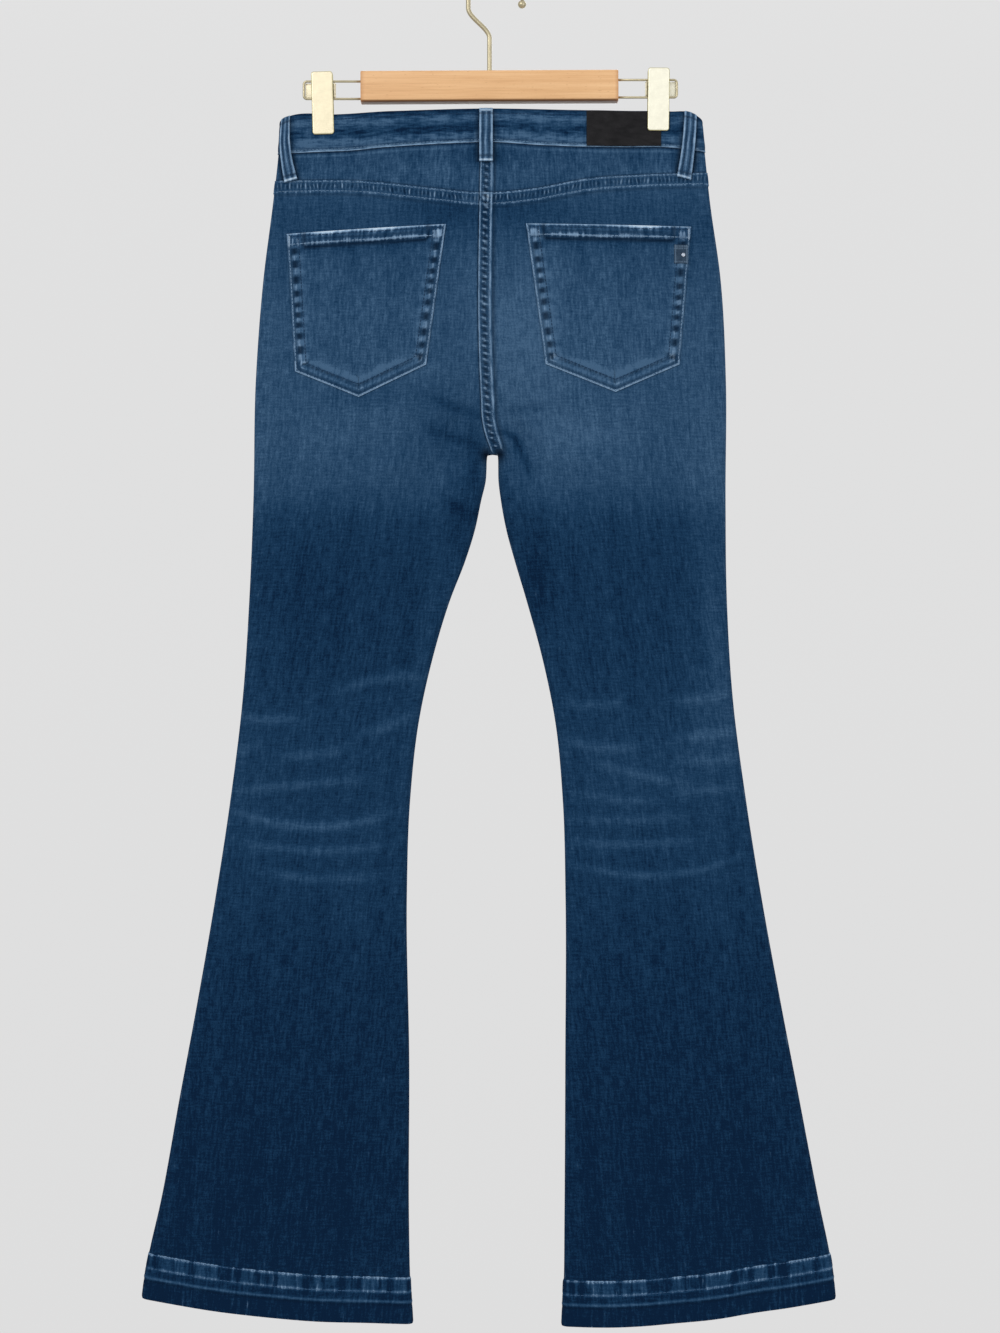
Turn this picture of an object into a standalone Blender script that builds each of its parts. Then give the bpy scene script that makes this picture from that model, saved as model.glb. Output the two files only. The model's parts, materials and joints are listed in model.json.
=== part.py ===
"""Flared jeans, hung by the waistband from a two-clip trouser hanger.

Metres, +Z up. The origin is where a rail carries the hook. The seat of the jeans faces -Y, so
+X is the wearer's right. Every cloth piece is a wall: a grid of points on one cloth surface,
which the functions in the second block work out from the tables in the first.
"""

import math
from collections import namedtuple

import bmesh
import bpy
import numpy as np
from mathutils import Vector

# ---------------------------------------------------------------- driving sizes

BACK, FRONT = -1, 1  # which way a face looks along Y
LEFT, RIGHT = "left", "right"  # the wearer's
SIDES = (LEFT, RIGHT)

WALL = 0.0015  # one layer of denim
GAP = 0.0003  # between pieces that touch
SEAM_RISE = 0.0008  # how far a folded seam or hem stands above the cloth
SEAM_WIDTH = 0.011  # a felled seam, between its two rows of stitches
SEAM_STEP = 0.002  # over which the seam falls back to the cloth

Row = namedtuple("Row", "z left right")
# The outside edge of each leg, which is its side seam, from the waist down to the hem.
SIDE_EDGE = (
    Row(-0.123, -0.1925, 0.1945),
    Row(-0.165, -0.1940, 0.1965),
    Row(-0.209, -0.1985, 0.2015),
    Row(-0.282, -0.2080, 0.2100),
    Row(-0.375, -0.2155, 0.2165),
    Row(-0.485, -0.2175, 0.2170),
    Row(-0.577, -0.2212, 0.2178),
    Row(-0.669, -0.2278, 0.2232),
    Row(-0.761, -0.2387, 0.2352),
    Row(-0.853, -0.2525, 0.2498),
    Row(-0.945, -0.2684, 0.2665),
    Row(-1.037, -0.2855, 0.2840),
    Row(-1.129, -0.3022, 0.3020),
    Row(-1.184, -0.3148, 0.3142),
    Row(-1.245, -0.3225, 0.3208),
)
# The inside edge of each leg, which is its inseam, from the crotch down to the hem.
INSEAM_EDGE = (
    Row(-0.4434, 0.0040, 0.0040),
    Row(-0.4470, -0.0015, 0.0085),
    Row(-0.4530, -0.0035, 0.0100),
    Row(-0.4850, -0.0075, 0.0108),
    Row(-0.5120, -0.0150, 0.0168),
    Row(-0.5400, -0.0225, 0.0235),
    Row(-0.5770, -0.0373, 0.0345),
    Row(-0.6320, -0.0538, 0.0492),
    Row(-0.6870, -0.0658, 0.0603),
    Row(-0.7610, -0.0741, 0.0676),
    Row(-0.8500, -0.0768, 0.0695),
    Row(-1.0000, -0.0752, 0.0688),
    Row(-1.1500, -0.0748, 0.0690),
    Row(-1.2450, -0.0735, 0.0685),
)
CROTCH_X, CROTCH_Z = INSEAM_EDGE[0].left, INSEAM_EDGE[0].z

Depth = namedtuple("Depth", "z back front edge")
# How far the cloth stands from the middle plane, behind and in front, and the radius on which
# it turns over at its edges.
DEPTHS = (
    Depth(-0.123, 0.0125, 0.0115, 0.0035),
    Depth(-0.165, 0.0150, 0.0125, 0.0035),
    Depth(-0.210, 0.0200, 0.0150, 0.0045),
    Depth(-0.290, 0.0265, 0.0180, 0.0055),
    Depth(-0.360, 0.0275, 0.0185, 0.0060),
    Depth(-0.443, 0.0245, 0.0190, 0.0060),
    Depth(-0.550, 0.0200, 0.0185, 0.0060),
    Depth(-0.700, 0.0165, 0.0165, 0.0060),
    Depth(-0.850, 0.0165, 0.0165, 0.0060),
    Depth(-1.000, 0.0185, 0.0185, 0.0060),
    Depth(-1.200, 0.0215, 0.0215, 0.0060),
    Depth(-1.245, 0.0220, 0.0220, 0.0060),
)
CROWN_HIGH, CROWN_LOW = -0.200, -0.460  # between these the body's crown parts into two legs

Centre = namedtuple("Centre", "z back front")
# Where the seat seam and the fly edge run, down to the crotch.
CENTRE_LINE = (
    Centre(-0.120, -0.0078, 0.0000),
    Centre(-0.390, -0.0078, 0.0000),
    Centre(-0.415, -0.0062, 0.0008),
    Centre(-0.432, -0.0015, 0.0025),
    Centre(CROTCH_Z, CROTCH_X, CROTCH_X),
)

Place = namedtuple("Place", "x z")
# Lines across the jeans, from the left to the right: the waist, then each seam going down.
WAIST_TOP = (
    Place(-0.1960, -0.1365),
    Place(-0.1870, -0.1322),
    Place(-0.1420, -0.1294),
    Place(0.0000, -0.1238),
    Place(0.0900, -0.1260),
    Place(0.1660, -0.1273),
    Place(0.1890, -0.1290),
    Place(0.1980, -0.1345),
)
BAND_SEAM = (
    Place(-0.1960, -0.1668),
    Place(-0.1120, -0.1619),
    Place(0.0000, -0.1558),
    Place(0.0890, -0.1597),
    Place(0.1980, -0.1650),
)
YOKE_SEAM = (
    Place(-0.2020, -0.1910),
    Place(-0.1210, -0.1914),
    Place(-0.0840, -0.1944),
    Place(-0.0078, -0.2020),
    Place(0.0390, -0.1985),
    Place(0.0897, -0.1893),
    Place(0.1320, -0.1863),
    Place(0.2020, -0.1835),
)
HEM_TOP = (
    Place(-0.3240, -1.1749),
    Place(-0.2360, -1.1905),
    Place(-0.1845, -1.1969),
    Place(-0.0700, -1.1995),
    Place(0.0690, -1.2024),
    Place(0.1500, -1.2020),
    Place(0.2180, -1.1951),
    Place(0.3240, -1.1755),
)
HEM_HEIGHT = 0.0415
FRONT_DIP = 0.014  # the front of the waist hangs this much lower, at its middle
FRONT_DIP_REACH = 0.150

# The clips hold the waistband nearly flat, and the pinch fades out round them.
CLIP_X = {LEFT: -0.1534, RIGHT: 0.1553}
PINCH_DEPTH = 0.0016
PINCH_HALF_WIDTH = 0.012
PINCH_FADE = 0.050
PINCH_TOP, PINCH_BOTTOM = -0.165, -0.228

Fold = namedtuple("Fold", "face x z turn length width height")
# Soft folds in the cloth; turn is from level, in degrees, and a hollow has a height below 0.
FOLDS = (
    Fold(BACK, -0.150, -0.668, 4, 0.070, 0.022, -0.0016),
    Fold(BACK, -0.160, -0.770, -3, 0.075, 0.024, -0.0018),
    Fold(BACK, 0.160, -0.690, -5, 0.070, 0.024, -0.0017),
    Fold(BACK, 0.155, -0.795, 4, 0.075, 0.022, -0.0016),
    Fold(BACK, -0.060, -0.470, 38, 0.050, 0.020, -0.0018),
    Fold(BACK, 0.070, -0.475, -35, 0.050, 0.020, -0.0018),
    Fold(BACK, -0.215, -1.060, 78, 0.160, 0.026, 0.0022),
    Fold(BACK, 0.180, -1.080, -84, 0.150, 0.028, 0.0022),
    Fold(BACK, -0.135, -1.090, 88, 0.140, 0.024, -0.0016),
    Fold(BACK, 0.245, -1.080, -76, 0.150, 0.024, -0.0016),
    Fold(FRONT, -0.165, -0.700, -4, 0.075, 0.024, -0.0016),
    Fold(FRONT, 0.150, -0.715, 5, 0.070, 0.024, -0.0016),
    Fold(FRONT, -0.075, -0.440, 32, 0.060, 0.018, -0.0018),
    Fold(FRONT, 0.085, -0.435, -30, 0.060, 0.018, -0.0018),
    Fold(FRONT, -0.185, -1.070, 82, 0.150, 0.028, 0.0022),
    Fold(FRONT, 0.215, -1.060, -79, 0.160, 0.026, 0.0022),
)

# Heights of the rows of points: down the seat, close together round the crotch, down the legs.
SEAT_ROWS = (-0.245, -0.285, -0.325, -0.362, -0.392)
CROTCH_ROWS = (0.030, 0.016, 0.007, 0.0018, 0.0, -0.0036, -0.0120, -0.0300)
LEG_ROWS = (-0.505, -0.545, -0.590, -0.640, -0.690, -0.745, -0.800, -0.860, -0.925, -0.995)
FLARE_ROWS = (-1.060, -1.125)
LEG_END = -1.190
TOP_SLANT_END, HEM_SLANT_START = -0.400, -0.950  # rows lie level between these
ROW_X = 0.1  # where a slanted row has the height that it is named by
SIDE_STEPS = (0.0, 0.0010, 0.0042, 0.0115)  # columns in from a side seam or inseam
SEAT_STEPS = (0.0, 0.0012, 0.0045, SEAM_WIDTH, SEAM_WIDTH + SEAM_STEP)
FLY_WIDTH, FLY_END = 0.034, -0.283
FLY_STEPS = (0.0, 0.0012, 0.0045, FLY_WIDTH, FLY_WIDTH + SEAM_STEP)
MIDDLE_COLUMNS = 5
YOKE_SHARES = (0.0, 0.35, 0.7, 1.0)  # rows, down the yoke

# The waistband is two layers of denim, a little proud of the yoke below it.
BAND_WALL = 0.0022
BAND_RISE = 0.0007
BAND_JOIN_X = 0.014  # the buttoned end of the front band, past the middle
PATCH_START, PATCH_END = 0.0897, 0.1578
# Columns of the waistband, as distances from the middle; they crowd where the clips pinch it.
BAND_STOPS = (
    0.1780, 0.1675, PATCH_END, 0.1433, 0.1310, 0.1180, 0.1040, PATCH_START, 0.0600, 0.0300
)
BAND_SHARES = (0.0, 0.12, 0.5, 0.88, 1.0)  # rows, down the band
HEM_WALL = WALL + SEAM_RISE
# Down the hem from its top edge: how far along it, and how far it stands above its plain face.
HemRow = namedtuple("HemRow", "down rise")
HEM_ROWS = (
    HemRow(0.000, 0.0),
    HemRow(0.014, 0.0),
    HemRow(0.020, -0.0004),
    HemRow(0.0225, 0.0003),
    HemRow(0.0245, -0.0004),
    HemRow(HEM_HEIGHT, 0.0),
)

# The opening of a front pocket, a quarter ellipse from the waist seam to the side seam.
SCOOP_WIDTH, SCOOP_HEIGHT = 0.088, 0.080
SCOOP_TURNS = (0, 22, 42, 60, 75, 86)
FACING_COLUMNS = (0.0, 0.03, 0.12, 0.40, 0.70, 1.0)
SCOOP_CLEAR = 0.0012  # left open below the facing

Pocket = namedtuple("Pocket", "outer_top inner_top outer_low tip inner_low")
BACK_POCKETS = {
    LEFT: Pocket(
        Place(-0.1863, -0.2401),
        Place(-0.0400, -0.2309),
        Place(-0.1785, -0.3662),
        Place(-0.1201, -0.3892),
        Place(-0.0584, -0.3597),
    ),
    RIGHT: Pocket(
        Place(0.1849, -0.2328),
        Place(0.0327, -0.2309),
        Place(0.1743, -0.3597),
        Place(0.1168, -0.3855),
        Place(0.0520, -0.3588),
    ),
}
POCKET_WALL = 0.0013
POCKET_CLEAR = 0.0005
POCKET_HEM = 0.0115
POCKET_HEM_RISE = 0.0006
POCKET_COLUMNS, POCKET_ROWS = 11, 9

Loop = namedtuple("Loop", "name side face top_x low_x length")
BELT_LOOPS = (
    Loop("belt_loop_back_centre", LEFT, BACK, -0.0033, -0.0033, 0.0495),
    Loop("belt_loop_back_left", LEFT, BACK, -0.1868, -0.1828, 0.0590),
    Loop("belt_loop_back_right", RIGHT, BACK, 0.1856, 0.1794, 0.0605),
    Loop("belt_loop_front_left", LEFT, FRONT, -0.1010, -0.1010, 0.0500),
    Loop("belt_loop_front_right", RIGHT, FRONT, 0.1010, 0.1010, 0.0500),
)
LOOP_WIDTH, LOOP_WALL = 0.0125, 0.0018
# Down a belt loop: the share of its length, and how far its back stands off the cloth.
LOOP_STAND = (
    (0.00, 0.0011),
    (0.10, 0.0012),
    (0.30, 0.0026),
    (0.55, 0.0027),
    (0.80, 0.0019),
    (1.00, 0.0014),
)

PATCH_MARGIN = 0.02  # of the band's height, above the patch and below it
PATCH_WALL = 0.0010
TAB_CENTRE, TAB_SIZE, TAB_WALL = Place(0.1767, -0.2593), (0.0125, 0.0160), 0.0008
STUD_CENTRE, STUD_RADIUS, STUD_RISE = Place(0.1780, -0.2591), 0.0024, 0.0012
BUTTON_X, BUTTON_RADIUS, BUTTON_RISE = 0.0, 0.0085, 0.0030
# Turned profiles, from the top down to the foot, in shares of the piece's radius and rise.
Ring = namedtuple("Ring", "radius height")
STUD_PROFILE = (Ring(0, 1), Ring(0.60, 0.92), Ring(1, 0.40), Ring(1, 0), Ring(0, 0))
BUTTON_PROFILE = (
    Ring(0, 0.80),
    Ring(0.72, 0.80),
    Ring(0.82, 1),
    Ring(0.95, 0.90),
    Ring(1, 0.55),
    Ring(0.90, 0.30),
    Ring(0.90, 0),
    Ring(0, 0),
)

# The hanger: a wooden bar, a loop of wire out of each end, and a clip that slides on it.
BAR_LENGTH, BAR_DEPTH, BAR_TOP, BAR_BOTTOM = 0.2366, 0.0140, -0.0898, -0.1165
BAR_ROUND = 0.0022
WIRE_RADIUS, WIRE_HIGH, WIRE_LOW, WIRE_END = 0.0013, -0.0985, -0.1153, 0.1738
WIRE_BEND = 0.0050
Clip = namedtuple("Clip", "side top bottom turn back_grip")
BAND_FACE = GAP / 2 + PINCH_DEPTH + BAND_RISE  # the waistband's outside, under a clip
CLIPS = (
    Clip(LEFT, -0.0900, -0.1489, 1.5, BAND_FACE + GAP),
    Clip(RIGHT, -0.0868, -0.1458, -0.6, BAND_FACE + GAP + PATCH_WALL + GAP),
)
CLIP_WIDTH, CLIP_WALL, CLIP_EDGE = 0.0198, 0.0012, 0.0005
SPRING_WIDTH, SPRING_SHIFT = 0.0190, 0.0022  # the cheek shows on the clip's inner side
HOOK_WIRE, HOOK_BEND, HOOK_TIP = 0.00215, 0.0250, 0.0038
HOOK_SHIFT = 0.0055  # the bend's middle, beside the stem
HOOK_NECK_LOW, HOOK_NECK_HIGH = -0.0600, -0.0322
HOOK_END = -6  # where the bend stops, in degrees below level

# ---------------------------------------------------------------- the cloth surface


def smooth(rows, column, at):
    """A smooth curve through one column of a table, read against the table's first column."""
    rows = sorted(rows)
    knots = np.array([row[0] for row in rows])
    values = np.array([getattr(row, column) for row in rows])
    slopes = np.gradient(values, knots)
    at = np.clip(at, knots[0], knots[-1])
    i = np.clip(np.searchsorted(knots, at) - 1, 0, len(knots) - 2)
    span = knots[i + 1] - knots[i]
    t = (at - knots[i]) / span
    start = (1 + 2 * t) * (1 - t) ** 2 * values[i] + t * (1 - t) ** 2 * span * slopes[i]
    end = t * t * (3 - 2 * t) * values[i + 1] + t * t * (t - 1) * span * slopes[i + 1]
    return start + end


def eased(t):
    """0 to 1, with a level start and end."""
    t = np.clip(t, 0, 1)
    return t * t * (3 - 2 * t)


def rounded(distance, radius):
    """Height of a quarter round, at this distance in from its edge."""
    t = 1 - np.clip(distance / radius, 0, 1)
    return radius * np.sqrt(1 - t * t)


def crowned(distance, reach):
    """0 at the edge and 1 from the reach on, on a parabola."""
    t = 1 - np.clip(distance / reach, 0, 1)
    return 1 - t * t


def column_of(face):
    return "back" if face == BACK else "front"


def centre_line(face, z):
    """x of the seat seam or the fly edge."""
    return smooth(CENTRE_LINE, column_of(face), z)


def inner_end(side, face, z):
    """x where a half of the jeans ends: at the centre line, and below the crotch at the inseam."""
    return np.where(z < CROTCH_Z, smooth(INSEAM_EDGE, side, z), centre_line(face, z))


def folds(face, x, z):
    """How far the soft folds lift the cloth."""
    lift = np.zeros(np.broadcast(x, z).shape)
    for fold in FOLDS:
        if fold.face == face:
            turn = math.radians(fold.turn)
            along = (x - fold.x) * math.cos(turn) + (z - fold.z) * math.sin(turn)
            across = (z - fold.z) * math.cos(turn) - (x - fold.x) * math.sin(turn)
            reach = (along / fold.length) ** 2 + (across / fold.width) ** 2
            lift += fold.height * np.exp(-reach)
    return lift


def pinch(side, x, z):
    """1 where a clip presses the cloth flat, and 0 away from it."""
    beside = (np.abs(x - CLIP_X[side]) - PINCH_HALF_WIDTH) / PINCH_FADE
    return (1 - eased(beside)) * eased((z - PINCH_BOTTOM) / (PINCH_TOP - PINCH_BOTTOM))


def half_depth(side, face, x, z):
    """How far the cloth's outside stands from the middle plane."""
    outer = smooth(SIDE_EDGE, side, z)
    width = np.abs(inner_end(side, face, z) - outer)
    edge = smooth(DEPTHS, "edge", z)
    depth = smooth(DEPTHS, column_of(face), z)
    from_side = np.abs(x - outer)
    from_inseam = np.where(
        z < CROTCH_Z,
        np.abs(x - smooth(INSEAM_EDGE, side, z)),
        np.hypot(x - CROTCH_X, z - CROTCH_Z),
    )
    crown = 1 - 0.5 * eased((CROWN_HIGH - z) / (CROWN_HIGH - CROWN_LOW))
    roundness = rounded(from_side, edge) * rounded(from_inseam, edge) / edge
    bulge = crowned(from_side, crown * width) * crowned(from_inseam, 0.5 * width)
    clear_of_edge = rounded(from_side, 4 * edge) * rounded(from_inseam, 4 * edge)
    clear_of_edge = clear_of_edge / (16 * edge**2)
    free = roundness + (depth - edge) * bulge + folds(face, x, z) * clear_of_edge
    held = np.minimum(free, PINCH_DEPTH)
    amount = pinch(side, x, z)
    return free * (1 - amount) + held * amount


def on_cloth(side, face, x, z):
    """Points on the outside of the cloth."""
    x, z = np.broadcast_arrays(np.asarray(x, float), np.asarray(z, float))
    y = face * (GAP / 2 + half_depth(side, face, x, z))
    return np.stack([x, y, z], axis=-1)


def row_height(height, x, top, bottom):
    """Height of a row at x: the top row lies on one seam, the lowest on another."""
    start = top(ROW_X)
    at_top = eased((height - TOP_SLANT_END) / (start - TOP_SLANT_END))
    at_hem = eased((HEM_SLANT_START - height) / (HEM_SLANT_START - LEG_END))
    return height + at_top * (top(x) - start) + at_hem * (bottom(x) - LEG_END)


def waist_top(face, x):
    return smooth(WAIST_TOP, "z", x) - dip(face, x)


def band_seam(face, x):
    return smooth(BAND_SEAM, "z", x) - dip(face, x)


def dip(face, x):
    fall = FRONT_DIP * (1 - eased(np.abs(x) / FRONT_DIP_REACH))
    return fall if face == FRONT else 0 * fall


def yoke_seam(x):
    return smooth(YOKE_SEAM, "z", x)


def hem_top(x):
    return smooth(HEM_TOP, "z", x)


# ---------------------------------------------------------------- building tools

collection = bpy.data.collections.new("flared_jeans_on_hanger")


def clear_scene():
    for obj in list(bpy.data.objects):
        bpy.data.objects.remove(obj, do_unlink=True)
    bpy.context.scene.collection.children.link(collection)


def material(name, colour, roughness, metallic=0.0):
    made = bpy.data.materials.get(name) or bpy.data.materials.new(name)
    made.use_nodes = True
    shader = made.node_tree.nodes["Principled BSDF"]
    shader.inputs["Base Color"].default_value = (*colour, 1.0)
    shader.inputs["Roughness"].default_value = roughness
    shader.inputs["Metallic"].default_value = metallic
    return made


def add(name, mesh, finish):
    obj = bpy.data.objects.new(name, mesh)
    mesh.materials.clear()
    mesh.materials.append(finish)
    collection.objects.link(obj)
    return obj


def normals_of(sheet, closed):
    """Unit normals at a grid's points, each from the quads round it, facing out."""
    around = sheet
    if closed:
        around = np.concatenate([sheet[:, -1:], sheet, sheet[:, :1]], axis=1)
    down = around[1:, :, :] - around[:-1, :, :]
    across = around[:, 1:, :] - around[:, :-1, :]
    quads = np.cross(
        (across[1:] + across[:-1]) / 2,
        (down[:, 1:] + down[:, :-1]) / 2,
    )
    padded = np.pad(quads, ((1, 1), (1, 1), (0, 0)))
    sums = padded[1:, 1:] + padded[:-1, 1:] + padded[1:, :-1] + padded[:-1, :-1]
    if closed:
        sums = sums[:, 1:-1]
    sums[np.abs(sheet[..., 1]) < GAP, 1] = 0.0  # pieces meet face to face in the middle plane
    normals = sums / np.linalg.norm(sums, axis=-1, keepdims=True)
    outward = sheet - sheet.mean(axis=1, keepdims=True)
    outward[..., 1] = sheet[..., 1]
    return normals if (normals * outward).sum() > 0 else -normals


def wall(name, sheet, thickness, finish, lift=0.0, raised=0.0, closed=False):
    """A cloth piece from the points of the cloth under it. Its outside is moved out by lift, and
    further by raised, which may differ from point to point. Its inside stays plain."""
    normals = normals_of(sheet, closed)
    plain = sheet + normals * lift
    outer = plain + normals * np.broadcast_to(raised, sheet.shape[:2])[..., None]
    inner = plain - normals * thickness
    rows, columns = sheet.shape[:2]
    shape = bmesh.new()
    grids = []
    for points in (outer, inner):
        grids.append([[shape.verts.new(p) for p in row] for row in points])
    spans = [(j, (j + 1) % columns) for j in range(columns if closed else columns - 1)]
    for i in range(rows - 1):
        for j, k in spans:
            for grid in grids:
                shape.faces.new((grid[i][j], grid[i][k], grid[i + 1][k], grid[i + 1][j]))
    out, back = grids
    for i in (0, rows - 1):
        for j, k in spans:
            shape.faces.new((out[i][j], out[i][k], back[i][k], back[i][j]))
    if not closed:
        for j in (0, columns - 1):
            for i in range(rows - 1):
                shape.faces.new((out[i][j], out[i + 1][j], back[i + 1][j], back[i][j]))
    bmesh.ops.recalc_face_normals(shape, faces=shape.faces)
    mesh = bpy.data.meshes.new(name)
    shape.to_mesh(mesh)
    shape.free()
    mesh.shade_smooth()
    mesh.set_sharp_from_angle(angle=math.radians(40))
    return add(name, mesh, finish)


def columns_between(start, end, first_steps, last_steps):
    """x of a row's points, with fixed steps in from both ends and even steps between them."""
    way = np.sign(end - start)
    first = start + way * np.array(first_steps)
    last = end - way * np.array(last_steps)[::-1]
    between = np.linspace(first[-1], last[0], MIDDLE_COLUMNS + 2)[1:-1]
    return np.concatenate([first, between, last])


def inward(side):
    return 1 if side == LEFT else -1


def end_of_row(side, face, z):
    """x where a row ends, half a gap short of the centre line above the crotch."""
    half_gap = np.where(z < CROTCH_Z, 0.0, GAP / 2)
    return inner_end(side, face, z) - inward(side) * half_gap


def settled(edge, height_at, x):
    """x where a row meets an edge. The row's height there depends on x, so x is refined."""
    for _ in range(5):
        x = float(edge(height_at(x)))
    return x


def side_end(side, height_at):
    return settled(lambda z: smooth(SIDE_EDGE, side, z), height_at, CLIP_X[side])


def row_of(side, face, height_at, first_steps, last_steps, opening=0.0):
    """The points of one row, from the side seam, or this far in from it, to its inner end."""
    inner = settled(lambda z: end_of_row(side, face, z), height_at, 0.0)
    start = side_end(side, height_at) + opening * inward(side)
    x = columns_between(start, inner, first_steps, last_steps)
    return on_cloth(side, face, x, height_at(x))


# ---------------------------------------------------------------- cut pieces


def leg_heights(first):
    crotch = tuple(CROTCH_Z + step for step in CROTCH_ROWS)
    return first + SEAT_ROWS + crotch + LEG_ROWS + FLARE_ROWS + (LEG_END,)


def build_back_panel(side, finish):
    """A back leg, from the yoke seam to the hem. Its top margin laps the yoke, and on the
    right its centre margin laps the left leg: those are the felled seams."""

    def top(x):
        return yoke_seam(x) - GAP / 2

    def bottom(x):
        return hem_top(x) + GAP

    start = float(top(ROW_X))
    heights = leg_heights((start, start - SEAM_WIDTH, start - SEAM_WIDTH - SEAM_STEP))
    rows = []
    for height in heights:
        at = lambda x, h=height: row_height(h, x, top, bottom)
        rows.append(row_of(side, BACK, at, SIDE_STEPS, SEAT_STEPS))
    sheet = np.array(rows)
    raised = np.zeros(sheet.shape[:2])
    raised[:2, :] = SEAM_RISE
    if side == RIGHT:
        above = sheet[:, -1, 2] >= CROTCH_Z
        raised[above, 1 - len(SEAT_STEPS) :] = SEAM_RISE
    return wall(f"back_{side}", sheet, WALL, finish, raised=raised)


def build_yoke(side, finish):
    rows = []
    for share in YOKE_SHARES:

        def at(x, share=share):
            high = band_seam(BACK, x) - GAP / 2
            low = yoke_seam(x) + GAP / 2
            return high + (low - high) * share

        rows.append(row_of(side, BACK, at, SIDE_STEPS, SEAT_STEPS))
    sheet = np.array(rows)
    raised = np.zeros(sheet.shape[:2])
    if side == RIGHT:
        raised[:, 1 - len(SEAT_STEPS) :] = SEAM_RISE
    return wall(f"yoke_{side}", sheet, WALL, finish, raised=raised)


def build_front_panel(side, finish):
    """A front leg, from the waist seam to the hem. Its outer top corner is cut away in the curve
    of the pocket's opening, and the left one carries the fly."""

    def top(x):
        return band_seam(FRONT, x) - GAP / 2

    def bottom(x):
        return hem_top(x) + GAP

    start = float(top(ROW_X))
    turns = SCOOP_TURNS + (90,)
    first = tuple(start - SCOOP_HEIGHT * math.sin(math.radians(turn)) for turn in turns)
    rows = []
    for i, height in enumerate(leg_heights(first)):
        at = lambda x, h=height: row_height(h, x, top, bottom)
        opening = SCOOP_WIDTH * math.cos(math.radians(turns[i])) if i < len(SCOOP_TURNS) else 0.0
        rows.append(row_of(side, FRONT, at, SIDE_STEPS, FLY_STEPS, opening))
    sheet = np.array(rows)
    raised = np.zeros(sheet.shape[:2])
    raised[: len(SCOOP_TURNS) + 1, : len(SIDE_STEPS) - 1] = SEAM_RISE
    if side == LEFT:
        fly = sheet[:, -1, 2] > FLY_END
        raised[fly, 1 - len(FLY_STEPS) :] = SEAM_RISE
    return wall(f"front_{side}", sheet, WALL, finish, raised=raised)


def build_pocket_facing(side, finish):
    """The piece that closes a front pocket's opening, between the curve and the side seam."""

    def top(x):
        return band_seam(FRONT, x) - GAP / 2

    start = float(top(ROW_X))
    rows = []
    for turn in SCOOP_TURNS:
        height = start - (SCOOP_HEIGHT - SCOOP_CLEAR) * math.sin(math.radians(turn))
        at = lambda x, h=height: row_height(h, x, top, hem_top)
        width = (SCOOP_WIDTH - GAP) * math.cos(math.radians(turn))
        x = side_end(side, at) + inward(side) * width * np.array(FACING_COLUMNS)
        rows.append(on_cloth(side, FRONT, x, at(x)))
    return wall(f"pocket_facing_{side}", np.array(rows), WALL, finish)


def band_rows(face, side, stops):
    """Points of one half of the waistband, from its side edge in to the last stop."""
    rows = []
    for share in BAND_SHARES:

        def at(x, share=share):
            high = waist_top(face, x)
            return high + (band_seam(face, x) + GAP / 2 - high) * share

        outer = side_end(side, at) + inward(side) * np.array(SIDE_STEPS)
        x = np.concatenate([outer, -inward(side) * np.array(stops)])
        rows.append(on_cloth(side, face, x, at(x)))
    return np.array(rows)


def build_waistband(finish):
    """The band runs round the waist in three pieces: the back, and a front half on each side,
    of which the left one carries the button past the middle."""
    left = band_rows(BACK, LEFT, BAND_STOPS + (0.0,))
    right = band_rows(BACK, RIGHT, BAND_STOPS)
    sheet = np.concatenate([left, right[:, ::-1]], axis=1)
    wall("waistband_back", sheet, BAND_WALL, finish, lift=BAND_RISE)
    sheet = band_rows(FRONT, LEFT, BAND_STOPS + (0.0, -BAND_JOIN_X))
    wall("waistband_front_left", sheet, BAND_WALL, finish, lift=BAND_RISE)
    sheet = band_rows(FRONT, RIGHT, BAND_STOPS + (BAND_JOIN_X + GAP,))
    wall("waistband_front_right", sheet, BAND_WALL, finish, lift=BAND_RISE)


def build_hem(side, finish):
    """A turned-up hem, all round the leg."""
    rows = []
    for hem_row in HEM_ROWS:

        def at(x, down=hem_row.down):
            return hem_top(x) - down

        back = row_of(side, BACK, at, SIDE_STEPS, SEAT_STEPS)
        front = row_of(side, FRONT, at, SIDE_STEPS, FLY_STEPS)
        back[[0, -1], 1] = 0.0
        rows.append(np.concatenate([back, front[-2:0:-1]]))
    rises = np.array([[row.rise] for row in HEM_ROWS])
    wall(
        f"hem_{side}",
        np.array(rows),
        HEM_WALL,
        finish,
        lift=SEAM_RISE,
        raised=rises,
        closed=True,
    )


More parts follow.
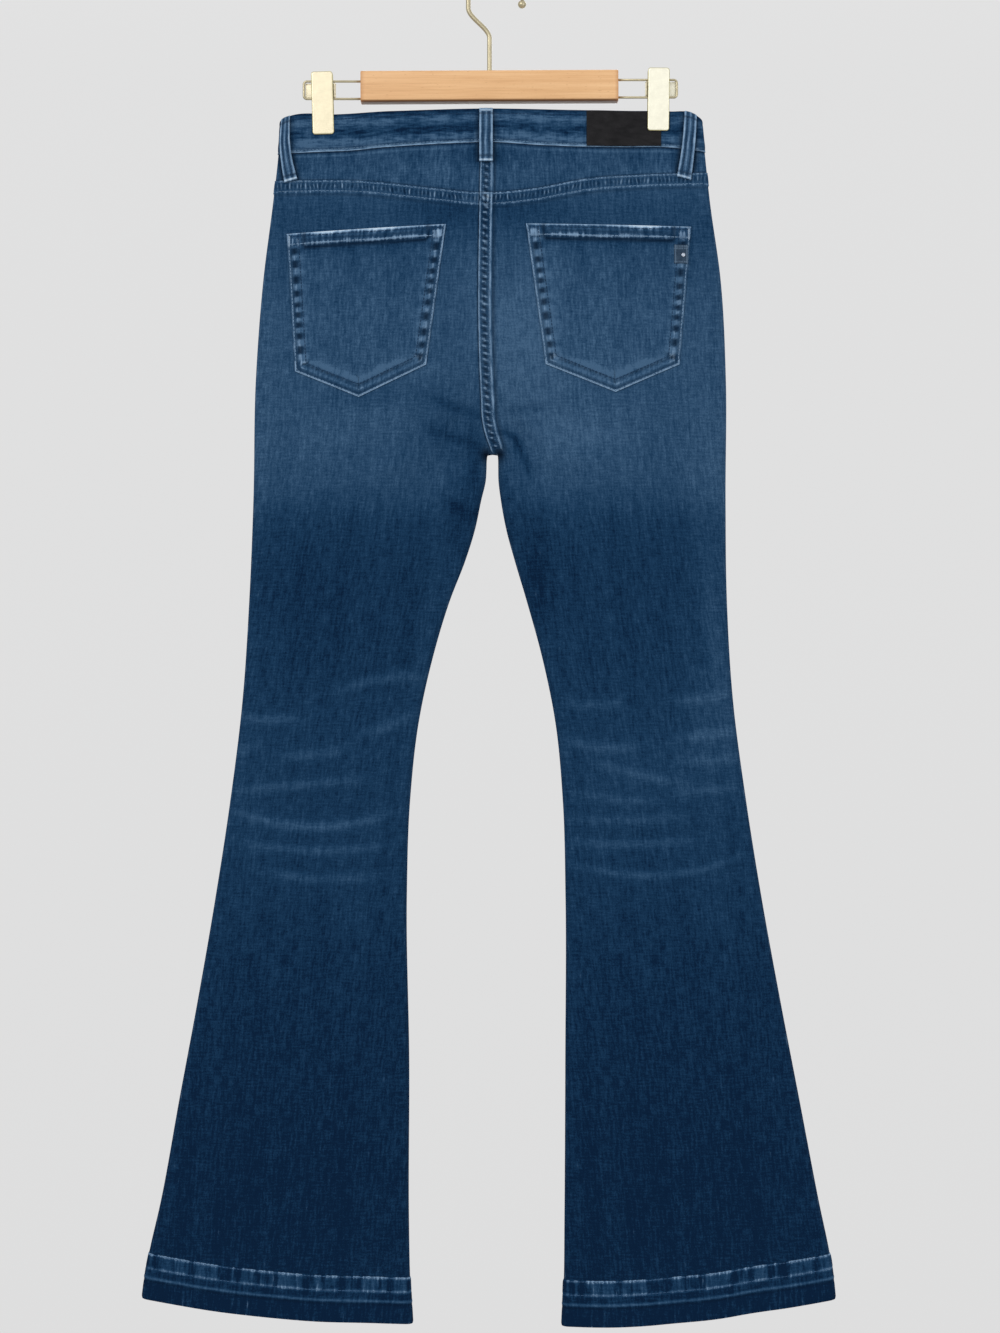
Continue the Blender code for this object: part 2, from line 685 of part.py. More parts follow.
def pocket_points(pocket, side, columns, rows):
    """A grid over a five-cornered pocket, with one column down to its tip."""
    low_width = pocket.inner_low.x - pocket.outer_low.x
    tip_share = (pocket.tip.x - pocket.outer_low.x) / low_width
    before = max(2, round(columns * tip_share))
    shares = np.concatenate(
        [
            np.linspace(0, tip_share, before + 1),
            np.linspace(tip_share, 1, columns - before + 1)[1:],
        ]
    )
    low = np.interp(
        shares,
        (0, tip_share, 1),
        (pocket.outer_low.z, pocket.tip.z, pocket.inner_low.z),
    )
    top = np.interp(shares, (0, 1), (pocket.outer_top.z, pocket.inner_top.z))
    hem = POCKET_HEM / (pocket.outer_top.z - pocket.outer_low.z)
    step = SEAM_STEP / (pocket.outer_top.z - pocket.outer_low.z)
    downs = np.concatenate([[0, hem, hem + step], np.linspace(hem + step, 1, rows - 1)[1:]])
    down = downs[:, None]
    outer_x = pocket.outer_top.x + (pocket.outer_low.x - pocket.outer_top.x) * down
    inner_x = pocket.inner_top.x + (pocket.inner_low.x - pocket.inner_top.x) * down
    x = outer_x + (inner_x - outer_x) * shares
    z = top + (low - top) * down
    return on_cloth(side, BACK, x, z)


def build_back_pocket(side, finish):
    sheet = pocket_points(BACK_POCKETS[side], side, POCKET_COLUMNS, POCKET_ROWS)
    raised = np.zeros(sheet.shape[:2])
    raised[:2, :] = POCKET_HEM_RISE
    lift = POCKET_CLEAR + POCKET_WALL
    wall(f"back_pocket_{side}", sheet, POCKET_WALL, finish, lift=lift, raised=raised)


def cloth_normal(side, face, x, z):
    """The way the cloth faces at one point."""
    step = 1e-5
    at, right, high = on_cloth(side, face, np.array([x, x + step, x]), np.array([z, z, z + step]))
    normal = Vector(np.cross(high - at, right - at)).normalized()
    return normal if normal.y * face > 0 else -normal


def build_belt_loop(loop, finish):
    """A strap that is stitched down above and below the waistband, and stands off between."""
    top_z = float(waist_top(loop.face, loop.top_x))
    rows = []
    for share, stand in LOOP_STAND:
        x = loop.top_x + (loop.low_x - loop.top_x) * share
        z = top_z - loop.length * share
        normal = cloth_normal(loop.side, loop.face, x, z)
        across = normal.cross(Vector((0, 0, 1))).normalized()
        middle = Vector(on_cloth(loop.side, loop.face, x, z)) + normal * (stand + LOOP_WALL)
        rows.append([middle + across * LOOP_WIDTH * step for step in (-0.5, 0.0, 0.5)])
    wall(loop.name, np.array(rows), LOOP_WALL, finish)


def build_patch(finish):
    """A bare patch on the waistband, on the band's own columns and rows."""
    x = np.array([stop for stop in BAND_STOPS if PATCH_START <= stop <= PATCH_END])
    high = waist_top(BACK, x)
    drop = band_seam(BACK, x) + GAP / 2 - high
    rows = []
    for share in (PATCH_MARGIN,) + BAND_SHARES[1:-1] + (1 - PATCH_MARGIN,):
        rows.append(on_cloth(RIGHT, BACK, x, high + drop * share))
    lift = BAND_RISE + GAP + PATCH_WALL
    wall("patch", np.array(rows), PATCH_WALL, finish, lift=lift)


def build_pocket_tab(finish):
    """A small label sewn to the outer edge of the right back pocket."""
    width, height = TAB_SIZE
    x = TAB_CENTRE.x + width * np.array([-0.5, 0.0, 0.5])
    rows = []
    for share in (0.5, 0.0, -0.5):
        rows.append(on_cloth(RIGHT, BACK, x, TAB_CENTRE.z + height * share))
    lift = POCKET_CLEAR + POCKET_WALL + GAP + TAB_WALL
    wall("pocket_tab", np.array(rows), TAB_WALL, finish, lift=lift)


# ---------------------------------------------------------------- hard pieces


def turned(name, profile, radius, rise, finish):
    """A turned piece, of this radius and rise."""
    mesh = bpy.data.meshes.new(name)
    points = [(ring.radius * radius, 0, ring.height * rise) for ring in profile]
    mesh.from_pydata(points, [(i, i + 1) for i in range(len(points) - 1)], [])
    obj = add(name, mesh, finish)
    screw = obj.modifiers.new("turn", "SCREW")
    screw.steps = screw.render_steps = 20
    screw.use_merge_vertices = True
    screw.merge_threshold = 0.00005
    return obj


def face_out(obj, at, normal):
    obj.location = at
    obj.rotation_euler = Vector(normal).to_track_quat("Z", "Y").to_euler()


def build_stud(finish):
    lift = POCKET_CLEAR + POCKET_WALL + GAP + TAB_WALL + GAP
    x, z = STUD_CENTRE
    normal = cloth_normal(RIGHT, BACK, x, z)
    stud = turned("pocket_stud", STUD_PROFILE, STUD_RADIUS, STUD_RISE, finish)
    face_out(stud, Vector(on_cloth(RIGHT, BACK, x, z)) + normal * lift, normal)


def build_button(finish):
    z = float(waist_top(FRONT, BUTTON_X) + band_seam(FRONT, BUTTON_X)) / 2
    normal = cloth_normal(LEFT, FRONT, BUTTON_X, z)
    button = turned("waist_button", BUTTON_PROFILE, BUTTON_RADIUS, BUTTON_RISE, finish)
    lift = BAND_RISE + GAP
    face_out(button, Vector(on_cloth(LEFT, FRONT, BUTTON_X, z)) + normal * lift, normal)


def box(name, low, high, finish, edge):
    """A box between two corners, with its edges rounded on this radius."""
    shape = bmesh.new()
    bmesh.ops.create_cube(shape, size=1.0)
    size = Vector(high) - Vector(low)
    bmesh.ops.scale(shape, vec=size, verts=shape.verts)
    mesh = bpy.data.meshes.new(name)
    shape.to_mesh(mesh)
    shape.free()
    obj = add(name, mesh, finish)
    obj.location = (Vector(high) + Vector(low)) / 2
    bevel = obj.modifiers.new("edge", "BEVEL")
    bevel.width = edge
    bevel.segments = 2
    return obj


def build_bar(finish):
    low = (-BAR_LENGTH / 2, -BAR_DEPTH / 2, BAR_BOTTOM)
    high = (BAR_LENGTH / 2, BAR_DEPTH / 2, BAR_TOP)
    box("hanger_bar", low, high, finish, BAR_ROUND)


def wire(name, points, radius, finish):
    """A round wire through the points, closed at both ends."""
    curve = bpy.data.curves.new(name, "CURVE")
    curve.dimensions = "3D"
    curve.bevel_depth = radius
    curve.bevel_resolution = 2
    curve.use_fill_caps = True
    spline = curve.splines.new("POLY")
    spline.points.add(len(points) - 1)
    for point, place in zip(spline.points, points):
        point.co = (*place, 1.0)
    obj = bpy.data.objects.new(name, curve)
    curve.materials.append(finish)
    collection.objects.link(obj)
    return obj


def arc(centre, radius, start, end, steps):
    """Points of an arc in the XZ plane, from one angle to another, in degrees."""
    angles = [math.radians(start + (end - start) * i / steps) for i in range(steps + 1)]
    return [
        (centre[0] + radius * math.cos(a), 0.0, centre[1] + radius * math.sin(a))
        for a in angles
    ]


def build_wire_loop(side, finish):
    """The wire leaves the end of the bar, turns back beyond the clip and returns below."""
    way = -1 if side == LEFT else 1
    start = BAR_LENGTH / 2 + GAP
    end = WIRE_END - WIRE_BEND
    points = [(start, 0.0, WIRE_HIGH)]
    points += arc((end, WIRE_HIGH - WIRE_BEND), WIRE_BEND, 90, 0, 4)
    points += arc((end, WIRE_LOW + WIRE_BEND), WIRE_BEND, 0, -90, 4)
    points += [(start, 0.0, WIRE_LOW)]
    points = [(way * x, y, z) for x, y, z in points]
    wire(f"hanger_wire_{side}", points, WIRE_RADIUS, finish)


def build_hook(finish):
    """The stem rises from the bar, leans to one side, and bends over the rail."""
    inside = HOOK_BEND - HOOK_WIRE
    centre = (HOOK_SHIFT, -math.sqrt(inside**2 - HOOK_SHIFT**2))
    left = HOOK_SHIFT - HOOK_BEND
    neck = []
    steps = 8
    for step in range(steps + 1):
        share = step / steps
        z = HOOK_NECK_LOW + (HOOK_NECK_HIGH - HOOK_NECK_LOW) * share
        neck.append((left * float(eased(share)), 0.0, z))
    stem = [(0.0, 0.0, BAR_TOP + GAP)]
    bend = arc(centre, HOOK_BEND, 180, HOOK_END, 15)
    wire("hanger_hook", stem + neck + bend, HOOK_WIRE, finish)
    shape = bmesh.new()
    bmesh.ops.create_uvsphere(shape, u_segments=12, v_segments=8, radius=HOOK_TIP)
    mesh = bpy.data.meshes.new("hanger_hook_tip")
    shape.to_mesh(mesh)
    shape.free()
    mesh.shade_smooth()
    tip = add("hanger_hook_tip", mesh, finish)
    end = math.radians(HOOK_END)
    onward = Vector((math.sin(end), 0.0, -math.cos(end)))
    tip.location = Vector(bend[-1]) + onward * (HOOK_TIP + GAP)


def build_clip(clip, plate_finish, spring_finish):
    """Two flat jaws, and between them the spring block that sits between the two wires."""
    x = CLIP_X[clip.side]
    half = CLIP_WIDTH / 2
    front_grip = BAND_FACE + GAP
    turn = math.radians(clip.turn)
    for face, grip, name in ((BACK, clip.back_grip, "back"), (FRONT, front_grip, "front")):
        ys = sorted((face * grip, face * (grip + CLIP_WALL)))
        low = (x - half, ys[0], clip.bottom)
        high = (x + half, ys[1], clip.top)
        plate = box(f"clip_{clip.side}_{name}", low, high, plate_finish, CLIP_EDGE)
        plate.rotation_euler.y = -turn
    shift = SPRING_SHIFT if clip.side == LEFT else -SPRING_SHIFT
    low = (
        x + shift - SPRING_WIDTH / 2,
        GAP - clip.back_grip,
        WIRE_LOW + WIRE_RADIUS + GAP,
    )
    high = (
        x + shift + SPRING_WIDTH / 2,
        front_grip - GAP,
        WIRE_HIGH - WIRE_RADIUS - GAP,
    )
    box(f"clip_{clip.side}_spring", low, high, spring_finish, CLIP_EDGE)


def main():
    clear_scene()
    denim = material("denim", (0.020, 0.066, 0.130), 0.88)
    faded = material("faded_denim", (0.034, 0.088, 0.160), 0.88)
    dark = material("dark_denim", (0.014, 0.046, 0.096), 0.88)
    worn = material("belt_loop_denim", (0.050, 0.110, 0.180), 0.88)
    for side in SIDES:
        build_back_panel(side, denim)
        build_front_panel(side, denim)
        build_yoke(side, faded)
        build_pocket_facing(side, faded)
        build_back_pocket(side, faded)
        build_hem(side, dark)
    build_waistband(dark)
    for loop in BELT_LOOPS:
        build_belt_loop(loop, worn)
    build_patch(material("patch_leather", (0.018, 0.018, 0.019), 0.55))
    build_pocket_tab(material("grey_tab", (0.230, 0.240, 0.245), 0.6))
    build_stud(material("stud_metal", (0.75, 0.76, 0.78), 0.25, 1.0))
    build_button(material("button_metal", (0.62, 0.50, 0.30), 0.35, 1.0))
    gold = material("gold_wire", (0.70, 0.62, 0.38), 0.30, 1.0)
    build_bar(material("beech", (0.745, 0.455, 0.230), 0.5))
    build_hook(gold)
    for side in SIDES:
        build_wire_loop(side, gold)
    plates = material("clip_metal", (0.90, 0.86, 0.66), 0.22, 1.0)
    springs = material("spring_metal", (0.42, 0.38, 0.24), 0.40, 1.0)
    for clip in CLIPS:
        build_clip(clip, plates, springs)


main()
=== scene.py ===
# %% [markdown]
# # Flared jeans on a clip hanger
#
# A pair of washed, flared jeans hangs by its waistband from two clips on a wooden hanger, with
# the seat towards us. This lesson dresses the plain solids of the part. We meet one idea at a
# time: a camera and a pale studio, then the cloth surface as a formula, then shells of cloth
# cut out of that surface, then dye, thread, leather, wood and metal.
#
# The first cell loads the solids, which are called nodes. They set every size and place here.

import json
import math
from collections import namedtuple

import bmesh
import bpy
import numpy as np
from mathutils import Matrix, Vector
from mathutils.bvhtree import BVHTree

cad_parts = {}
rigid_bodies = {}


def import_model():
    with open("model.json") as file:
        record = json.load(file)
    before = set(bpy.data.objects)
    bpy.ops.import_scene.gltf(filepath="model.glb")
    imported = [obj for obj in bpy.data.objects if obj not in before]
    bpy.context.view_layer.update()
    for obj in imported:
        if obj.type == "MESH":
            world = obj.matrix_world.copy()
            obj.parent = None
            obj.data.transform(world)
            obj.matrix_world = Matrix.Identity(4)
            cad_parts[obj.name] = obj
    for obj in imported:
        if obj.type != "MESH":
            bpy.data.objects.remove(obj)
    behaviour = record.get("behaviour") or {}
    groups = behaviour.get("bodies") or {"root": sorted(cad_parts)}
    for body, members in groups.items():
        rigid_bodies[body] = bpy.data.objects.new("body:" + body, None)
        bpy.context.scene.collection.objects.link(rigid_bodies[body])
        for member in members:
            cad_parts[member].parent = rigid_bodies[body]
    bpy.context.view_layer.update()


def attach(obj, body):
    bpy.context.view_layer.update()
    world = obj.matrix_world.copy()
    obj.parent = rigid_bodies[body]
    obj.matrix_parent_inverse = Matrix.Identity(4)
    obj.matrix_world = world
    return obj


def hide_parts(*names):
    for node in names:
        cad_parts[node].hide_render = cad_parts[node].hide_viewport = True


for leftover in list(bpy.data.objects):
    bpy.data.objects.remove(leftover)
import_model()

# %% [markdown]
# ## Camera
#
# Clothes for sale are shown straight on and from far enough away that the hem and the waist
# keep their true proportions. A lens of about 76 mm, 2.6 m away and level with the knees, does
# that. It stands a centimetre to the right of the hanger's hook.

# %% Camera
CAMERA_PLACE = (0.00966, -2.6, -0.638)
VIEW_HEIGHT = 1.22636  # metres of the hanging plane that the frame's height takes in


def placed(name, data, place=(0, 0, 0)):
    """Puts an object into the scene."""
    obj = bpy.data.objects.new(name, data)
    bpy.context.scene.collection.objects.link(obj)
    obj.location = place
    return obj


camera_lens = bpy.data.cameras.new("camera")
camera_lens.lens = camera_lens.sensor_width * -CAMERA_PLACE[1] / VIEW_HEIGHT
camera = placed("camera", camera_lens, CAMERA_PLACE)
camera.rotation_euler.x = math.radians(90)
bpy.context.scene.camera = camera
print("lens in mm:", round(camera_lens.lens, 1))

# %% [markdown]
# ## Studio
#
# Denim is matt, so it needs broad soft light more than highlights. The studio is a pale grey
# surround, a little brighter overhead and darker towards the ground, and two large panels of
# light in front of the hanger and one behind it. A gradient on the world's direction gives
# that surround in one node, where walls and a ceiling would need objects of their own.
#
# The view uses the plain display transform, so a colour that a material is given is the
# colour that a white light shows.

# %% Surround
# The grey at each height, from the ground at 0 to straight overhead at 1.
SURROUND = ((0.0, 0.16), (0.30, 0.45), (0.375, 0.73), (0.60, 0.75), (0.85, 0.90), (1.0, 0.95))
BLUER = 1.002  # the blue of the surround, against its red and green

bpy.context.scene.view_settings.view_transform = "Standard"


def make_surround():
    world = bpy.data.worlds.new("studio")
    bpy.context.scene.world = world
    world.use_nodes = True
    tree = world.node_tree
    place = tree.nodes.new("ShaderNodeTexCoord")
    split = tree.nodes.new("ShaderNodeSeparateXYZ")
    tree.links.new(place.outputs["Generated"], split.inputs[0])
    height = tree.nodes.new("ShaderNodeMapRange")
    height.inputs["From Min"].default_value = -1
    tree.links.new(split.outputs["Z"], height.inputs["Value"])
    ramp = tree.nodes.new("ShaderNodeValToRGB")
    while len(ramp.color_ramp.elements) < len(SURROUND):
        ramp.color_ramp.elements.new(0.5)
    for stop, (position, grey) in zip(ramp.color_ramp.elements, SURROUND):
        stop.position = position
        stop.color = (grey, grey, grey * BLUER, 1)
    tree.links.new(height.outputs["Result"], ramp.inputs["Fac"])
    tree.links.new(ramp.outputs["Color"], tree.nodes["Background"].inputs["Color"])


make_surround()
print("surround:", len(SURROUND), "greys, up to", SURROUND[-1][1])

# %% Floor and lights
FLOOR_HEIGHT, FLOOR_RADIUS = -2.0, 3.1
FLOOR_GREY, FLOOR_ROUGHNESS = 0.6, 0.9
MIDDLE_OF_JEANS = Vector((0, 0, -0.62))


def panel_light(name, place, size, watts):
    """A square of light that faces the middle of the jeans."""
    light = bpy.data.lights.new(name, "AREA")
    light.size = size
    light.energy = watts
    aim = MIDDLE_OF_JEANS - Vector(place)
    placed(name, light, place).rotation_euler = aim.to_track_quat("-Z", "Y").to_euler()


def make_floor():
    shape = bmesh.new()
    bmesh.ops.create_circle(shape, cap_ends=True, radius=FLOOR_RADIUS, segments=96)
    mesh = bpy.data.meshes.new("floor")
    shape.to_mesh(mesh)
    shape.free()
    paint = bpy.data.materials.new("floor_paint")
    paint.use_nodes = True
    shader = paint.node_tree.nodes["Principled BSDF"]
    shader.inputs["Base Color"].default_value = (FLOOR_GREY, FLOOR_GREY, FLOOR_GREY, 1)
    shader.inputs["Roughness"].default_value = FLOOR_ROUGHNESS
    mesh.materials.append(paint)
    floor = placed("floor", mesh, (0, 0, FLOOR_HEIGHT))


make_floor()
panel_light("key_light", (-1.5, -2.6, 0.9), 1.8, 34)
panel_light("fill_light", (1.9, -2.4, -0.2), 2.0, 16)
panel_light("back_light", (0.6, 2.8, 0.6), 2.0, 40)

# %% [markdown]
# ## The cut of the jeans
#
# A pattern cutter works from measured lines: the side seam, the inseam, the waist, the yoke
# and the hem. The solids were made from the same short tables, so repeating them here puts
# the fine cloth exactly on the solids. The jeans could also be read back from the solids'
# points, but those are far apart, and a table is easier to read and to change.
#
# The seat faces -Y. Left and right are the wearer's, so +X is right.

# %% Side seams, inseams and depths
BACK, FRONT = -1, 1  # which way a face looks along Y
LEFT, RIGHT = "left", "right"
SIDES = (LEFT, RIGHT)
GAP = 0.0003  # between pieces that lie on each other
SLIT = 0.00006  # between cloth pieces that are sewn edge to edge


def rows_of(kind, *rows):
    """A table whose columns have names."""
    return [kind(*row) for row in rows]


Row = namedtuple("Row", "z left right")
SIDE_EDGE = rows_of(
    Row,
    (-0.123, -0.1918, 0.194), (-0.165, -0.194, 0.198), (-0.209, -0.1988, 0.2026),
    (-0.282, -0.208, 0.2126), (-0.375, -0.215, 0.2175), (-0.485, -0.2172, 0.2172),
    (-0.577, -0.221, 0.2184), (-0.669, -0.2272, 0.224), (-0.761, -0.2384, 0.236),
    (-0.853, -0.2525, 0.2507), (-0.945, -0.2684, 0.2675), (-1.037, -0.2855, 0.2852),
    (-1.129, -0.3022, 0.3028), (-1.184, -0.3145, 0.314), (-1.245, -0.3225, 0.3203),
)
INSEAM_EDGE = rows_of(
    Row,
    (-0.4434, -0.0013, 0.0073), (-0.445, -0.002, 0.0077), (-0.448, -0.0024, 0.0079),
    (-0.456, -0.0027, 0.008), (-0.4664, -0.0033, 0.0082), (-0.4848, -0.0075, 0.0104),
    (-0.5124, -0.0134, 0.0155), (-0.54, -0.022, 0.023), (-0.577, -0.0363, 0.034),
    (-0.632, -0.0527, 0.049), (-0.687, -0.0647, 0.0602), (-0.761, -0.073, 0.0674),
    (-0.85, -0.076, 0.0699), (-1.0, -0.0738, 0.0697), (-1.15, -0.074, 0.0689), (-1.2, -0.073, 0.0684),
    (-1.245, -0.0706, 0.0666),
)
# The legs part along a short level stretch, from the first left edge to the first right one.
CROTCH_X = (INSEAM_EDGE[0].left + INSEAM_EDGE[0].right) / 2
CROTCH_Z = INSEAM_EDGE[0].z
ARCH_HALF_WIDTH = INSEAM_EDGE[0].right - CROTCH_X

Depth = namedtuple("Depth", "z back front edge")
# How far the cloth stands from the middle plane, and the radius on which its edges turn over.
DEPTHS = rows_of(
    Depth,
    (-0.123, 0.0125, 0.0115, 0.0035), (-0.165, 0.015, 0.0125, 0.0035), (-0.21, 0.02, 0.015, 0.0045),
    (-0.29, 0.0265, 0.018, 0.0055), (-0.36, 0.0275, 0.0185, 0.006), (-0.443, 0.0245, 0.019, 0.006),
    (-0.55, 0.02, 0.0185, 0.006), (-0.7, 0.0165, 0.0165, 0.006), (-0.85, 0.0165, 0.0165, 0.006),
    (-1.0, 0.0185, 0.0185, 0.006), (-1.2, 0.0215, 0.0215, 0.006), (-1.245, 0.022, 0.022, 0.006),
)
CROWN_HIGH, CROWN_LOW = -0.200, -0.460  # between these the body's crown parts into two legs

Centre = namedtuple("Centre", "z back front")
CENTRE_LINE = rows_of(
    Centre,
    (-0.12, -0.0078, 0.0), (-0.39, -0.0078, 0.0), (-0.415, -0.0062, 0.0008), (-0.432, -0.0015, 0.0025),
    (CROTCH_Z, CROTCH_X, CROTCH_X),
)
HIPS = 5  # the row of the side seams' table where the jeans are widest above the knee
print("width at the hips:", round(SIDE_EDGE[HIPS].right - SIDE_EDGE[HIPS].left, 3), "m laid flat")

# %% [markdown]
# The lines across are read the same way, by x. Washing has pulled each of them a little out of
# true, and the waist stands highest near the middle, where nothing weighs it down. The clips
# press the waistband flat, and the pinch fades out sideways and down.

# %% Lines across: waist, waist seam, yoke seam and hem
Place = namedtuple("Place", "x z")
WAIST_TOP = rows_of(
    Place,
    (-0.196, -0.14), (-0.189, -0.1342), (-0.184, -0.1322), (-0.142, -0.1304), (-0.082, -0.129),
    (-0.01, -0.1272), (0.0894, -0.1283), (0.166, -0.1277), (0.185, -0.129), (0.1905, -0.1318),
    (0.1975, -0.1372),
)
BAND_SEAM = rows_of(
    Place,
    (-0.196, -0.1674), (-0.1806, -0.1662), (-0.1123, -0.1634), (-0.0443, -0.1597), (0.0033, -0.1583),
    (0.0472, -0.1609), (0.0884, -0.1621), (0.1723, -0.1614), (0.1985, -0.1653),
)
YOKE_SEAM = rows_of(
    Place,
    (-0.202, -0.1918), (-0.1205, -0.1929), (-0.0836, -0.1972), (-0.045, -0.2018), (-0.0078, -0.2053),
    (0.0389, -0.2016), (0.0892, -0.1919), (0.1318, -0.1872), (0.203, -0.1842),
)
HEM_TOP = rows_of(
    Place,
    (-0.324, -1.1749), (-0.248, -1.1845), (-0.1927, -1.1902), (-0.156, -1.1935), (-0.11, -1.196),
    (-0.07, -1.199), (0.069, -1.201), (0.1145, -1.1998), (0.143, -1.1976), (0.166, -1.195),
    (0.212, -1.1901), (0.24, -1.1858), (0.2765, -1.1818), (0.324, -1.1755),
)
HEM_HEIGHT = 0.0427
FRONT_DIP, FRONT_DIP_REACH = 0.014, 0.150  # the front of the waist hangs lower at its middle
CLIP_X = {LEFT: -0.1534, RIGHT: 0.1553}
PINCH_DEPTH, PINCH_HALF_WIDTH, PINCH_FADE = 0.0016, 0.012, 0.050
PINCH_TOP, PINCH_BOTTOM = -0.165, -0.228
middle_top, middle_seam = WAIST_TOP[5], BAND_SEAM[4]
print("waistband height at the middle:", round(middle_top.z - middle_seam.z, 4), "m")

# %% [markdown]
# ## Folds
#
# Cloth that hangs from two clips still keeps the shape of the body: a hollow behind each knee, short
# folds that fan out from the crotch, and long soft flutes in the flare. A cloth simulation would find
# its own folds, in other places. Here each fold is given as a soft ridge or trough, all of them uneven
# in length, depth and spacing. The first table is the solids' own. The second holds finer creases that
# only the dressed cloth has.

# %% Folds and creases
Fold = namedtuple("Fold", "x z turn length width height")
FOLDS = {
    BACK: rows_of(
        Fold,
        (-0.15, -0.668, 4, 0.07, 0.022, -0.0016), (-0.16, -0.77, -3, 0.075, 0.024, -0.0018),
        (0.16, -0.69, -5, 0.07, 0.024, -0.0017), (0.155, -0.795, 4, 0.075, 0.022, -0.0016),
        (-0.06, -0.47, 38, 0.05, 0.02, -0.0018), (0.07, -0.475, -35, 0.05, 0.02, -0.0018),
        (-0.215, -1.06, 78, 0.16, 0.026, 0.0022), (0.18, -1.08, -84, 0.15, 0.028, 0.0022),
        (-0.135, -1.09, 88, 0.14, 0.024, -0.0016), (0.245, -1.08, -76, 0.15, 0.024, -0.0016),
    ),
    FRONT: rows_of(
        Fold,
        (-0.165, -0.7, -4, 0.075, 0.024, -0.0016), (0.15, -0.715, 5, 0.07, 0.024, -0.0016),
        (-0.075, -0.44, 32, 0.06, 0.018, -0.0018), (0.085, -0.435, -30, 0.06, 0.018, -0.0018),
        (-0.185, -1.07, 82, 0.15, 0.028, 0.0022), (0.215, -1.06, -79, 0.16, 0.026, 0.0022),
    ),
}
CREASES = {
    BACK: rows_of(
        Fold,
        (-0.031, -0.421, 62, 0.026, 0.006, -0.0011), (-0.046, -0.404, 50, 0.024, 0.006, 0.0006),
        (-0.02, -0.446, 70, 0.014, 0.0045, -0.0009), (0.025, -0.425, -58, 0.02, 0.0045, -0.001),
        (0.036, -0.416, -52, 0.024, 0.006, 0.0007), (0.019, -0.445, -66, 0.013, 0.004, 0.0008),
        (-0.09, -0.455, 24, 0.04, 0.009, 0.0006), (0.105, -0.452, -20, 0.045, 0.01, 0.0006),
        (-0.196, -0.3, 82, 0.045, 0.007, -0.0005), (0.199, -0.318, -84, 0.05, 0.007, -0.0005),
    ),
    FRONT: rows_of(
        Fold,
        (-0.03, -0.405, 48, 0.034, 0.006, 0.0008), (-0.045, -0.385, 35, 0.04, 0.007, -0.0008),
        (0.034, -0.408, -50, 0.032, 0.006, 0.0008), (0.052, -0.388, -33, 0.042, 0.007, -0.0008),
        (-0.1, -0.33, 14, 0.045, 0.008, 0.0005), (0.104, -0.326, -12, 0.045, 0.008, 0.0005),
    ),
}


def slanted(mark, degrees, x, z):
    """Distances from a mark's middle, along its slant and across it."""
    cos, sin = math.cos(math.radians(degrees)), math.sin(math.radians(degrees))
    return (x - mark.x) * cos + (z - mark.z) * sin, (z - mark.z) * cos - (x - mark.x) * sin


def folding(folds, x, z):
    """How far the folds of one face lift the cloth."""
    lift = np.zeros(np.broadcast(x, z).shape)
    for fold in folds:
        along, across = slanted(fold, fold.turn, x, z)
        lift += fold.height * np.exp(-((along / fold.length) ** 2) - (across / fold.width) ** 2)
    return lift


print("folds:", sum(map(len, FOLDS.values())), "creases:", sum(map(len, CREASES.values())))

# %% [markdown]
# ## One cloth surface
#
# Every piece is cut from one surface, which says how far the cloth stands from the middle
# plane at any x and z. It turns over on a small radius at the seams, bulges between them, and
# is pressed flat where the clips hold it. Because all the pieces share it, they meet at their
# seams, and a pocket lies flat on the panel under it. Modelling each panel by hand would lose
# that.

# %% Curves
def smooth(rows, column, at):
    """A smooth curve through one column of a table, read against the table's first column."""
    rows = sorted(rows)
    knots = np.array([row[0] for row in rows])
    values = np.array([getattr(row, column) for row in rows])
    slopes = np.gradient(values, knots)
    at = np.clip(at, knots[0], knots[-1])
    i = np.clip(np.searchsorted(knots, at) - 1, 0, len(knots) - 2)
    span = knots[i + 1] - knots[i]
    t = (at - knots[i]) / span
    start = (1 + 2 * t) * (1 - t) ** 2 * values[i] + t * (1 - t) ** 2 * span * slopes[i]
    end = t * t * (3 - 2 * t) * values[i + 1] + t * t * (t - 1) * span * slopes[i + 1]
    return start + end


def eased(t):
    """0 to 1, with a level start and end."""
    t = np.clip(t, 0, 1)
    return t * t * (3 - 2 * t)


def rounded(distance, radius):
    t = 1 - np.clip(distance / radius, 0, 1)
    return radius * np.sqrt(1 - t * t)


def crowned(distance, reach):
    t = 1 - np.clip(distance / reach, 0, 1)
    return 1 - t * t


print("eased at a quarter:", eased(0.25), "crowned:", crowned(0.25, 1))

# %% The surface
FOLD_CLEAR = 4  # folds fade out over this many edge radii, so that they leave the seams alone
CROWN_LOSS = 0.5  # of the width that the crown spans, once the body has parted into legs


def column_of(face):
    return "back" if face == BACK else "front"


def centre_line(face, z):
    return smooth(CENTRE_LINE, column_of(face), z)


def inner_end(side, face, z):
    return np.where(z < CROTCH_Z, smooth(INSEAM_EDGE, side, z), centre_line(face, z))


def pinch(side, x, z):
    """1 where a clip presses the cloth flat, and 0 away from it."""
    beside = (np.abs(x - CLIP_X[side]) - PINCH_HALF_WIDTH) / PINCH_FADE
    return (1 - eased(beside)) * eased((z - PINCH_BOTTOM) / (PINCH_TOP - PINCH_BOTTOM))


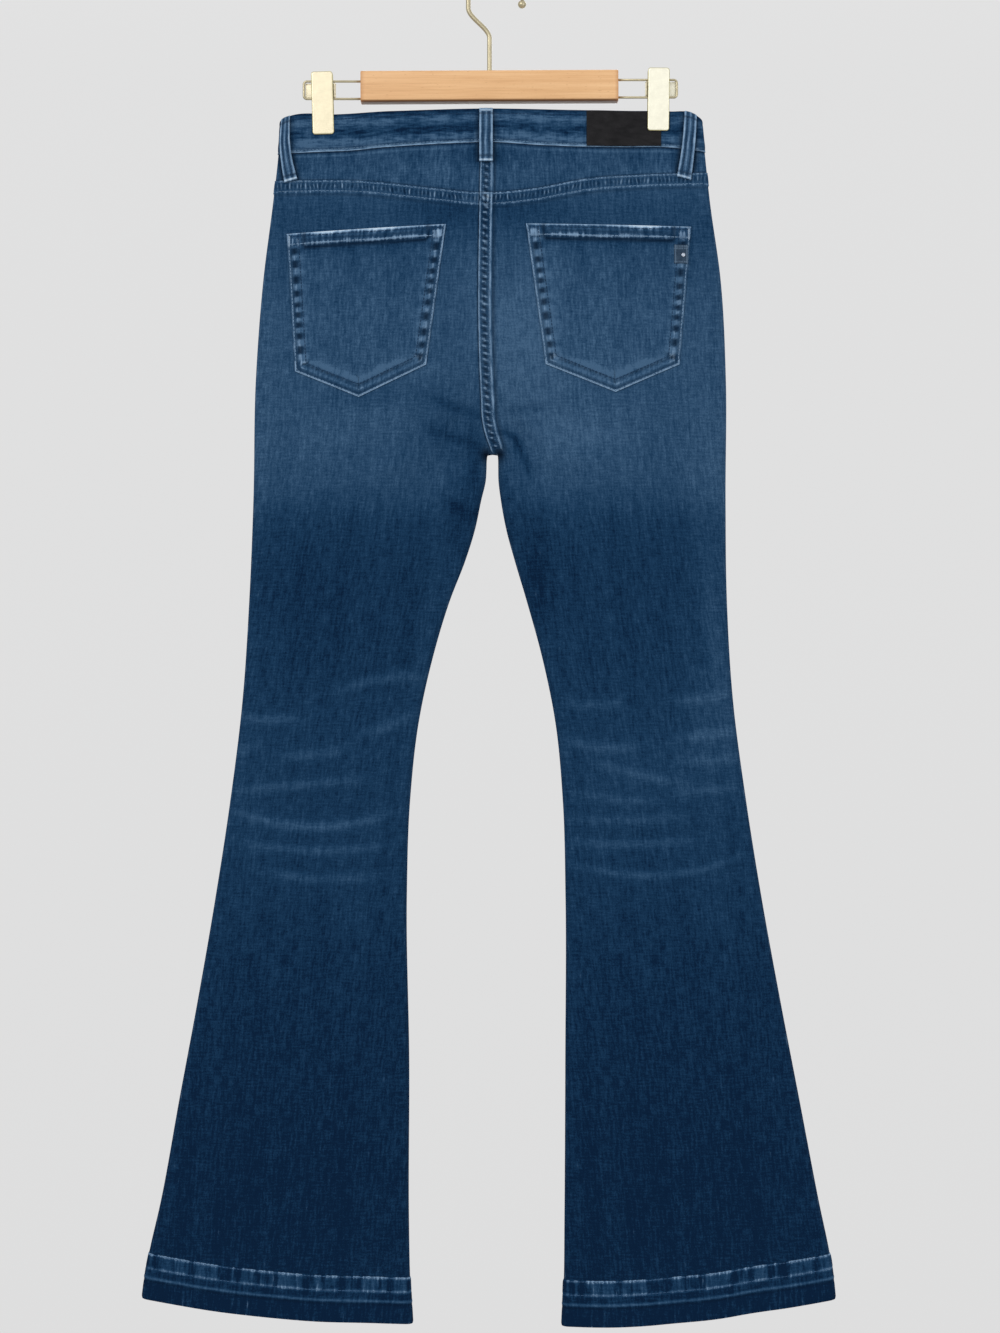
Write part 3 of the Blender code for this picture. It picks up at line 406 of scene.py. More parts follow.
def half_depth(side, face, x, z):
    """How far the cloth's outside stands from the middle plane."""
    outer = smooth(SIDE_EDGE, side, z)
    width = np.abs(inner_end(side, face, z) - outer)
    edge = smooth(DEPTHS, "edge", z)
    depth = smooth(DEPTHS, column_of(face), z)
    from_side = np.abs(x - outer)
    from_inseam = np.where(
        z < CROTCH_Z,
        np.abs(x - smooth(INSEAM_EDGE, side, z)),
        np.hypot(np.maximum(np.abs(x - CROTCH_X) - ARCH_HALF_WIDTH, 0), z - CROTCH_Z),
    )
    crown = 1 - CROWN_LOSS * eased((CROWN_HIGH - z) / (CROWN_HIGH - CROWN_LOW))
    roundness = rounded(from_side, edge) * rounded(from_inseam, edge) / edge
    bulge = crowned(from_side, crown * width) * crowned(from_inseam, 0.5 * width)
    clear = FOLD_CLEAR * edge
    clear_of_edge = rounded(from_side, clear) * rounded(from_inseam, clear) / clear**2
    free = roundness + (depth - edge) * bulge + folding(FOLDS[face], x, z) * clear_of_edge
    held = np.minimum(free, PINCH_DEPTH)
    amount = pinch(side, x, z)
    return free * (1 - amount) + held * amount


def on_cloth(side, face, x, z):
    """Points on the outside of the cloth."""
    x, z = np.broadcast_arrays(np.asarray(x, float), np.asarray(z, float))
    y = face * (GAP / 2 + half_depth(side, face, x, z))
    return np.stack([x, y, z], axis=-1)


print("depth of the seat:", on_cloth(LEFT, BACK, -0.1, -0.33).round(4))

# %% [markdown]
# Rows of points run across every panel. The top row follows one seam and the lowest another,
# and the rows between change over gradually. Level rows would be simpler, but then each seam
# would cut through them in steps.

# %% Rows that slant from the waist to the hem
TOP_SLANT_END, HEM_SLANT_START, LEG_END = -0.400, -0.950, -1.190
ROW_X = 0.1  # where a slanted row has the height that it is named by


def row_height(height, x, top, bottom):
    """Height of a row at x: the top row lies on one seam, the lowest on another."""
    start = top(ROW_X)
    at_top = eased((height - TOP_SLANT_END) / (start - TOP_SLANT_END))
    at_hem = eased((HEM_SLANT_START - height) / (HEM_SLANT_START - LEG_END))
    return height + at_top * (top(x) - start) + at_hem * (bottom(x) - LEG_END)


def dip(face, x):
    fall = FRONT_DIP * (1 - eased(np.abs(x) / FRONT_DIP_REACH))
    return fall if face == FRONT else 0 * fall


def waist_top(face, x):
    return smooth(WAIST_TOP, "z", x) - dip(face, x)


def band_seam(face, x):
    return smooth(BAND_SEAM, "z", x) - dip(face, x)


def yoke_seam(x):
    return smooth(YOKE_SEAM, "z", x)


def hem_top(x):
    return smooth(HEM_TOP, "z", x)


def inward(side):
    return 1 if side == LEFT else -1


def settled(edge, height_at, x):
    """x where a row meets an edge. The row's height there depends on x, so x is refined."""
    for _ in range(5):
        x = float(edge(height_at(x)))
    return x


def side_end(side, height_at):
    return settled(lambda z: smooth(SIDE_EDGE, side, z), height_at, CLIP_X[side])


def centre_end(side, face, height_at):
    def edge(z):
        half_gap = np.where(z < CROTCH_Z, 0.0, SLIT / 2)
        return inner_end(side, face, z) - inward(side) * half_gap

    return settled(edge, height_at, 0.0)


print("the hem's top at the left side seam:", round(float(hem_top(-0.31)), 4))

# %% [markdown]
# ## Washing, wear and painted shade
#
# Denim leaves the loom almost black-blue, and washing and rubbing bring the pale core of the yarn out
# where the cloth is strained: over the seat, at the knees, and along every ridge of a seam. We write
# this down as one number at each point, the fade: 0 is dark indigo and 1 the palest blue. The same
# number also carries painted shade, which lowers it beside the crotch, under edges and along creases. It
# runs down the leg by a table, and soft glows and curved streaks are added one by one. A painted image
# would fix it too, but numbers stay sharp at any size.

# %% Fade down the leg
Fade = namedtuple("Fade", "z back front")
FADE_DOWN = rows_of(
    Fade,
    (-0.12, 0.46, 0.46), (-0.168, 0.55, 0.5), (-0.186, 0.61, 0.5), (-0.206, 0.56, 0.5),
    (-0.226, 0.49, 0.52), (-0.264, 0.58, 0.58), (-0.301, 0.66, 0.66), (-0.34, 0.7, 0.72),
    (-0.39, 0.68, 0.73), (-0.432, 0.68, 0.72), (-0.46, 0.64, 0.68), (-0.48, 0.56, 0.6),
    (-0.503, 0.36, 0.48), (-0.531, 0.28, 0.4), (-0.6, 0.26, 0.34), (-0.669, 0.29, 0.34),
    (-0.715, 0.31, 0.36), (-0.807, 0.29, 0.33), (-0.853, 0.25, 0.27), (-0.899, 0.18, 0.2),
    (-0.945, 0.14, 0.15), (-1.037, 0.08, 0.09), (-1.16, 0.03, 0.04), (-1.245, 0.1, 0.1),
)
STREAK_RISE = 0.0018  # of relief, for a streak of amount 1
EDGE_FADE, EDGE_REACH = 0.07, 0.012  # both leg edges are rubbed a little paler
print("palest at the back:", max(row.back for row in FADE_DOWN))

# %% [markdown]
# Two kinds of mark are added to the table. Glows are soft patches: paler ones for the rubbed seat, and,
# below 0, painted shade where the cloth turns away beside the crotch and down the thighs, under the
# yoke, under the left pocket and beside the centre belt loop. Streaks are the creases of wear that
# sitting leaves behind the knees; those below 0 are painted shade along the creases that fan out from
# the crotch.

# %% Glows
Glow = namedtuple("Glow", "x z width height amount")
# Paler where the amount is above 0, and in shade where it is below.
GLOWS = {
    BACK: rows_of(
        Glow,
        (0.024, -0.325, 0.034, 0.08, 0.2), (-0.03, -0.345, 0.018, 0.036, -0.06),
        (-0.02, -0.272, 0.014, 0.026, 0.09), (0.06, -0.378, 0.05, 0.035, 0.07),
        (0.085, -0.428, 0.055, 0.032, 0.1), (-0.11, -0.418, 0.045, 0.018, 0.06),
        (-0.038, -0.424, 0.026, 0.034, -0.2), (-0.013, -0.44, 0.01, 0.034, -0.22),
        (-0.012, -0.466, 0.008, 0.024, -0.2), (0.011, -0.462, 0.006, 0.022, -0.16),
        (-0.024, -0.48, 0.018, 0.034, -0.2), (-0.105, -0.392, 0.04, 0.01, -0.1),
        (-0.036, -0.222, 0.034, 0.014, -0.22), (0.032, -0.222, 0.028, 0.014, -0.15),
        (0.043, -0.555, 0.014, 0.055, -0.2), (0.021, -0.484, 0.012, 0.04, -0.2),
        (0.023, -0.436, 0.01, 0.014, -0.14), (-0.004, -0.208, 0.012, 0.008, 0.16),
        (-0.017, -0.2118, 0.012, 0.004, 0.36), (-0.003, -0.19, 0.01, 0.006, 0.22),
        (0.0085, -0.172, 0.006, 0.01, -0.3), (-0.014, -0.17, 0.006, 0.012, -0.22),
        (-0.022, -0.52, 0.016, 0.035, -0.1), (-0.16, -0.58, 0.04, 0.07, -0.08),
        (0.212, -0.6, 0.034, 0.13, 0.2), (-0.036, -0.58, 0.014, 0.06, 0.08),
        (0.205, -0.7, 0.034, 0.04, 0.08), (0.135, -0.738, 0.05, 0.036, 0.09),
        (-0.225, -0.73, 0.02, 0.06, 0.06),
    ),
    FRONT: rows_of(
        Glow,
        (-0.12, -0.42, 0.06, 0.11, 0.14), (0.118, -0.43, 0.06, 0.11, 0.14),
        (-0.15, -0.72, 0.048, 0.07, 0.15), (0.148, -0.73, 0.048, 0.07, 0.14),
        (-0.018, -0.44, 0.018, 0.03, -0.18), (0.02, -0.44, 0.018, 0.03, -0.16),
        (-0.205, -0.42, 0.018, 0.12, -0.1), (0.205, -0.43, 0.018, 0.12, -0.1),
    ),
}
print("glows:", sum(map(len, GLOWS.values())))

# %% Streaks
Streak = namedtuple("Streak", "x z half_length tilt sag width amount")
# The sag lifts the ends, so that a streak smiles, or frowns if it is below 0.
STREAKS = {
    BACK: rows_of(
        Streak,
        (-0.0998, -0.65, 0.043, 9, -0.005, 0.0046, 0.28),
        (-0.2019, -0.6868, 0.028, 0, 0.001, 0.0042, 0.32),
        (-0.0943, -0.6928, 0.026, 19, 0.002, 0.0048, 0.29),
        (-0.1615, -0.7185, 0.03, 7, 0.001, 0.0046, 0.28), (-0.22, -0.713, 0.014, 4, 0.001, 0.004, 0.16),
        (-0.1753, -0.747, 0.058, 5, 0.001, 0.0042, 0.28),
        (-0.1651, -0.785, 0.074, -2, 0.014, 0.0044, 0.39),
        (-0.1596, -0.8065, 0.068, -1, 0.006, 0.004, 0.28),
        (-0.1578, -0.832, 0.048, -3, 0.004, 0.0044, 0.28),
        (0.0961, -0.6734, 0.025, 0, 0.001, 0.0048, 0.25),
        (0.1964, -0.6679, 0.025, 9, 0.001, 0.0048, 0.25),
        (0.1017, -0.7125, 0.034, -5, 0.004, 0.0044, 0.3), (0.201, -0.701, 0.026, 7, 0.001, 0.005, 0.28),
        (0.1366, -0.737, 0.038, -14, 0.002, 0.0044, 0.28),
        (0.2029, -0.7245, 0.026, 3, 0.001, 0.0042, 0.25), (0.196, -0.752, 0.028, 4, 0.001, 0.004, 0.26),
        (0.118, -0.76, 0.034, -5, 0.002, 0.004, 0.23), (0.129, -0.779, 0.05, 2, 0.003, 0.0044, 0.23),
        (0.1311, -0.8005, 0.06, 1, 0.003, 0.004, 0.28), (0.1523, -0.829, 0.08, 2, 0.014, 0.0036, 0.31),
        (-0.032, -0.401, 0.027, -21, 0.001, 0.0048, -0.26),
        (-0.034, -0.429, 0.026, -16, 0.001, 0.0044, -0.24),
        (-0.025, -0.494, 0.022, -24, 0.001, 0.006, -0.2),
        (0.018, -0.4255, 0.012, -20, -0.003, 0.0034, -0.34),
        (0.0305, -0.444, 0.02, -64, -0.002, 0.0036, -0.4), (0.031, -0.404, 0.02, 6, 0.001, 0.005, -0.18),
        (0.095, -0.423, 0.04, -14, 0.002, 0.007, 0.08), (-0.06, -0.37, 0.02, 34, 0.001, 0.0044, 0.07),
    ),
    FRONT: rows_of(
        Streak,
        (-0.113, -0.652, 0.04, -10, 0.004, 0.0044, 0.25), (-0.18, -0.684, 0.038, 8, 0.003, 0.0044, 0.25),
        (-0.14, -0.715, 0.052, -3, 0.006, 0.004, 0.3), (-0.165, -0.748, 0.06, 4, 0.01, 0.0046, 0.31),
        (-0.135, -0.78, 0.048, -5, 0.006, 0.0042, 0.28), (-0.17, -0.816, 0.05, 3, 0.008, 0.0042, 0.24),
        (0.11, -0.66, 0.036, 9, 0.003, 0.0044, 0.24), (0.178, -0.693, 0.04, -8, 0.004, 0.0042, 0.25),
        (0.138, -0.726, 0.054, 3, 0.008, 0.0044, 0.3), (0.16, -0.76, 0.058, -3, 0.01, 0.0042, 0.3),
        (0.13, -0.792, 0.046, 6, 0.005, 0.0044, 0.25), (0.168, -0.824, 0.048, -2, 0.007, 0.004, 0.22),
        (-0.062, -0.39, 0.036, 26, 0.002, 0.0046, 0.2), (-0.076, -0.42, 0.044, 18, 0.003, 0.0044, 0.18),
        (-0.08, -0.452, 0.046, 9, 0.003, 0.005, 0.15), (0.064, -0.394, 0.036, -25, 0.002, 0.0044, 0.2),
        (0.078, -0.426, 0.044, -16, 0.003, 0.0046, 0.18), (0.082, -0.458, 0.046, -8, 0.003, 0.005, 0.15),
    ),
}
print("streaks:", sum(map(len, STREAKS.values())))

# %% Fade and painted shade at a point
def streaked(face, x, z):
    """The sum of the streaks at each point."""
    total = np.zeros(np.broadcast(x, z).shape)
    for streak in STREAKS[face]:
        along, across = slanted(streak, streak.tilt, x, z)
        share = along / streak.half_length
        across = across - streak.sag * share**2
        total += streak.amount * np.exp(-((across / streak.width) ** 2) - share**4)
    return total


def faded_and_shaded(side, face, x, z):
    """How far the indigo is washed out at each point, from 0 to 1, lowered by painted shade where glows
    and streaks are below 0.
    """
    amount = smooth(FADE_DOWN, column_of(face), z) + streaked(face, x, z)
    for glow in GLOWS[face]:
        reach = ((x - glow.x) / glow.width) ** 2 + ((z - glow.z) / glow.height) ** 2
        amount = amount + glow.amount * np.exp(-reach)
    from_edge = np.minimum(
        np.abs(x - smooth(SIDE_EDGE, side, z)),
        np.where(z < CROTCH_Z, np.abs(x - smooth(INSEAM_EDGE, side, z)), 1.0),
    )
    return amount + EDGE_FADE * np.exp(-from_edge / EDGE_REACH)


print("fade at the seat and the shin:", faded_and_shaded(LEFT, BACK, -0.1, np.array([-0.36, -1.0])).round(2))

# %% [markdown]
# ## A shell of cloth
#
# A piece of cloth is a closed wall: a fine grid outside that carries the relief of the seams,
# and a coarser grid inside, joined round the rim. A Solidify modifier would make the wall too,
# but it doubles the fine grid where nobody looks.
#
# The grid's points also carry what the material needs, as named attributes: the fade, which holds the
# washing of the dye and also painted shade, the wear of edges, the dark mark, which is painted shade in
# grooves, hollows and under raised edges, how puckered the cloth is, and two directions, along the yarn
# and along the nearest seam.

# %% A grid of cloth
MARKS = ("fade", "wear", "dark", "pucker")


def normals_of(sheet, closed):
    """Unit normals at a grid's points, each from the quads round it, facing out."""
    around = sheet
    if closed:
        around = np.concatenate([sheet[:, -1:], sheet, sheet[:, :1]], axis=1)
    down = around[1:, :, :] - around[:-1, :, :]
    across = around[:, 1:, :] - around[:, :-1, :]
    quads = np.cross((across[1:] + across[:-1]) / 2, (down[:, 1:] + down[:, :-1]) / 2)
    padded = np.pad(quads, ((1, 1), (1, 1), (0, 0)))
    sums = padded[1:, 1:] + padded[:-1, 1:] + padded[1:, :-1] + padded[:-1, :-1]
    if closed:
        sums = sums[:, 1:-1]
    sums[np.abs(sheet[..., 1]) < GAP, 1] = 0.0  # pieces meet face to face in the middle plane
    normals = sums / np.linalg.norm(sums, axis=-1, keepdims=True)
    outward = sheet - sheet.mean(axis=1, keepdims=True)
    outward[..., 1] = sheet[..., 1]
    return normals if (normals * outward).sum() > 0 else -normals


class Cloth:
    """A grid of points on the cloth, with the relief and the marks of its seams."""

    def __init__(self, rows, closed=False):
        self.sheet, self.closed = np.array(rows), closed
        self.x, self.z = self.sheet[..., 0], self.sheet[..., 2]
        self.normals = normals_of(self.sheet, closed)
        self.rise = np.zeros(self.x.shape)
        self.marks = {name: np.zeros(self.x.shape) for name in MARKS}
        self.seam = np.stack([self.x, self.z], axis=-1)

    def fade(self, amount):
        """Washes the dye out by this much more, or paints shade where the amount is below 0."""
        self.marks["fade"] += amount

    def mark(self, name, amount):
        """Adds wear, the dark mark of painted shade, or pucker, and keeps what is there if it is more.
        """
        self.marks[name] = np.maximum(self.marks[name], amount)

    def pucker(self, amount, along, across):
        """Puckers the cloth, across the way that a seam runs."""
        here = amount > self.marks["pucker"]
        self.seam[here] = np.stack(np.broadcast_arrays(along, across), axis=-1)[here]
        self.mark("pucker", amount)

    def away_from(self, x, z, height=1.0):
        """How far each point is from a place, with its height counted more or less."""
        return np.hypot(self.x - x, height * (self.z - z))


print("marks of a cloth:", MARKS)

# %% Faces of a shell
INNER_STEP = 4  # the inside keeps every fourth row and column


def picked(count):
    return np.array([*range(0, count - 1, INNER_STEP), count - 1])


def rim_faces(outer, inner, picks):
    """Faces that join one edge of the outer grid to the coarser edge of the inner one."""
    steps = range(len(picks) - 1)
    return [[*outer[picks[k] : picks[k + 1] + 1], inner[k + 1], inner[k]] for k in steps]


def turned_over(faces):
    return [face[::-1] for face in faces]


def quads_of(grid):
    corners = (grid[:-1, :-1], grid[:-1, 1:], grid[1:, 1:], grid[1:, :-1])
    return np.stack(corners, axis=-1).reshape(-1, 4).tolist()


def shell_faces(rows, columns, row_picks, column_picks, closed):
    """Faces of the outer grid, of the inner grid turned over, and of the rim."""
    outer = np.arange(rows * columns).reshape(rows, columns)
    inner = outer.size + np.arange(len(row_picks) * len(column_picks))
    inner = inner.reshape(len(row_picks), len(column_picks))
    if closed:
        outer = np.concatenate([outer, outer[:, :1]], axis=1)
        inner = np.concatenate([inner, inner[:, :1]], axis=1)
        column_picks = np.append(column_picks, columns)
    rim = turned_over(rim_faces(outer[0], inner[0], column_picks))
    rim += rim_faces(outer[-1], inner[-1], column_picks)
    if not closed:
        rim += rim_faces(outer[:, 0], inner[:, 0], row_picks)
        rim += turned_over(rim_faces(outer[:, -1], inner[:, -1], row_picks))
    return quads_of(outer), turned_over(quads_of(inner)), rim


print("rows kept inside, of ten:", picked(10))

# %% The cut of a piece
CUTS = {}  # each piece's width, length and area


def run_length(points, axis):
    """The longest way over a grid, along its rows or down its columns."""
    return float(np.linalg.norm(np.diff(points, axis=axis), axis=-1).sum(axis=axis).max())


def cut_size(cloth):
    """The width, length and area that a piece is cut to, all round if it is a tube."""
    sheet = cloth.sheet
    if cloth.closed:
        sheet = np.concatenate([sheet, sheet[:, :1]], axis=1)
    one, two = sheet[1:, 1:] - sheet[:-1, :-1], sheet[1:, :-1] - sheet[:-1, 1:]
    area = float(np.linalg.norm(np.cross(one, two), axis=-1).sum() / 2)
    width, length = run_length(sheet, 1), run_length(sheet, 0)
    return width, length, min(area, width * length)


GrainLine = namedtuple("GrainLine", "z left right")
GRAIN_LINE = rows_of(  # x of the yarn that runs down the middle of a leg
    GrainLine,
    (-0.12, -0.1, 0.1), (-0.45, -0.112, 0.115), (-0.8, -0.16, 0.157), (-1.25, -0.199, 0.196),
)


def rolled_out(cloth):
    """Width along the cloth from the middle of each row, which keeps the yarns' spacing where
    the cloth turns away to the side."""
    steps = np.linalg.norm(np.diff(cloth.sheet[..., :2], axis=1), axis=-1)
    along = np.pad(np.cumsum(steps, axis=1), ((0, 0), (1, 0)))
    middle = slice(along.shape[1] // 2, along.shape[1] // 2 + 1)
    way = np.sign(cloth.x[:, -1:] - cloth.x[:, :1])
    return cloth.x[:, middle] + way * (along - along[:, middle])


def down_the_leg(side, cloth, shift=0.0):
    """Yarn directions of a piece whose warp runs down the leg."""
    across = cloth.x if cloth.closed else rolled_out(cloth)
    return np.stack([across - smooth(GRAIN_LINE, side, cloth.z) + shift, cloth.z], axis=-1)


print("the grain line at the knee:", round(float(smooth(GRAIN_LINE, LEFT, -0.74)), 4))

# %% Making a shell
DEEPEST = 0.6  # of the wall: no groove goes deeper
CLOTH_CORNER = math.radians(50)  # sharper corners than this are shaded as edges
SHELLS = {}  # each finished piece's name, with its tree of faces for finding its surface


def put_attribute(mesh, name, values):
    kind, field = ("FLOAT", "value") if values.ndim == 1 else ("FLOAT_VECTOR", "vector")
    attribute = mesh.attributes.new(name, kind, "POINT")
    attribute.data.foreach_set(field, values.astype(np.float32).ravel())


def new_object(name, mesh, materials, slot, *nodes):
    """Puts a mesh in the scene as a piece that stands for these nodes."""
    for finish in materials:
        mesh.materials.append(finish)
    obj = placed(name, mesh)
    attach(obj, "root")
    if nodes:
        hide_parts(*nodes)
    return obj


def remember(name, mesh):
    points = [vertex.co for vertex in mesh.vertices]
    SHELLS[name] = BVHTree.FromPolygons(points, [face.vertices for face in mesh.polygons])


def make_shell(name, node, cloth, wall, lift, outside_finish, slot, grain, inside_finish=None):
    """A closed wall of cloth. Its outside stands off the surface by lift and by the relief."""
    plain = cloth.sheet + cloth.normals * lift
    rise = np.maximum(cloth.rise, -DEEPEST * wall)
    outer = plain + cloth.normals * rise[..., None]
    rows, columns = outer.shape[:2]
    row_picks = picked(rows)
    column_picks = np.arange(0, columns, INNER_STEP) if cloth.closed else picked(columns)
    chosen = np.ix_(row_picks, column_picks)
    inner = (plain - cloth.normals * wall)[chosen]
    outside, inside, rim = shell_faces(rows, columns, row_picks, column_picks, cloth.closed)
    i, j = rows // 2, columns // 2
    over, down = outer[i, j + 1] - outer[i, j], outer[i + 1, j] - outer[i, j]
    faces = outside + inside + rim
    if np.dot(np.cross(over, down), cloth.normals[i, j]) < 0:
        faces = turned_over(faces)
    mesh = bpy.data.meshes.new(name)
    points = np.concatenate([outer.reshape(-1, 3), inner.reshape(-1, 3)])
    mesh.from_pydata(points.tolist(), [], faces)
    slots = np.zeros(len(faces), np.int32)
    slots[len(outside) : len(outside) + len(inside)] = 1
    mesh.polygons.foreach_set("material_index", slots)
    for mark, values in cloth.marks.items():
        put_attribute(mesh, mark, np.concatenate([values.ravel(), values[chosen].ravel()]))
    for mark, values in (("grain", grain), ("seam", cloth.seam)):
        values = np.concatenate([values, np.zeros_like(values[..., :1])], axis=-1)
        flat = np.concatenate([values.reshape(-1, 3), values[chosen].reshape(-1, 3)])
        put_attribute(mesh, mark, flat)
    mesh.shade_smooth()
    mesh.set_sharp_from_angle(angle=CLOTH_CORNER)
    new_object(name, mesh, [outside_finish, inside_finish or DENIM_INSIDE], slot, node)
    remember(name, mesh)
    CUTS[name] = cut_size(cloth)
    print(name, "triangles:", sum(len(face) - 2 for face in faces))


print("grooves go no deeper than", DEEPEST, "of the wall")

# %% [markdown]
# ## Denim
#
# Denim is a twill: indigo warp yarns float over white weft yarns in fine diagonals. Real yarn
# is uneven, and its thick stretches, the slubs, show as short pale streaks down the leg. The
# material adds six noises along the yarn directions to the fade, at their real sizes, and
# looks the sum up in a row of blues. Seams pucker when the cloth shrinks more than the thread,
# which another noise draws across the seam, as colour and as relief.

# %% Material helpers
BANDS_PER_SCALE = 0.314  # a wave texture of scale 0.314 has one band in each metre


class Finish:
    """A material, and short ways to add nodes to it."""

    def __init__(self, name, roughness, specular=0.3, metallic=0.0):
        self.material = bpy.data.materials.new(name)
        self.material.use_nodes = True
        self.tree = self.material.node_tree
        self.shader = self.tree.nodes["Principled BSDF"]
        self.shader.inputs["Roughness"].default_value = roughness
        self.shader.inputs["Specular IOR Level"].default_value = specular
        self.shader.inputs["Metallic"].default_value = metallic

    def node(self, kind, inputs, output=0, **settings):
        made = self.tree.nodes.new(kind)
        for key, value in settings.items():
            setattr(made, key, value)
        for key, value in inputs.items():
            self.feed(made.inputs[key], value)
        return made.outputs[output]

    def feed(self, socket, value):
        if isinstance(value, bpy.types.NodeSocket):
            self.tree.links.new(value, socket)
        else:
            socket.default_value = value

    def attribute(self, name, output="Fac"):
        return self.node("ShaderNodeAttribute", {}, output, attribute_name=name)

    def place(self):
        return self.node("ShaderNodeTexCoord", {}, "Object")

    def facing(self):
        return self.node("ShaderNodeNewGeometry", {}, "Normal")

    def part(self, vector, axis):
        return self.node("ShaderNodeSeparateXYZ", {"Vector": vector}, axis)

    def stretched(self, vector, scale, shift=(0, 0, 0)):
        inputs = {"Vector": vector, "Scale": scale, "Location": shift}
        return self.node("ShaderNodeMapping", inputs, "Vector")

    def noise(self, vector, scale, detail=2.0, shift=(0, 0, 0)):
        """Noise about 0, with cells of 1/scale along each direction."""
        inputs = {"Vector": self.stretched(vector, scale, shift), "Scale": 1.0, "Detail": detail}
        return self.math("SUBTRACT", self.node("ShaderNodeTexNoise", inputs), 0.5)

    def bands(self, vector, pitch, direction, distortion, detail=2.0):
        """Light and dark bands across a direction, this far apart."""
        scale = BANDS_PER_SCALE / pitch
        inputs = {"Vector": vector, "Scale": scale, "Distortion": distortion, "Detail": detail}
        return self.node("ShaderNodeTexWave", inputs, "Fac", bands_direction=direction)

    def math(self, operation, first, second=0.0, third=0.0):
        inputs = {0: first, 1: second, 2: third}
        return self.node("ShaderNodeMath", inputs, operation=operation)

    def plus(self, total, *terms):
        """The total, plus each (value, amount) pair."""
        for value, amount in terms:
            total = self.math("MULTIPLY_ADD", value, amount, total)
        return total

    def ramp(self, fac, stops):
        made = self.tree.nodes.new("ShaderNodeValToRGB")
        while len(made.color_ramp.elements) < len(stops):
            made.color_ramp.elements.new(0.5)
        for element, (position, colour) in zip(made.color_ramp.elements, stops):
            element.position = position
            element.color = (*colour, 1)
        self.feed(made.inputs[0], fac)
        return made.outputs["Color"]

    def between(self, low, high, value):
        """0 where the value is at the low end and 1 at the high one."""
        inputs = {"Value": value, "From Min": low, "From Max": high}
        return self.node("ShaderNodeMapRange", inputs, interpolation_type="SMOOTHSTEP")

    def mix(self, fac, first, second):
        inputs = {0: fac, 6: first, 7: second}  # the sockets that a mix of colours uses
        return self.node("ShaderNodeMix", inputs, 2, data_type="RGBA")

    def colour(self, value):
        self.feed(self.shader.inputs["Base Color"], value)

    def bump(self, height, distance):
        inputs = {"Height": height, "Distance": distance, "Strength": 1.0}
        self.feed(self.shader.inputs["Normal"], self.node("ShaderNodeBump", inputs, "Normal"))


def shown_as(red, green, blue):
    """The linear colour of a display colour, each part from 0 to 255."""
    parts = [part / 255 for part in (red, green, blue)]
    return tuple(p / 12.92 if p < 0.04045 else ((p + 0.055) / 1.055) ** 2.4 for p in parts)


print("mid blue:", [round(part, 3) for part in shown_as(46, 75, 104)])

# %% Blues and yarns
BLUES = (
    (0.00, shown_as(7, 29, 54)),
    (0.15, shown_as(13, 40, 67)),
    (0.40, shown_as(23, 53, 82)),
    (0.65, shown_as(38, 67, 96)),
    (0.85, shown_as(51, 80, 109)),
    (1.00, shown_as(62, 91, 120)),
)
# PALE and PALEST are the colours of worn yarn. The third colour is painted shade, which the dark mark
# mixes in.
PALE, PALEST, PAINTED_SHADE_BLUE = shown_as(118, 146, 174), shown_as(176, 196, 214), shown_as(5, 18, 36)
WORN_PALE, WORN_WHITE = (0.25, 0.85), (0.80, 1.35)  # the wear where each of them sets in and ends
TWILL = 0.0006  # metres from one diagonal to the next
COMB = 0.0037  # from one pucker to the next along a row of stitches
Yarn = namedtuple("Yarn", "cells detail shift amount")
# Cells in each metre across the leg and down it, and how much each noise adds to the fade.
SLUBS = Yarn((470, 80, 1), 3, (0, 0, 0), 0.76)
RUNS = Yarn((290, 17, 1), 2, (5, 1, 0), 0.28)
WEFT = Yarn((95, 560, 1), 2, (7, 3, 0), 0.50)
THREADS = Yarn((760, 640, 1), 1, (1, 9, 0), 0.56)
STRIPES = Yarn((75, 3.0, 1), 1, (3, 5, 0), 0.24)
CLOUDS = Yarn((46, 34, 1), 3, (11, 2, 0), 0.16)
ROPES = Yarn((270, 42, 1), 1.5, (2, 8, 0), 0.9)
print("slubs are", round(1000 / SLUBS.cells[1], 1), "mm long")

# %% Denim material
DENIM_BUMP = 0.0007


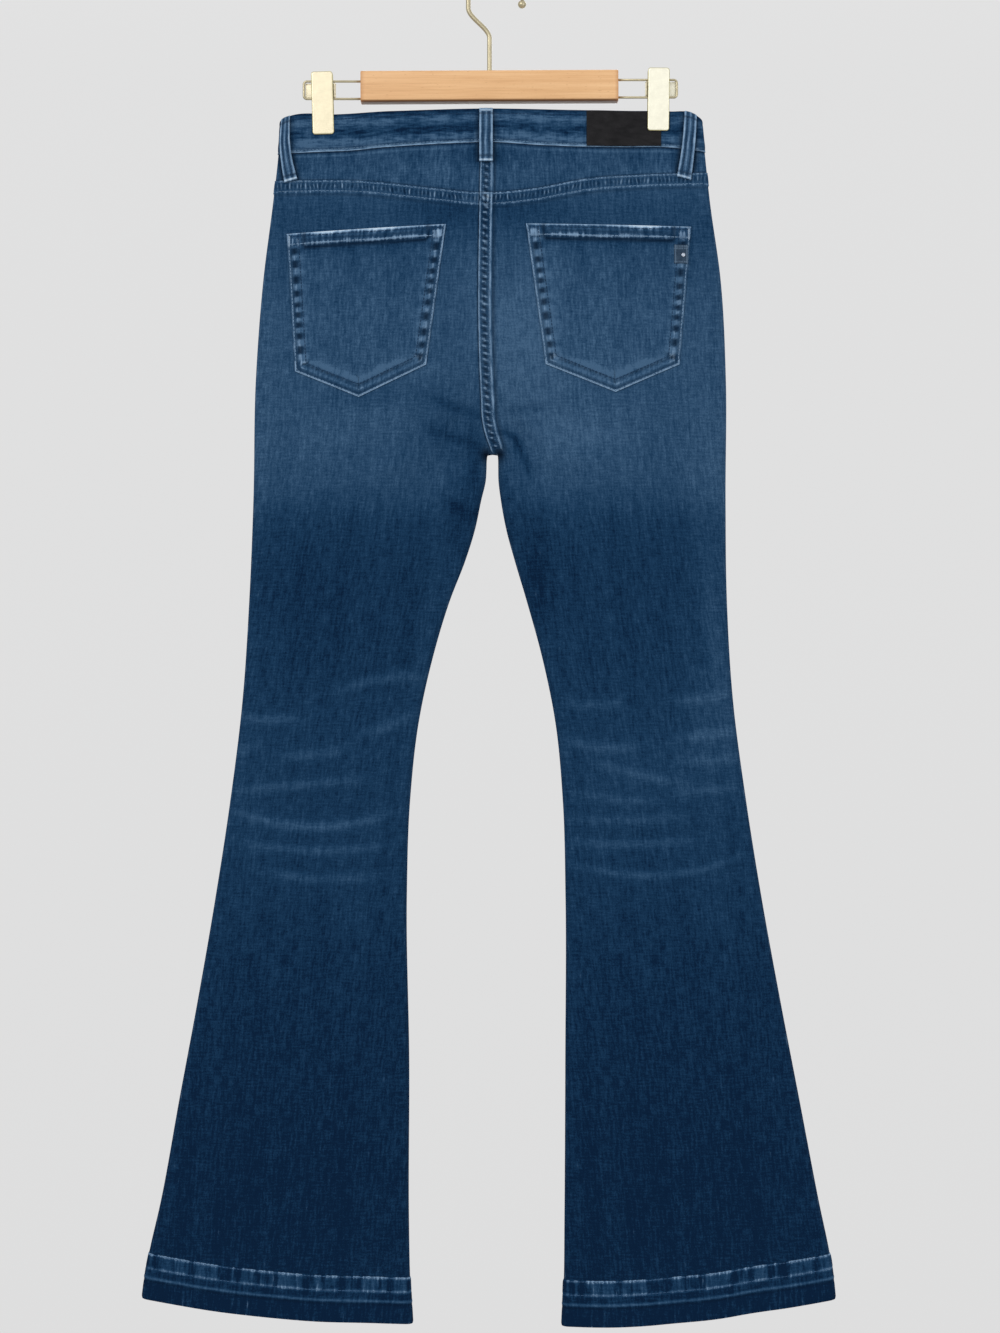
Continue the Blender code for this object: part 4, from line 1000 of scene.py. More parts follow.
def denim(name, mottle=CLOUDS.amount, slub=SLUBS.amount, pucker=ROPES.amount, comb=0.05):
    """Indigo twill. Mottle is the blotchiness of its dye, slub and pucker those of the yarn,
    and comb is how evenly it puckers along a row of stitches."""
    made = Finish(name, roughness=0.95, specular=0.04)
    grain, seam = made.attribute("grain", "Vector"), made.attribute("seam", "Vector")

    def woven(yarn, vector=grain):
        return made.noise(vector, yarn.cells, yarn.detail, yarn.shift)

    slubs, weft = woven(SLUBS), woven(WEFT)
    even = made.math("SUBTRACT", made.bands(seam, COMB, "X", 4.0, 1.0), 0.5)
    ropes = made.plus(made.math("MULTIPLY", woven(ROPES, seam), 1 - comb), (even, comb))
    ropes = made.math("MULTIPLY", ropes, made.attribute("pucker"))
    others = [(woven(yarn), yarn.amount) for yarn in (RUNS, THREADS, STRIPES)]
    fade = made.plus(
        made.attribute("fade"),
        (slubs, slub), (weft, WEFT.amount), *others, (woven(CLOUDS), mottle), (ropes, pucker),
    )
    ragged = made.math("ADD", slubs, ropes)
    ragged = made.math("MULTIPLY_ADD", ragged, 1.3, made.attribute("wear"))
    blue = made.ramp(fade, BLUES)
    blue = made.mix(made.between(*WORN_PALE, ragged), blue, (*PALE, 1))
    blue = made.mix(made.between(*WORN_WHITE, ragged), blue, (*PALEST, 1))
    # painted shade: the dark mark pulls the blue towards the shade colour in grooves, hollows and under
    # raised edges
    blue = made.mix(made.attribute("dark"), blue, (*PAINTED_SHADE_BLUE, 1))
    made.colour(blue)
    twill = made.bands(grain, 2 * TWILL, "DIAGONAL", 1.2, 1.0)
    height = made.plus(made.math("MULTIPLY", twill, 0.05), (slubs, 0.30), (weft, 0.22), (ropes, 2.2))
    made.bump(height, DENIM_BUMP)
    return made.material


def denim_back():
    """The inside of denim, where the white weft shows."""
    made = Finish("denim_inside", roughness=0.95, specular=0.15)
    grain = made.attribute("grain", "Vector")
    slubs = made.noise(grain, (520, 34, 1), 2)
    weft = made.noise(grain, (60, 620, 1), 2, (7, 3, 0))
    shade = made.plus(0.5, (slubs, 0.8), (weft, 0.9))
    stops = ((0.2, shown_as(74, 96, 122)), (0.8, shown_as(140, 156, 174)))
    made.colour(made.ramp(shade, stops))
    made.bump(made.math("ADD", slubs, weft), 0.0005)
    return made.material


LEG_DENIM = denim("denim", comb=0.40)
FADED_DENIM = denim("faded_denim", mottle=0.30, slub=0.95)
YOKE_DENIM = denim("yoke_denim", mottle=0.46, slub=1.15, pucker=1.1)
BAND_DENIM = denim("waistband_denim", mottle=0.64, slub=1.7, pucker=1.4)
HEM_DENIM = denim("hem_denim", mottle=0.40, slub=0.9, pucker=1.1)
DENIM_INSIDE = denim_back()
print("denims:", [made.name for made in (LEG_DENIM, FADED_DENIM, YOKE_DENIM, BAND_DENIM, HEM_DENIM)])

# %% [markdown]
# ## Felled seams
#
# The strong seams of jeans are felled: the two edges fold into each other and are sewn down
# with two rows of stitches, 8 to 9 mm apart. The ridge stands proud, its edges rub pale, the
# stitches pull grooves into it, and between them the cloth ropes up in slanting lumps. All of
# that follows from one distance, across the seam, so one function serves every such seam.

# %% Seam relief
SEAM_RISE, SEAM_WIDTH, SEAM_STEP = 0.0008, 0.011, 0.002
STITCH_INSET = 0.0012  # from a folded edge to its row of stitches
STITCH_GROOVE, STITCH_DEPTH = 0.0007, 0.00018  # how wide and deep a row of stitches sinks in
ROPE_PITCH, ROPE_RISE = 0.0064, 0.00028
WORN = 0.72  # the wear on a seam's edges, as a rule


def ridge(distance, width):
    """1 on a line and 0 a few widths away from it."""
    return np.exp(-((distance / width) ** 2))


def fell(cloth, across, along, where=1.0, rope=1.0, worn=WORN, pitch=ROPE_PITCH, slant=0.45, dense=0.55):
    """Presses a felled seam into the cloth: across is the distance from its folded edge. Rope
    is how much it ropes, worn how pale its edges are, and dense how finely it puckers."""
    first, second = across - STITCH_INSET, across - (SEAM_WIDTH - STITCH_INSET)
    on_ridge = eased((SEAM_WIDTH + SEAM_STEP - across) / SEAM_STEP) * where
    grooves = ridge(first, STITCH_GROOVE) + ridge(second, STITCH_GROOVE)
    middle = ridge(across - SEAM_WIDTH / 2, 0.0034)
    lumps = np.sin(2 * np.pi * (along + slant * across) / pitch + 0.9 * np.sin(along * 90))
    cloth.rise += SEAM_RISE * on_ridge
    cloth.rise += on_ridge * (-STITCH_DEPTH * grooves + ROPE_RISE * rope * middle * lumps)
    edges = ridge(across - 0.0005, 0.0009) + 0.9 * ridge(across - SEAM_WIDTH + 0.0003, 0.0010)
    cloth.mark("wear", worn * where * edges)
    cloth.fade(0.30 * (worn / WORN) * where * edges)
    cloth.mark("wear", 0.66 * rope * where * middle * np.clip(lumps, 0, 1))
    # painted shadow along the foot of the ridge, and painted shade over its middle, deepest in the
    # troughs between the lumps
    foot = ridge(across - SEAM_WIDTH - SEAM_STEP - 0.0004, 0.0010)
    cloth.mark("dark", (0.30 + 0.30 * rope) * where * foot)
    cloth.mark("dark", (0.06 + rope * (0.18 + 0.50 * np.clip(-lumps, 0, 1))) * where * middle)
    cloth.pucker(dense * where * middle, along, across)


def rope_edge(cloth, distance, along, pitch=0.009, where=1.0):
    """The gentle roping beside a side seam or an inseam."""
    lumps = np.sin(2 * np.pi * along / pitch + 2.1 * np.sin(along * 61))
    band = ridge(distance - 0.0075, 0.0040) * where
    cloth.rise += 0.00016 * band * lumps
    cloth.fade(0.05 * band * lumps)
    cloth.pucker(0.16 * band, along, distance)


print("a felled seam is", SEAM_WIDTH * 1000, "mm wide")

# %% [markdown]
# ## Stitches
#
# Each topstitch is one loop of thick cotton thread that dives into the cloth at both ends. One
# row has hundreds, so they are worked out together as arrays and joined into one mesh. A curve
# with a bevel would be simpler, but it would be an endless cord without the dips.
#
# A row is given as x and z, and a ray finds the cloth of the finished piece there, so the
# stitches lie on its relief.

# %% Finding the cloth
STITCH, STITCH_SPACE, THREAD = 0.0029, 0.0005, 0.00033  # length, gap and the thread's radius
OUT_OF_THE_WAY = 0.2  # a ray starts this far from the middle plane


def on_piece(name, face, path):
    """The points of a finished piece at each x and z of a path, and the ways that it faces."""
    places, normals = [], []
    for x, z in path:
        start, way_in = Vector((x, face * OUT_OF_THE_WAY, z)), Vector((0, -face, 0))
        place, normal, _, _ = SHELLS[name].ray_cast(start, way_in)
        if place is not None:
            places.append(place)
            normals.append(normal)
    return np.array(places), np.array(normals)


def spaced(path, step):
    """Points along a path at even steps."""
    path = np.asarray(path, float)
    lengths = np.concatenate([[0], np.cumsum(np.linalg.norm(np.diff(path, axis=0), axis=1))])
    count = max(2, round(lengths[-1] / step) + 1)
    at = np.linspace(0, lengths[-1], count)
    return np.stack([np.interp(at, lengths, column) for column in path.T], axis=-1)


print("a row of ten stitches is", round(10 * (STITCH + STITCH_SPACE), 4), "m long")

# %% Stitches
# Each stitch has four rings: how far along it each is, how high it rides, and how thick it is.
STITCH_RINGS = ((0, -0.5, 0.55), (0.2, 0.45, 1), (0.8, 0.45, 1), (1, -0.5, 0.55))
STITCH_SIDES, FLATNESS = 6, 0.75
THREAD_SLOT = "belt_loop_denim"  # the look that an owner recolours together with the loops


def stitch_points(starts, ends, normals, radius):
    way = ends - starts
    side = np.cross(way, normals)
    side /= np.linalg.norm(side, axis=-1, keepdims=True)
    rings = []
    for share, height, width in STITCH_RINGS:
        middle = starts + way * share + normals * radius * height
        for k in range(STITCH_SIDES):
            angle = 2 * math.pi * k / STITCH_SIDES
            around = math.cos(angle) * side + FLATNESS * math.sin(angle) * normals
            rings.append(middle + around * radius * width)
    return np.stack(rings, axis=1)


def stitch_faces():
    """The faces of one stitch: its two ends, and the quads between its rings."""
    last = STITCH_SIDES * (len(STITCH_RINGS) - 1)
    faces = [list(range(STITCH_SIDES))[::-1], list(range(last, last + STITCH_SIDES))]
    for start in range(0, last, STITCH_SIDES):
        for k in range(STITCH_SIDES):
            first, second = start + k, start + (k + 1) % STITCH_SIDES
            faces.append([first, second, second + STITCH_SIDES, first + STITCH_SIDES])
    return faces


STITCH_FACES = stitch_faces()


class Sewing:
    """Collects rows of stitches, and makes one mesh of them."""

    def __init__(self):
        self.points = []

    def row(self, piece, face, path, step=STITCH + STITCH_SPACE):
        """A row of stitches on a finished piece, along a path of x and z."""
        places, normals = on_piece(piece, face, spaced(path, step))
        if len(places) > 2:
            starts, ways = places[:-1], places[1:] - places[:-1]
            ends = starts + ways * (STITCH / (STITCH + STITCH_SPACE))
            self.points.append(stitch_points(starts, ends, normals[:-1], THREAD))

    def make(self, name, thread):
        blocks = np.concatenate(self.points)
        count, per_stitch = blocks.shape[:2]
        faces = []
        for first in range(0, count * per_stitch, per_stitch):
            faces += [[first + corner for corner in face] for face in STITCH_FACES]
        mesh = bpy.data.meshes.new(name)
        mesh.from_pydata(blocks.reshape(-1, 3).tolist(), [], faces)
        mesh.shade_smooth()
        print(name, "stitches:", count)
        return new_object(name, mesh, [thread], THREAD_SLOT)


print("faces of a stitch:", len(STITCH_FACES))

# %% Thread
def thread_finish(name, colour):
    """Cotton thread, with the fine turns of its twist."""
    made = Finish(name, roughness=0.8, specular=0.06)
    place = made.place()
    fuzz = made.noise(place, (900, 900, 900), 2)
    patches = made.noise(place, (60, 60, 60), 1)
    shade = made.plus(0.5, (fuzz, 0.6), (patches, 0.9))
    dark = tuple(0.55 * part for part in colour)
    made.colour(made.ramp(shade, ((0.15, dark), (0.65, colour))))
    made.bump(fuzz, 0.0002)
    return made.material


PALE_THREAD = thread_finish("pale_blue_thread", shown_as(122, 150, 178))
SEAM_THREAD = thread_finish("seam_thread", shown_as(98, 128, 158))
MIDDLE_THREAD = thread_finish("middle_blue_thread", shown_as(62, 92, 126))
DEEP_THREAD = thread_finish("deep_blue_thread", shown_as(30, 56, 86))
print("thread radius:", THREAD, "m")

# %% [markdown]
# ## Leg panels
#
# Two back and two front panels run from the top to the hems. A panel is a grid of rows that
# slant with the yoke seam at the top, lie level at the knee and follow the hem's curve at the
# bottom. Points crowd at the seams, where the relief is, and spread over the plain cloth.

# %% Rows and columns of a panel
SIDE_ZONE = (0, 0.0003, 0.0009, 0.0018, 0.0030, 0.0045, 0.0060, 0.0080, 0.0100, 0.0120, 0.0140)
SEAM_ZONE = (0, 0.0004, 0.0009, 0.0014, 0.0020, 0.0028, 0.0038, 0.0049, 0.0060, 0.0071, 0.0081,
             0.0090, 0.0096, 0.0102, 0.0108, 0.0114, 0.0122, 0.0130, 0.0142)
LEG_ZONES = (SIDE_ZONE, SEAM_ZONE)
PLAIN_COLUMNS = 72
SEAT_STEP, LEG_STEP = 0.0015, 0.0027
CROTCH_STEPS = (0.0025, 0.0010, 0.0, -0.0005, -0.0010, -0.0016, -0.0024, -0.0036,
                -0.0050, -0.0065, -0.0080, -0.0100, -0.0120)
WALL = 0.0015


def row_x(start, end, zones, count):
    """x of a row's points, crowded at both ends and even between."""
    way = np.sign(end - start)
    first = start + way * np.array(zones[0])
    last = end - way * np.array(zones[1])[::-1]
    between = np.linspace(first[-1], last[0], count + 2)[1:-1]
    return np.concatenate([first, between, last])


def leg_row(side, face, height_at, opening=0.0, zones=LEG_ZONES, count=PLAIN_COLUMNS):
    inner = centre_end(side, face, height_at)
    start = side_end(side, height_at) + opening * inward(side)
    x = row_x(start, inner, zones, count)
    return on_cloth(side, face, x, height_at(x))


def heights_below(top_height):
    """Row heights from below the top seam down to the hem, close together at the crotch."""
    seat = np.arange(top_height, CROTCH_Z + 0.0035, -SEAT_STEP)
    crotch = CROTCH_Z + np.array(CROTCH_STEPS)
    count = round((crotch[-1] - LEG_END) / LEG_STEP)
    leg = np.linspace(crotch[-1], LEG_END, count + 1)[1:]
    return [*seat, *crotch, *leg]


def panel_rows(side, face, heights, top, openings=()):
    def bottom(x):
        return hem_top(x) + SLIT

    rows = []
    for i, height in enumerate(heights):
        opening = openings[i] if i < len(openings) else 0.0
        rows.append(leg_row(side, face, lambda x: row_height(height, x, top, bottom), opening))
    return np.array(rows)


print("columns of a panel:", len(SIDE_ZONE) + PLAIN_COLUMNS + len(SEAM_ZONE))

# %% What every leg has
ROPING = 0.0075  # pitch of the lumps beside an inseam


def edge_distances(cloth):
    """How far each point is from the outer end of its row, and from the inner end."""
    return np.abs(cloth.x - cloth.x[:, :1]), np.abs(cloth.x[:, -1:] - cloth.x)


def dress_leg(side, face, cloth):
    """What every leg panel has: its fade with its painted shade, its creases and the roping along its
    long seams.
    """
    from_side, from_centre = edge_distances(cloth)
    below = eased((CROTCH_Z - cloth.z) / 0.02)
    clear = eased(from_side / 0.02) * eased(from_centre / 0.012)
    cloth.fade(faded_and_shaded(side, face, cloth.x, cloth.z))
    cloth.rise += folding(CREASES[face], cloth.x, cloth.z) * eased(from_centre / 0.006)
    cloth.rise += STREAK_RISE * streaked(face, cloth.x, cloth.z) * clear
    rope_edge(cloth, from_side, cloth.z)
    rope_edge(cloth, from_centre, cloth.z, ROPING, below)
    cloth.mark("wear", 0.14 * below * ridge(from_centre - 0.0012, 0.0010))
    cloth.mark("wear", 0.22 * ridge(from_side - 0.0012, 0.0012))
    return from_side, from_centre


print("pitch of the roping on an inseam:", ROPING, "m")

# %% [markdown]
# ### Back panels
#
# The back panels run from the yoke to the hem. Their top laps the yoke, and the right panel's
# centre margin laps the left leg: those are felled seams. Where the two cross, eight layers of
# denim meet, and the lump that they make is rubbed nearly white.

# %% Back panels
YOKE_PITCH = 0.0085  # of the slow lumps along the yoke seam, under its fine puckers
CROSSING, CROSSING_WIDTH = Place(-0.0022, -0.2094), 0.0036  # of the yoke seam and the seat seam
# The corners of the crotch are given painted shade.
CROTCH_CORNERS, CORNER_WIDTH = (Place(-0.0036, -0.4440), Place(0.0096, -0.4430)), 0.0052


def back_panel(side):
    def top(x):
        return yoke_seam(x) - SLIT / 2

    start = float(top(ROW_X))
    lapped = start - np.array(SEAM_ZONE)
    sheet = panel_rows(side, BACK, [*lapped, *heights_below(lapped[-1] - SEAT_STEP)], top)
    cloth = Cloth(sheet)
    _, from_centre = dress_leg(side, BACK, cloth)
    above = eased((cloth.z - CROTCH_Z) / 0.006)
    worn = 0.50 - 0.10 * eased(-cloth.x / 0.05)
    yoke_lap = dict(rope=0.10, worn=worn, pitch=YOKE_PITCH, slant=0.1, dense=1.5)
    fell(cloth, top(cloth.x) - cloth.z, cloth.x, **yoke_lap)
    if side == RIGHT:
        fell(cloth, from_centre, cloth.z, where=above, rope=1.25)
    else:
        # painted shadow along the edge of the right panel's margin, which laps over the left
        cloth.mark("dark", 0.75 * above * ridge(from_centre, 0.0012))
    cloth.mark("wear", 0.90 * ridge(cloth.away_from(*CROSSING), CROSSING_WIDTH))
    # painted shade in the two corners of the crotch
    for corner in CROTCH_CORNERS:
        cloth.mark("dark", 0.95 * ridge(cloth.away_from(*corner, height=0.7), CORNER_WIDTH))
    grain = down_the_leg(side, cloth)
    make_shell(f"seat_and_leg_{side}", f"back_{side}", cloth, WALL, 0, LEG_DENIM, "denim", grain)


for side in SIDES:
    back_panel(side)
print("the seat seam and the yoke seam cross at", CROSSING)

# %% [markdown]
# ### Front panels
#
# The front isn't seen from the camera, and it still has to be true from the other side. Each
# front panel has the curve of its pocket cut out of the top corner, and the left one carries
# the fly: a facing behind the edge, held by two rows of stitches in a J.

# %% A pocket's opening and the fly
SCOOP_WIDTH, SCOOP_HEIGHT = 0.088, 0.080
SCOOP_TURNS = np.arange(0, 90, 2.0)
FLY_WIDTH, FLY_END, FLY_BEND = 0.034, -0.283, 0.034
CUFF_WIDTH, CUFF_STITCHES = 0.0135, 0.0086  # the turned edge, and its inner row of stitches
CUFF_ROWS = 12  # rows of the grid below the opening that the turned edge can reach


def front_top(x):
    """The top edge of the front panels, just under the waistband."""
    return band_seam(FRONT, x) - SLIT / 2


def fly_edge(z):
    """How far the fly's outer row of stitches is from the fly's edge: a J from the waist down."""
    return FLY_WIDTH * np.sqrt(1 - np.clip((FLY_END + FLY_BEND - z) / FLY_BEND, 0, 1) ** 2)


def dress_scoop(side, cloth, rows):
    """The turned edge of a front pocket's opening, with two rows of stitches."""
    near = slice(0, rows + CUFF_ROWS)
    clear = eased(np.abs(cloth.x - smooth(SIDE_EDGE, side, cloth.z))[near] / 0.010)
    curve = cloth.sheet[: rows + 1, 0]
    spots = cloth.sheet[near].reshape(-1, 3)
    distance = np.full(len(spots), np.inf)
    for start, end in zip(curve[:-1], curve[1:]):
        way = end - start
        share = np.clip(((spots - start) @ way) / (way @ way), 0, 1)
        away = np.linalg.norm(spots - start - share[:, None] * way, axis=1)
        distance = np.minimum(distance, away)
    distance = distance.reshape(rows + CUFF_ROWS, -1)
    grooves = ridge(distance - STITCH_INSET, STITCH_GROOVE)
    grooves = grooves + ridge(distance - CUFF_STITCHES, STITCH_GROOVE)
    cloth.rise[near] += SEAM_RISE * clear * eased((CUFF_WIDTH - distance) / SEAM_STEP)
    cloth.rise[near] -= 0.00016 * clear * grooves
    wear = 0.62 * ridge(distance - 0.0004, 0.0008) + 0.30 * ridge(distance - 0.0122, 0.0012)
    for name, values in (("wear", wear), ("pucker", 0.5 * ridge(distance - 0.0052, 0.0036))):
        whole = np.zeros_like(cloth.rise)
        whole[near] = values
        cloth.mark(name, whole)


def dress_fly(cloth, from_centre):
    """The raised facing of the fly, inside its J of stitches."""
    edge, beside = fly_edge(cloth.z), cloth.z > FLY_END
    inside = eased((edge - from_centre) / SEAM_STEP + 1) * beside
    cloth.rise += SEAM_RISE * inside
    cloth.mark("wear", 0.45 * beside * ridge(from_centre - edge, 0.0010))
    cloth.mark("wear", 0.60 * beside * ridge(from_centre - 0.0004, 0.0010))
    # painted shadow beside the raised facing
    cloth.mark("dark", 0.4 * beside * ridge(from_centre - edge - 0.003, 0.0012))
    fell_below = eased((FLY_END - cloth.z) / 0.004) * eased((cloth.z - CROTCH_Z) / 0.006)
    cloth.mark("wear", 0.45 * fell_below * ridge(from_centre - 0.0010, 0.0010))


print("the opening of a front pocket:", SCOOP_WIDTH, "x", SCOOP_HEIGHT, "m")

# %% Front panels
def front_panel(side):
    start = float(front_top(ROW_X))
    turns = np.radians(SCOOP_TURNS)
    curved = start - SCOOP_HEIGHT * np.sin(turns)
    openings = SCOOP_WIDTH * np.cos(turns)
    heights = [*curved, start - SCOOP_HEIGHT, *heights_below(start - SCOOP_HEIGHT - SEAT_STEP)]
    cloth = Cloth(panel_rows(side, FRONT, heights, front_top, openings))
    _, from_centre = dress_leg(side, FRONT, cloth)
    dress_scoop(side, cloth, len(SCOOP_TURNS))
    if side == LEFT:
        dress_fly(cloth, from_centre)
    grain = down_the_leg(side, cloth, 0.57)
    make_shell(f"front_leg_{side}", f"front_{side}", cloth, WALL, 0, LEG_DENIM, "denim", grain)


for side in SIDES:
    front_panel(side)
print("the fly ends at z", FLY_END)

# %% [markdown]
# Behind each opening lies the facing, a small piece of denim that closes the pocket towards
# the body. It is sewn into the side seam and the waist seam, so it shares their lines, and it
# is the shade of cloth that the sun seldom reaches.

# %% Pocket facings
FACING_COLUMNS = (0, 0.003, 0.008, 0.016, *np.linspace(0.03, 1, 40))  # in shares of its width
SCOOP_CLEAR = 0.0012  # left open below the facing


def pocket_facing(side):
    """The denim that closes a front pocket's opening, behind its curve."""
    start = float(front_top(ROW_X))
    rows = []
    for turn in np.radians(np.arange(0, 88, 2.0)):
        height = start - (SCOOP_HEIGHT - SCOOP_CLEAR) * math.sin(turn)
        at = lambda x, height=height: row_height(height, x, front_top, hem_top)
        width = (SCOOP_WIDTH - GAP) * math.cos(turn)
        x = side_end(side, at) + inward(side) * width * np.array(FACING_COLUMNS)
        rows.append(on_cloth(side, FRONT, x, at(x)))
    cloth = Cloth(rows)
    cloth.fade(faded_and_shaded(side, FRONT, cloth.x, cloth.z) - 0.14)
    from_side, from_opening = edge_distances(cloth)
    rope_edge(cloth, from_side, cloth.z)
    # painted shade along the opening, under the turned edge of the front panel
    cloth.mark("dark", 0.45 * ridge(from_opening, 0.0040))
    grain = down_the_leg(side, cloth, 0.31)
    node = f"pocket_facing_{side}"
    make_shell(f"facing_{side}", node, cloth, WALL, 0, FADED_DENIM, "faded_denim", grain)


for side in SIDES:
    pocket_facing(side)
print("columns of a facing:", len(FACING_COLUMNS))

# %% [markdown]
# ## Yokes
#
# The yoke is the shaped band under the back of the waistband that gives the seat its curve.
# Its two halves meet at the centre in the same felled seam as the legs.
#
# The belt loops stand over the yoke and the waistband and shade them. A ray tracer finds most of that
# shade, and the rest is painted shadow: we note their places here and darken the cloth a little on both
# sides.

# %% Places of the belt loops
Loop = namedtuple("Loop", "name side face top_x low_x bow length top_width low_width")
BELT_LOOPS = (
    Loop("back_centre", LEFT, BACK, -0.0031, -0.0031, 0, 0.0494, 0.0124, 0.0124),
    Loop("back_left", LEFT, BACK, -0.1873, -0.1823, -0.0028, 0.0592, 0.0080, 0.0119),
    Loop("back_right", RIGHT, BACK, 0.1849, 0.1786, 0.0012, 0.0612, 0.0112, 0.0128),
    Loop("front_left", LEFT, FRONT, -0.1010, -0.1010, 0, 0.0500, 0.0124, 0.0124),
    Loop("front_right", RIGHT, FRONT, 0.1010, 0.1010, 0, 0.0500, 0.0124, 0.0124),
)


def loop_middle(loop, share):
    """x and z of a belt loop's middle, this share of the way down."""
    x = loop.top_x + (loop.low_x - loop.top_x) * share + loop.bow * np.sin(np.pi * share)
    return x, float(waist_top(loop.face, loop.top_x)) - loop.length * share


def loop_width(loop, share):
    return loop.top_width + (loop.low_width - loop.top_width) * share


# painted shadow on the cloth on both sides of each belt loop
def shade_beside_loops(face, cloth, amount=0.5):
    for loop in BELT_LOOPS:
        if loop.face == face:
            top_z = loop_middle(loop, 0)[1]
            share = np.clip((top_z - cloth.z) / loop.length, 0, 1)
            middle = loop_middle(loop, share)[0]
            beside = np.abs(cloth.x - middle) - loop_width(loop, share) / 2
            under = eased((cloth.z - top_z + loop.length + 0.002) / 0.003)
            cloth.mark("dark", amount * under * ridge(np.maximum(beside - 0.0006, 0), 0.0030))


print("belt loops:", [loop.name for loop in BELT_LOOPS])

# %% Yokes
YOKE_ROWS, YOKE_COLUMNS = 30, 130


def part_way(high_at, low_at, share):
    """The line that lies this share of the way from one line across to another."""
    return lambda x: high_at(x) + (low_at(x) - high_at(x)) * share


def yoke(side):
    high_at, low_at = lambda x: band_seam(BACK, x) - SLIT / 2, lambda x: yoke_seam(x) + SLIT / 2
    lines = [part_way(high_at, low_at, share) for share in np.linspace(0, 1, YOKE_ROWS)]
    cloth = Cloth([leg_row(side, BACK, at, count=YOKE_COLUMNS) for at in lines])
    from_side, from_centre = edge_distances(cloth)
    cloth.fade(faded_and_shaded(side, BACK, cloth.x, cloth.z))
    rope_edge(cloth, from_side, cloth.z)
    if side == RIGHT:
        fell(cloth, from_centre, cloth.z, rope=1.25)
    else:
        # painted shadow along the edge of the right half's margin, which laps over the left
        cloth.mark("dark", 0.75 * ridge(from_centre, 0.0012))
    to_seam = cloth.z - yoke_seam(cloth.x)
    # painted shadow along the yoke seam and under the waistband's lower edge
    cloth.mark("dark", 0.60 * ridge(to_seam, 0.0012))
    to_band = band_seam(BACK, cloth.x) - cloth.z
    cloth.mark("dark", 0.70 * ridge(to_band - 0.0004, 0.0012))
    cloth.fade(0.30 * ridge(to_band - 0.0038, 0.0011))
    cloth.pucker(0.22 * ridge(to_band - 0.005, 0.005), cloth.x, to_band)
    shade_beside_loops(BACK, cloth, 0.75)
    grain = down_the_leg(side, cloth, 0.17)
    make_shell(f"back_yoke_{side}", f"yoke_{side}", cloth, WALL, 0, YOKE_DENIM, "faded_denim", grain)


for side in SIDES:
    yoke(side)
print("rows and columns of a yoke:", YOKE_ROWS, "and", YOKE_COLUMNS, "with crowded ends")

# %% [markdown]
# ## Waistband
#
# The waistband is two layers of denim, folded over at the top and sewn along both edges. It
# runs with its warp round the waist, so its slubs lie level. Washing leaves it blotchy, with a
# puckered pale strip along the lower stitches, where four layers meet.

# %% Grid of the waistband
BAND_WALL, BAND_RISE, BAND_JOIN_X = 0.0022, 0.0007, 0.014
BAND_ROWS, BAND_COLUMNS, BAND_END_ZONE = 30, 92, (0, 0.0008)


def band_sheet(face, side, end):
    """Points of one half of the waistband, from its side edge in to this x."""
    high_at, low_at = lambda x: waist_top(face, x), lambda x: band_seam(face, x) + SLIT / 2
    rows = []
    for share in np.linspace(0, 1, BAND_ROWS):
        at = part_way(high_at, low_at, share)
        x = row_x(side_end(side, at), end, (SIDE_ZONE, BAND_END_ZONE), BAND_COLUMNS)
        rows.append(on_cloth(side, face, x, at(x)))
    return np.array(rows)


def back_band():
    left, right = band_sheet(BACK, LEFT, 0.0), band_sheet(BACK, RIGHT, 0.0)
    return np.concatenate([left, right[:, -2::-1]], axis=1)


print("the front halves of the waistband meet at x", BAND_JOIN_X)

# %% Waistband
BAND_STITCH_TOP, BAND_STITCH_LOW = 0.0046, 0.0021  # from the top edge and from the lower seam
BAND_RIPPLE = 0.0078  # from one wave of the lower stitches' strip to the next
Tone = namedtuple("Tone", "share fade")
BAND_TONES = rows_of(  # down the band's height
    Tone,
    (0.0, 0.16), (0.1, 0.4), (0.24, 0.78), (0.38, 0.58), (0.52, 0.26), (0.62, 0.38), (0.74, 0.82),
    (0.9, 0.74), (1.0, 0.66),
)


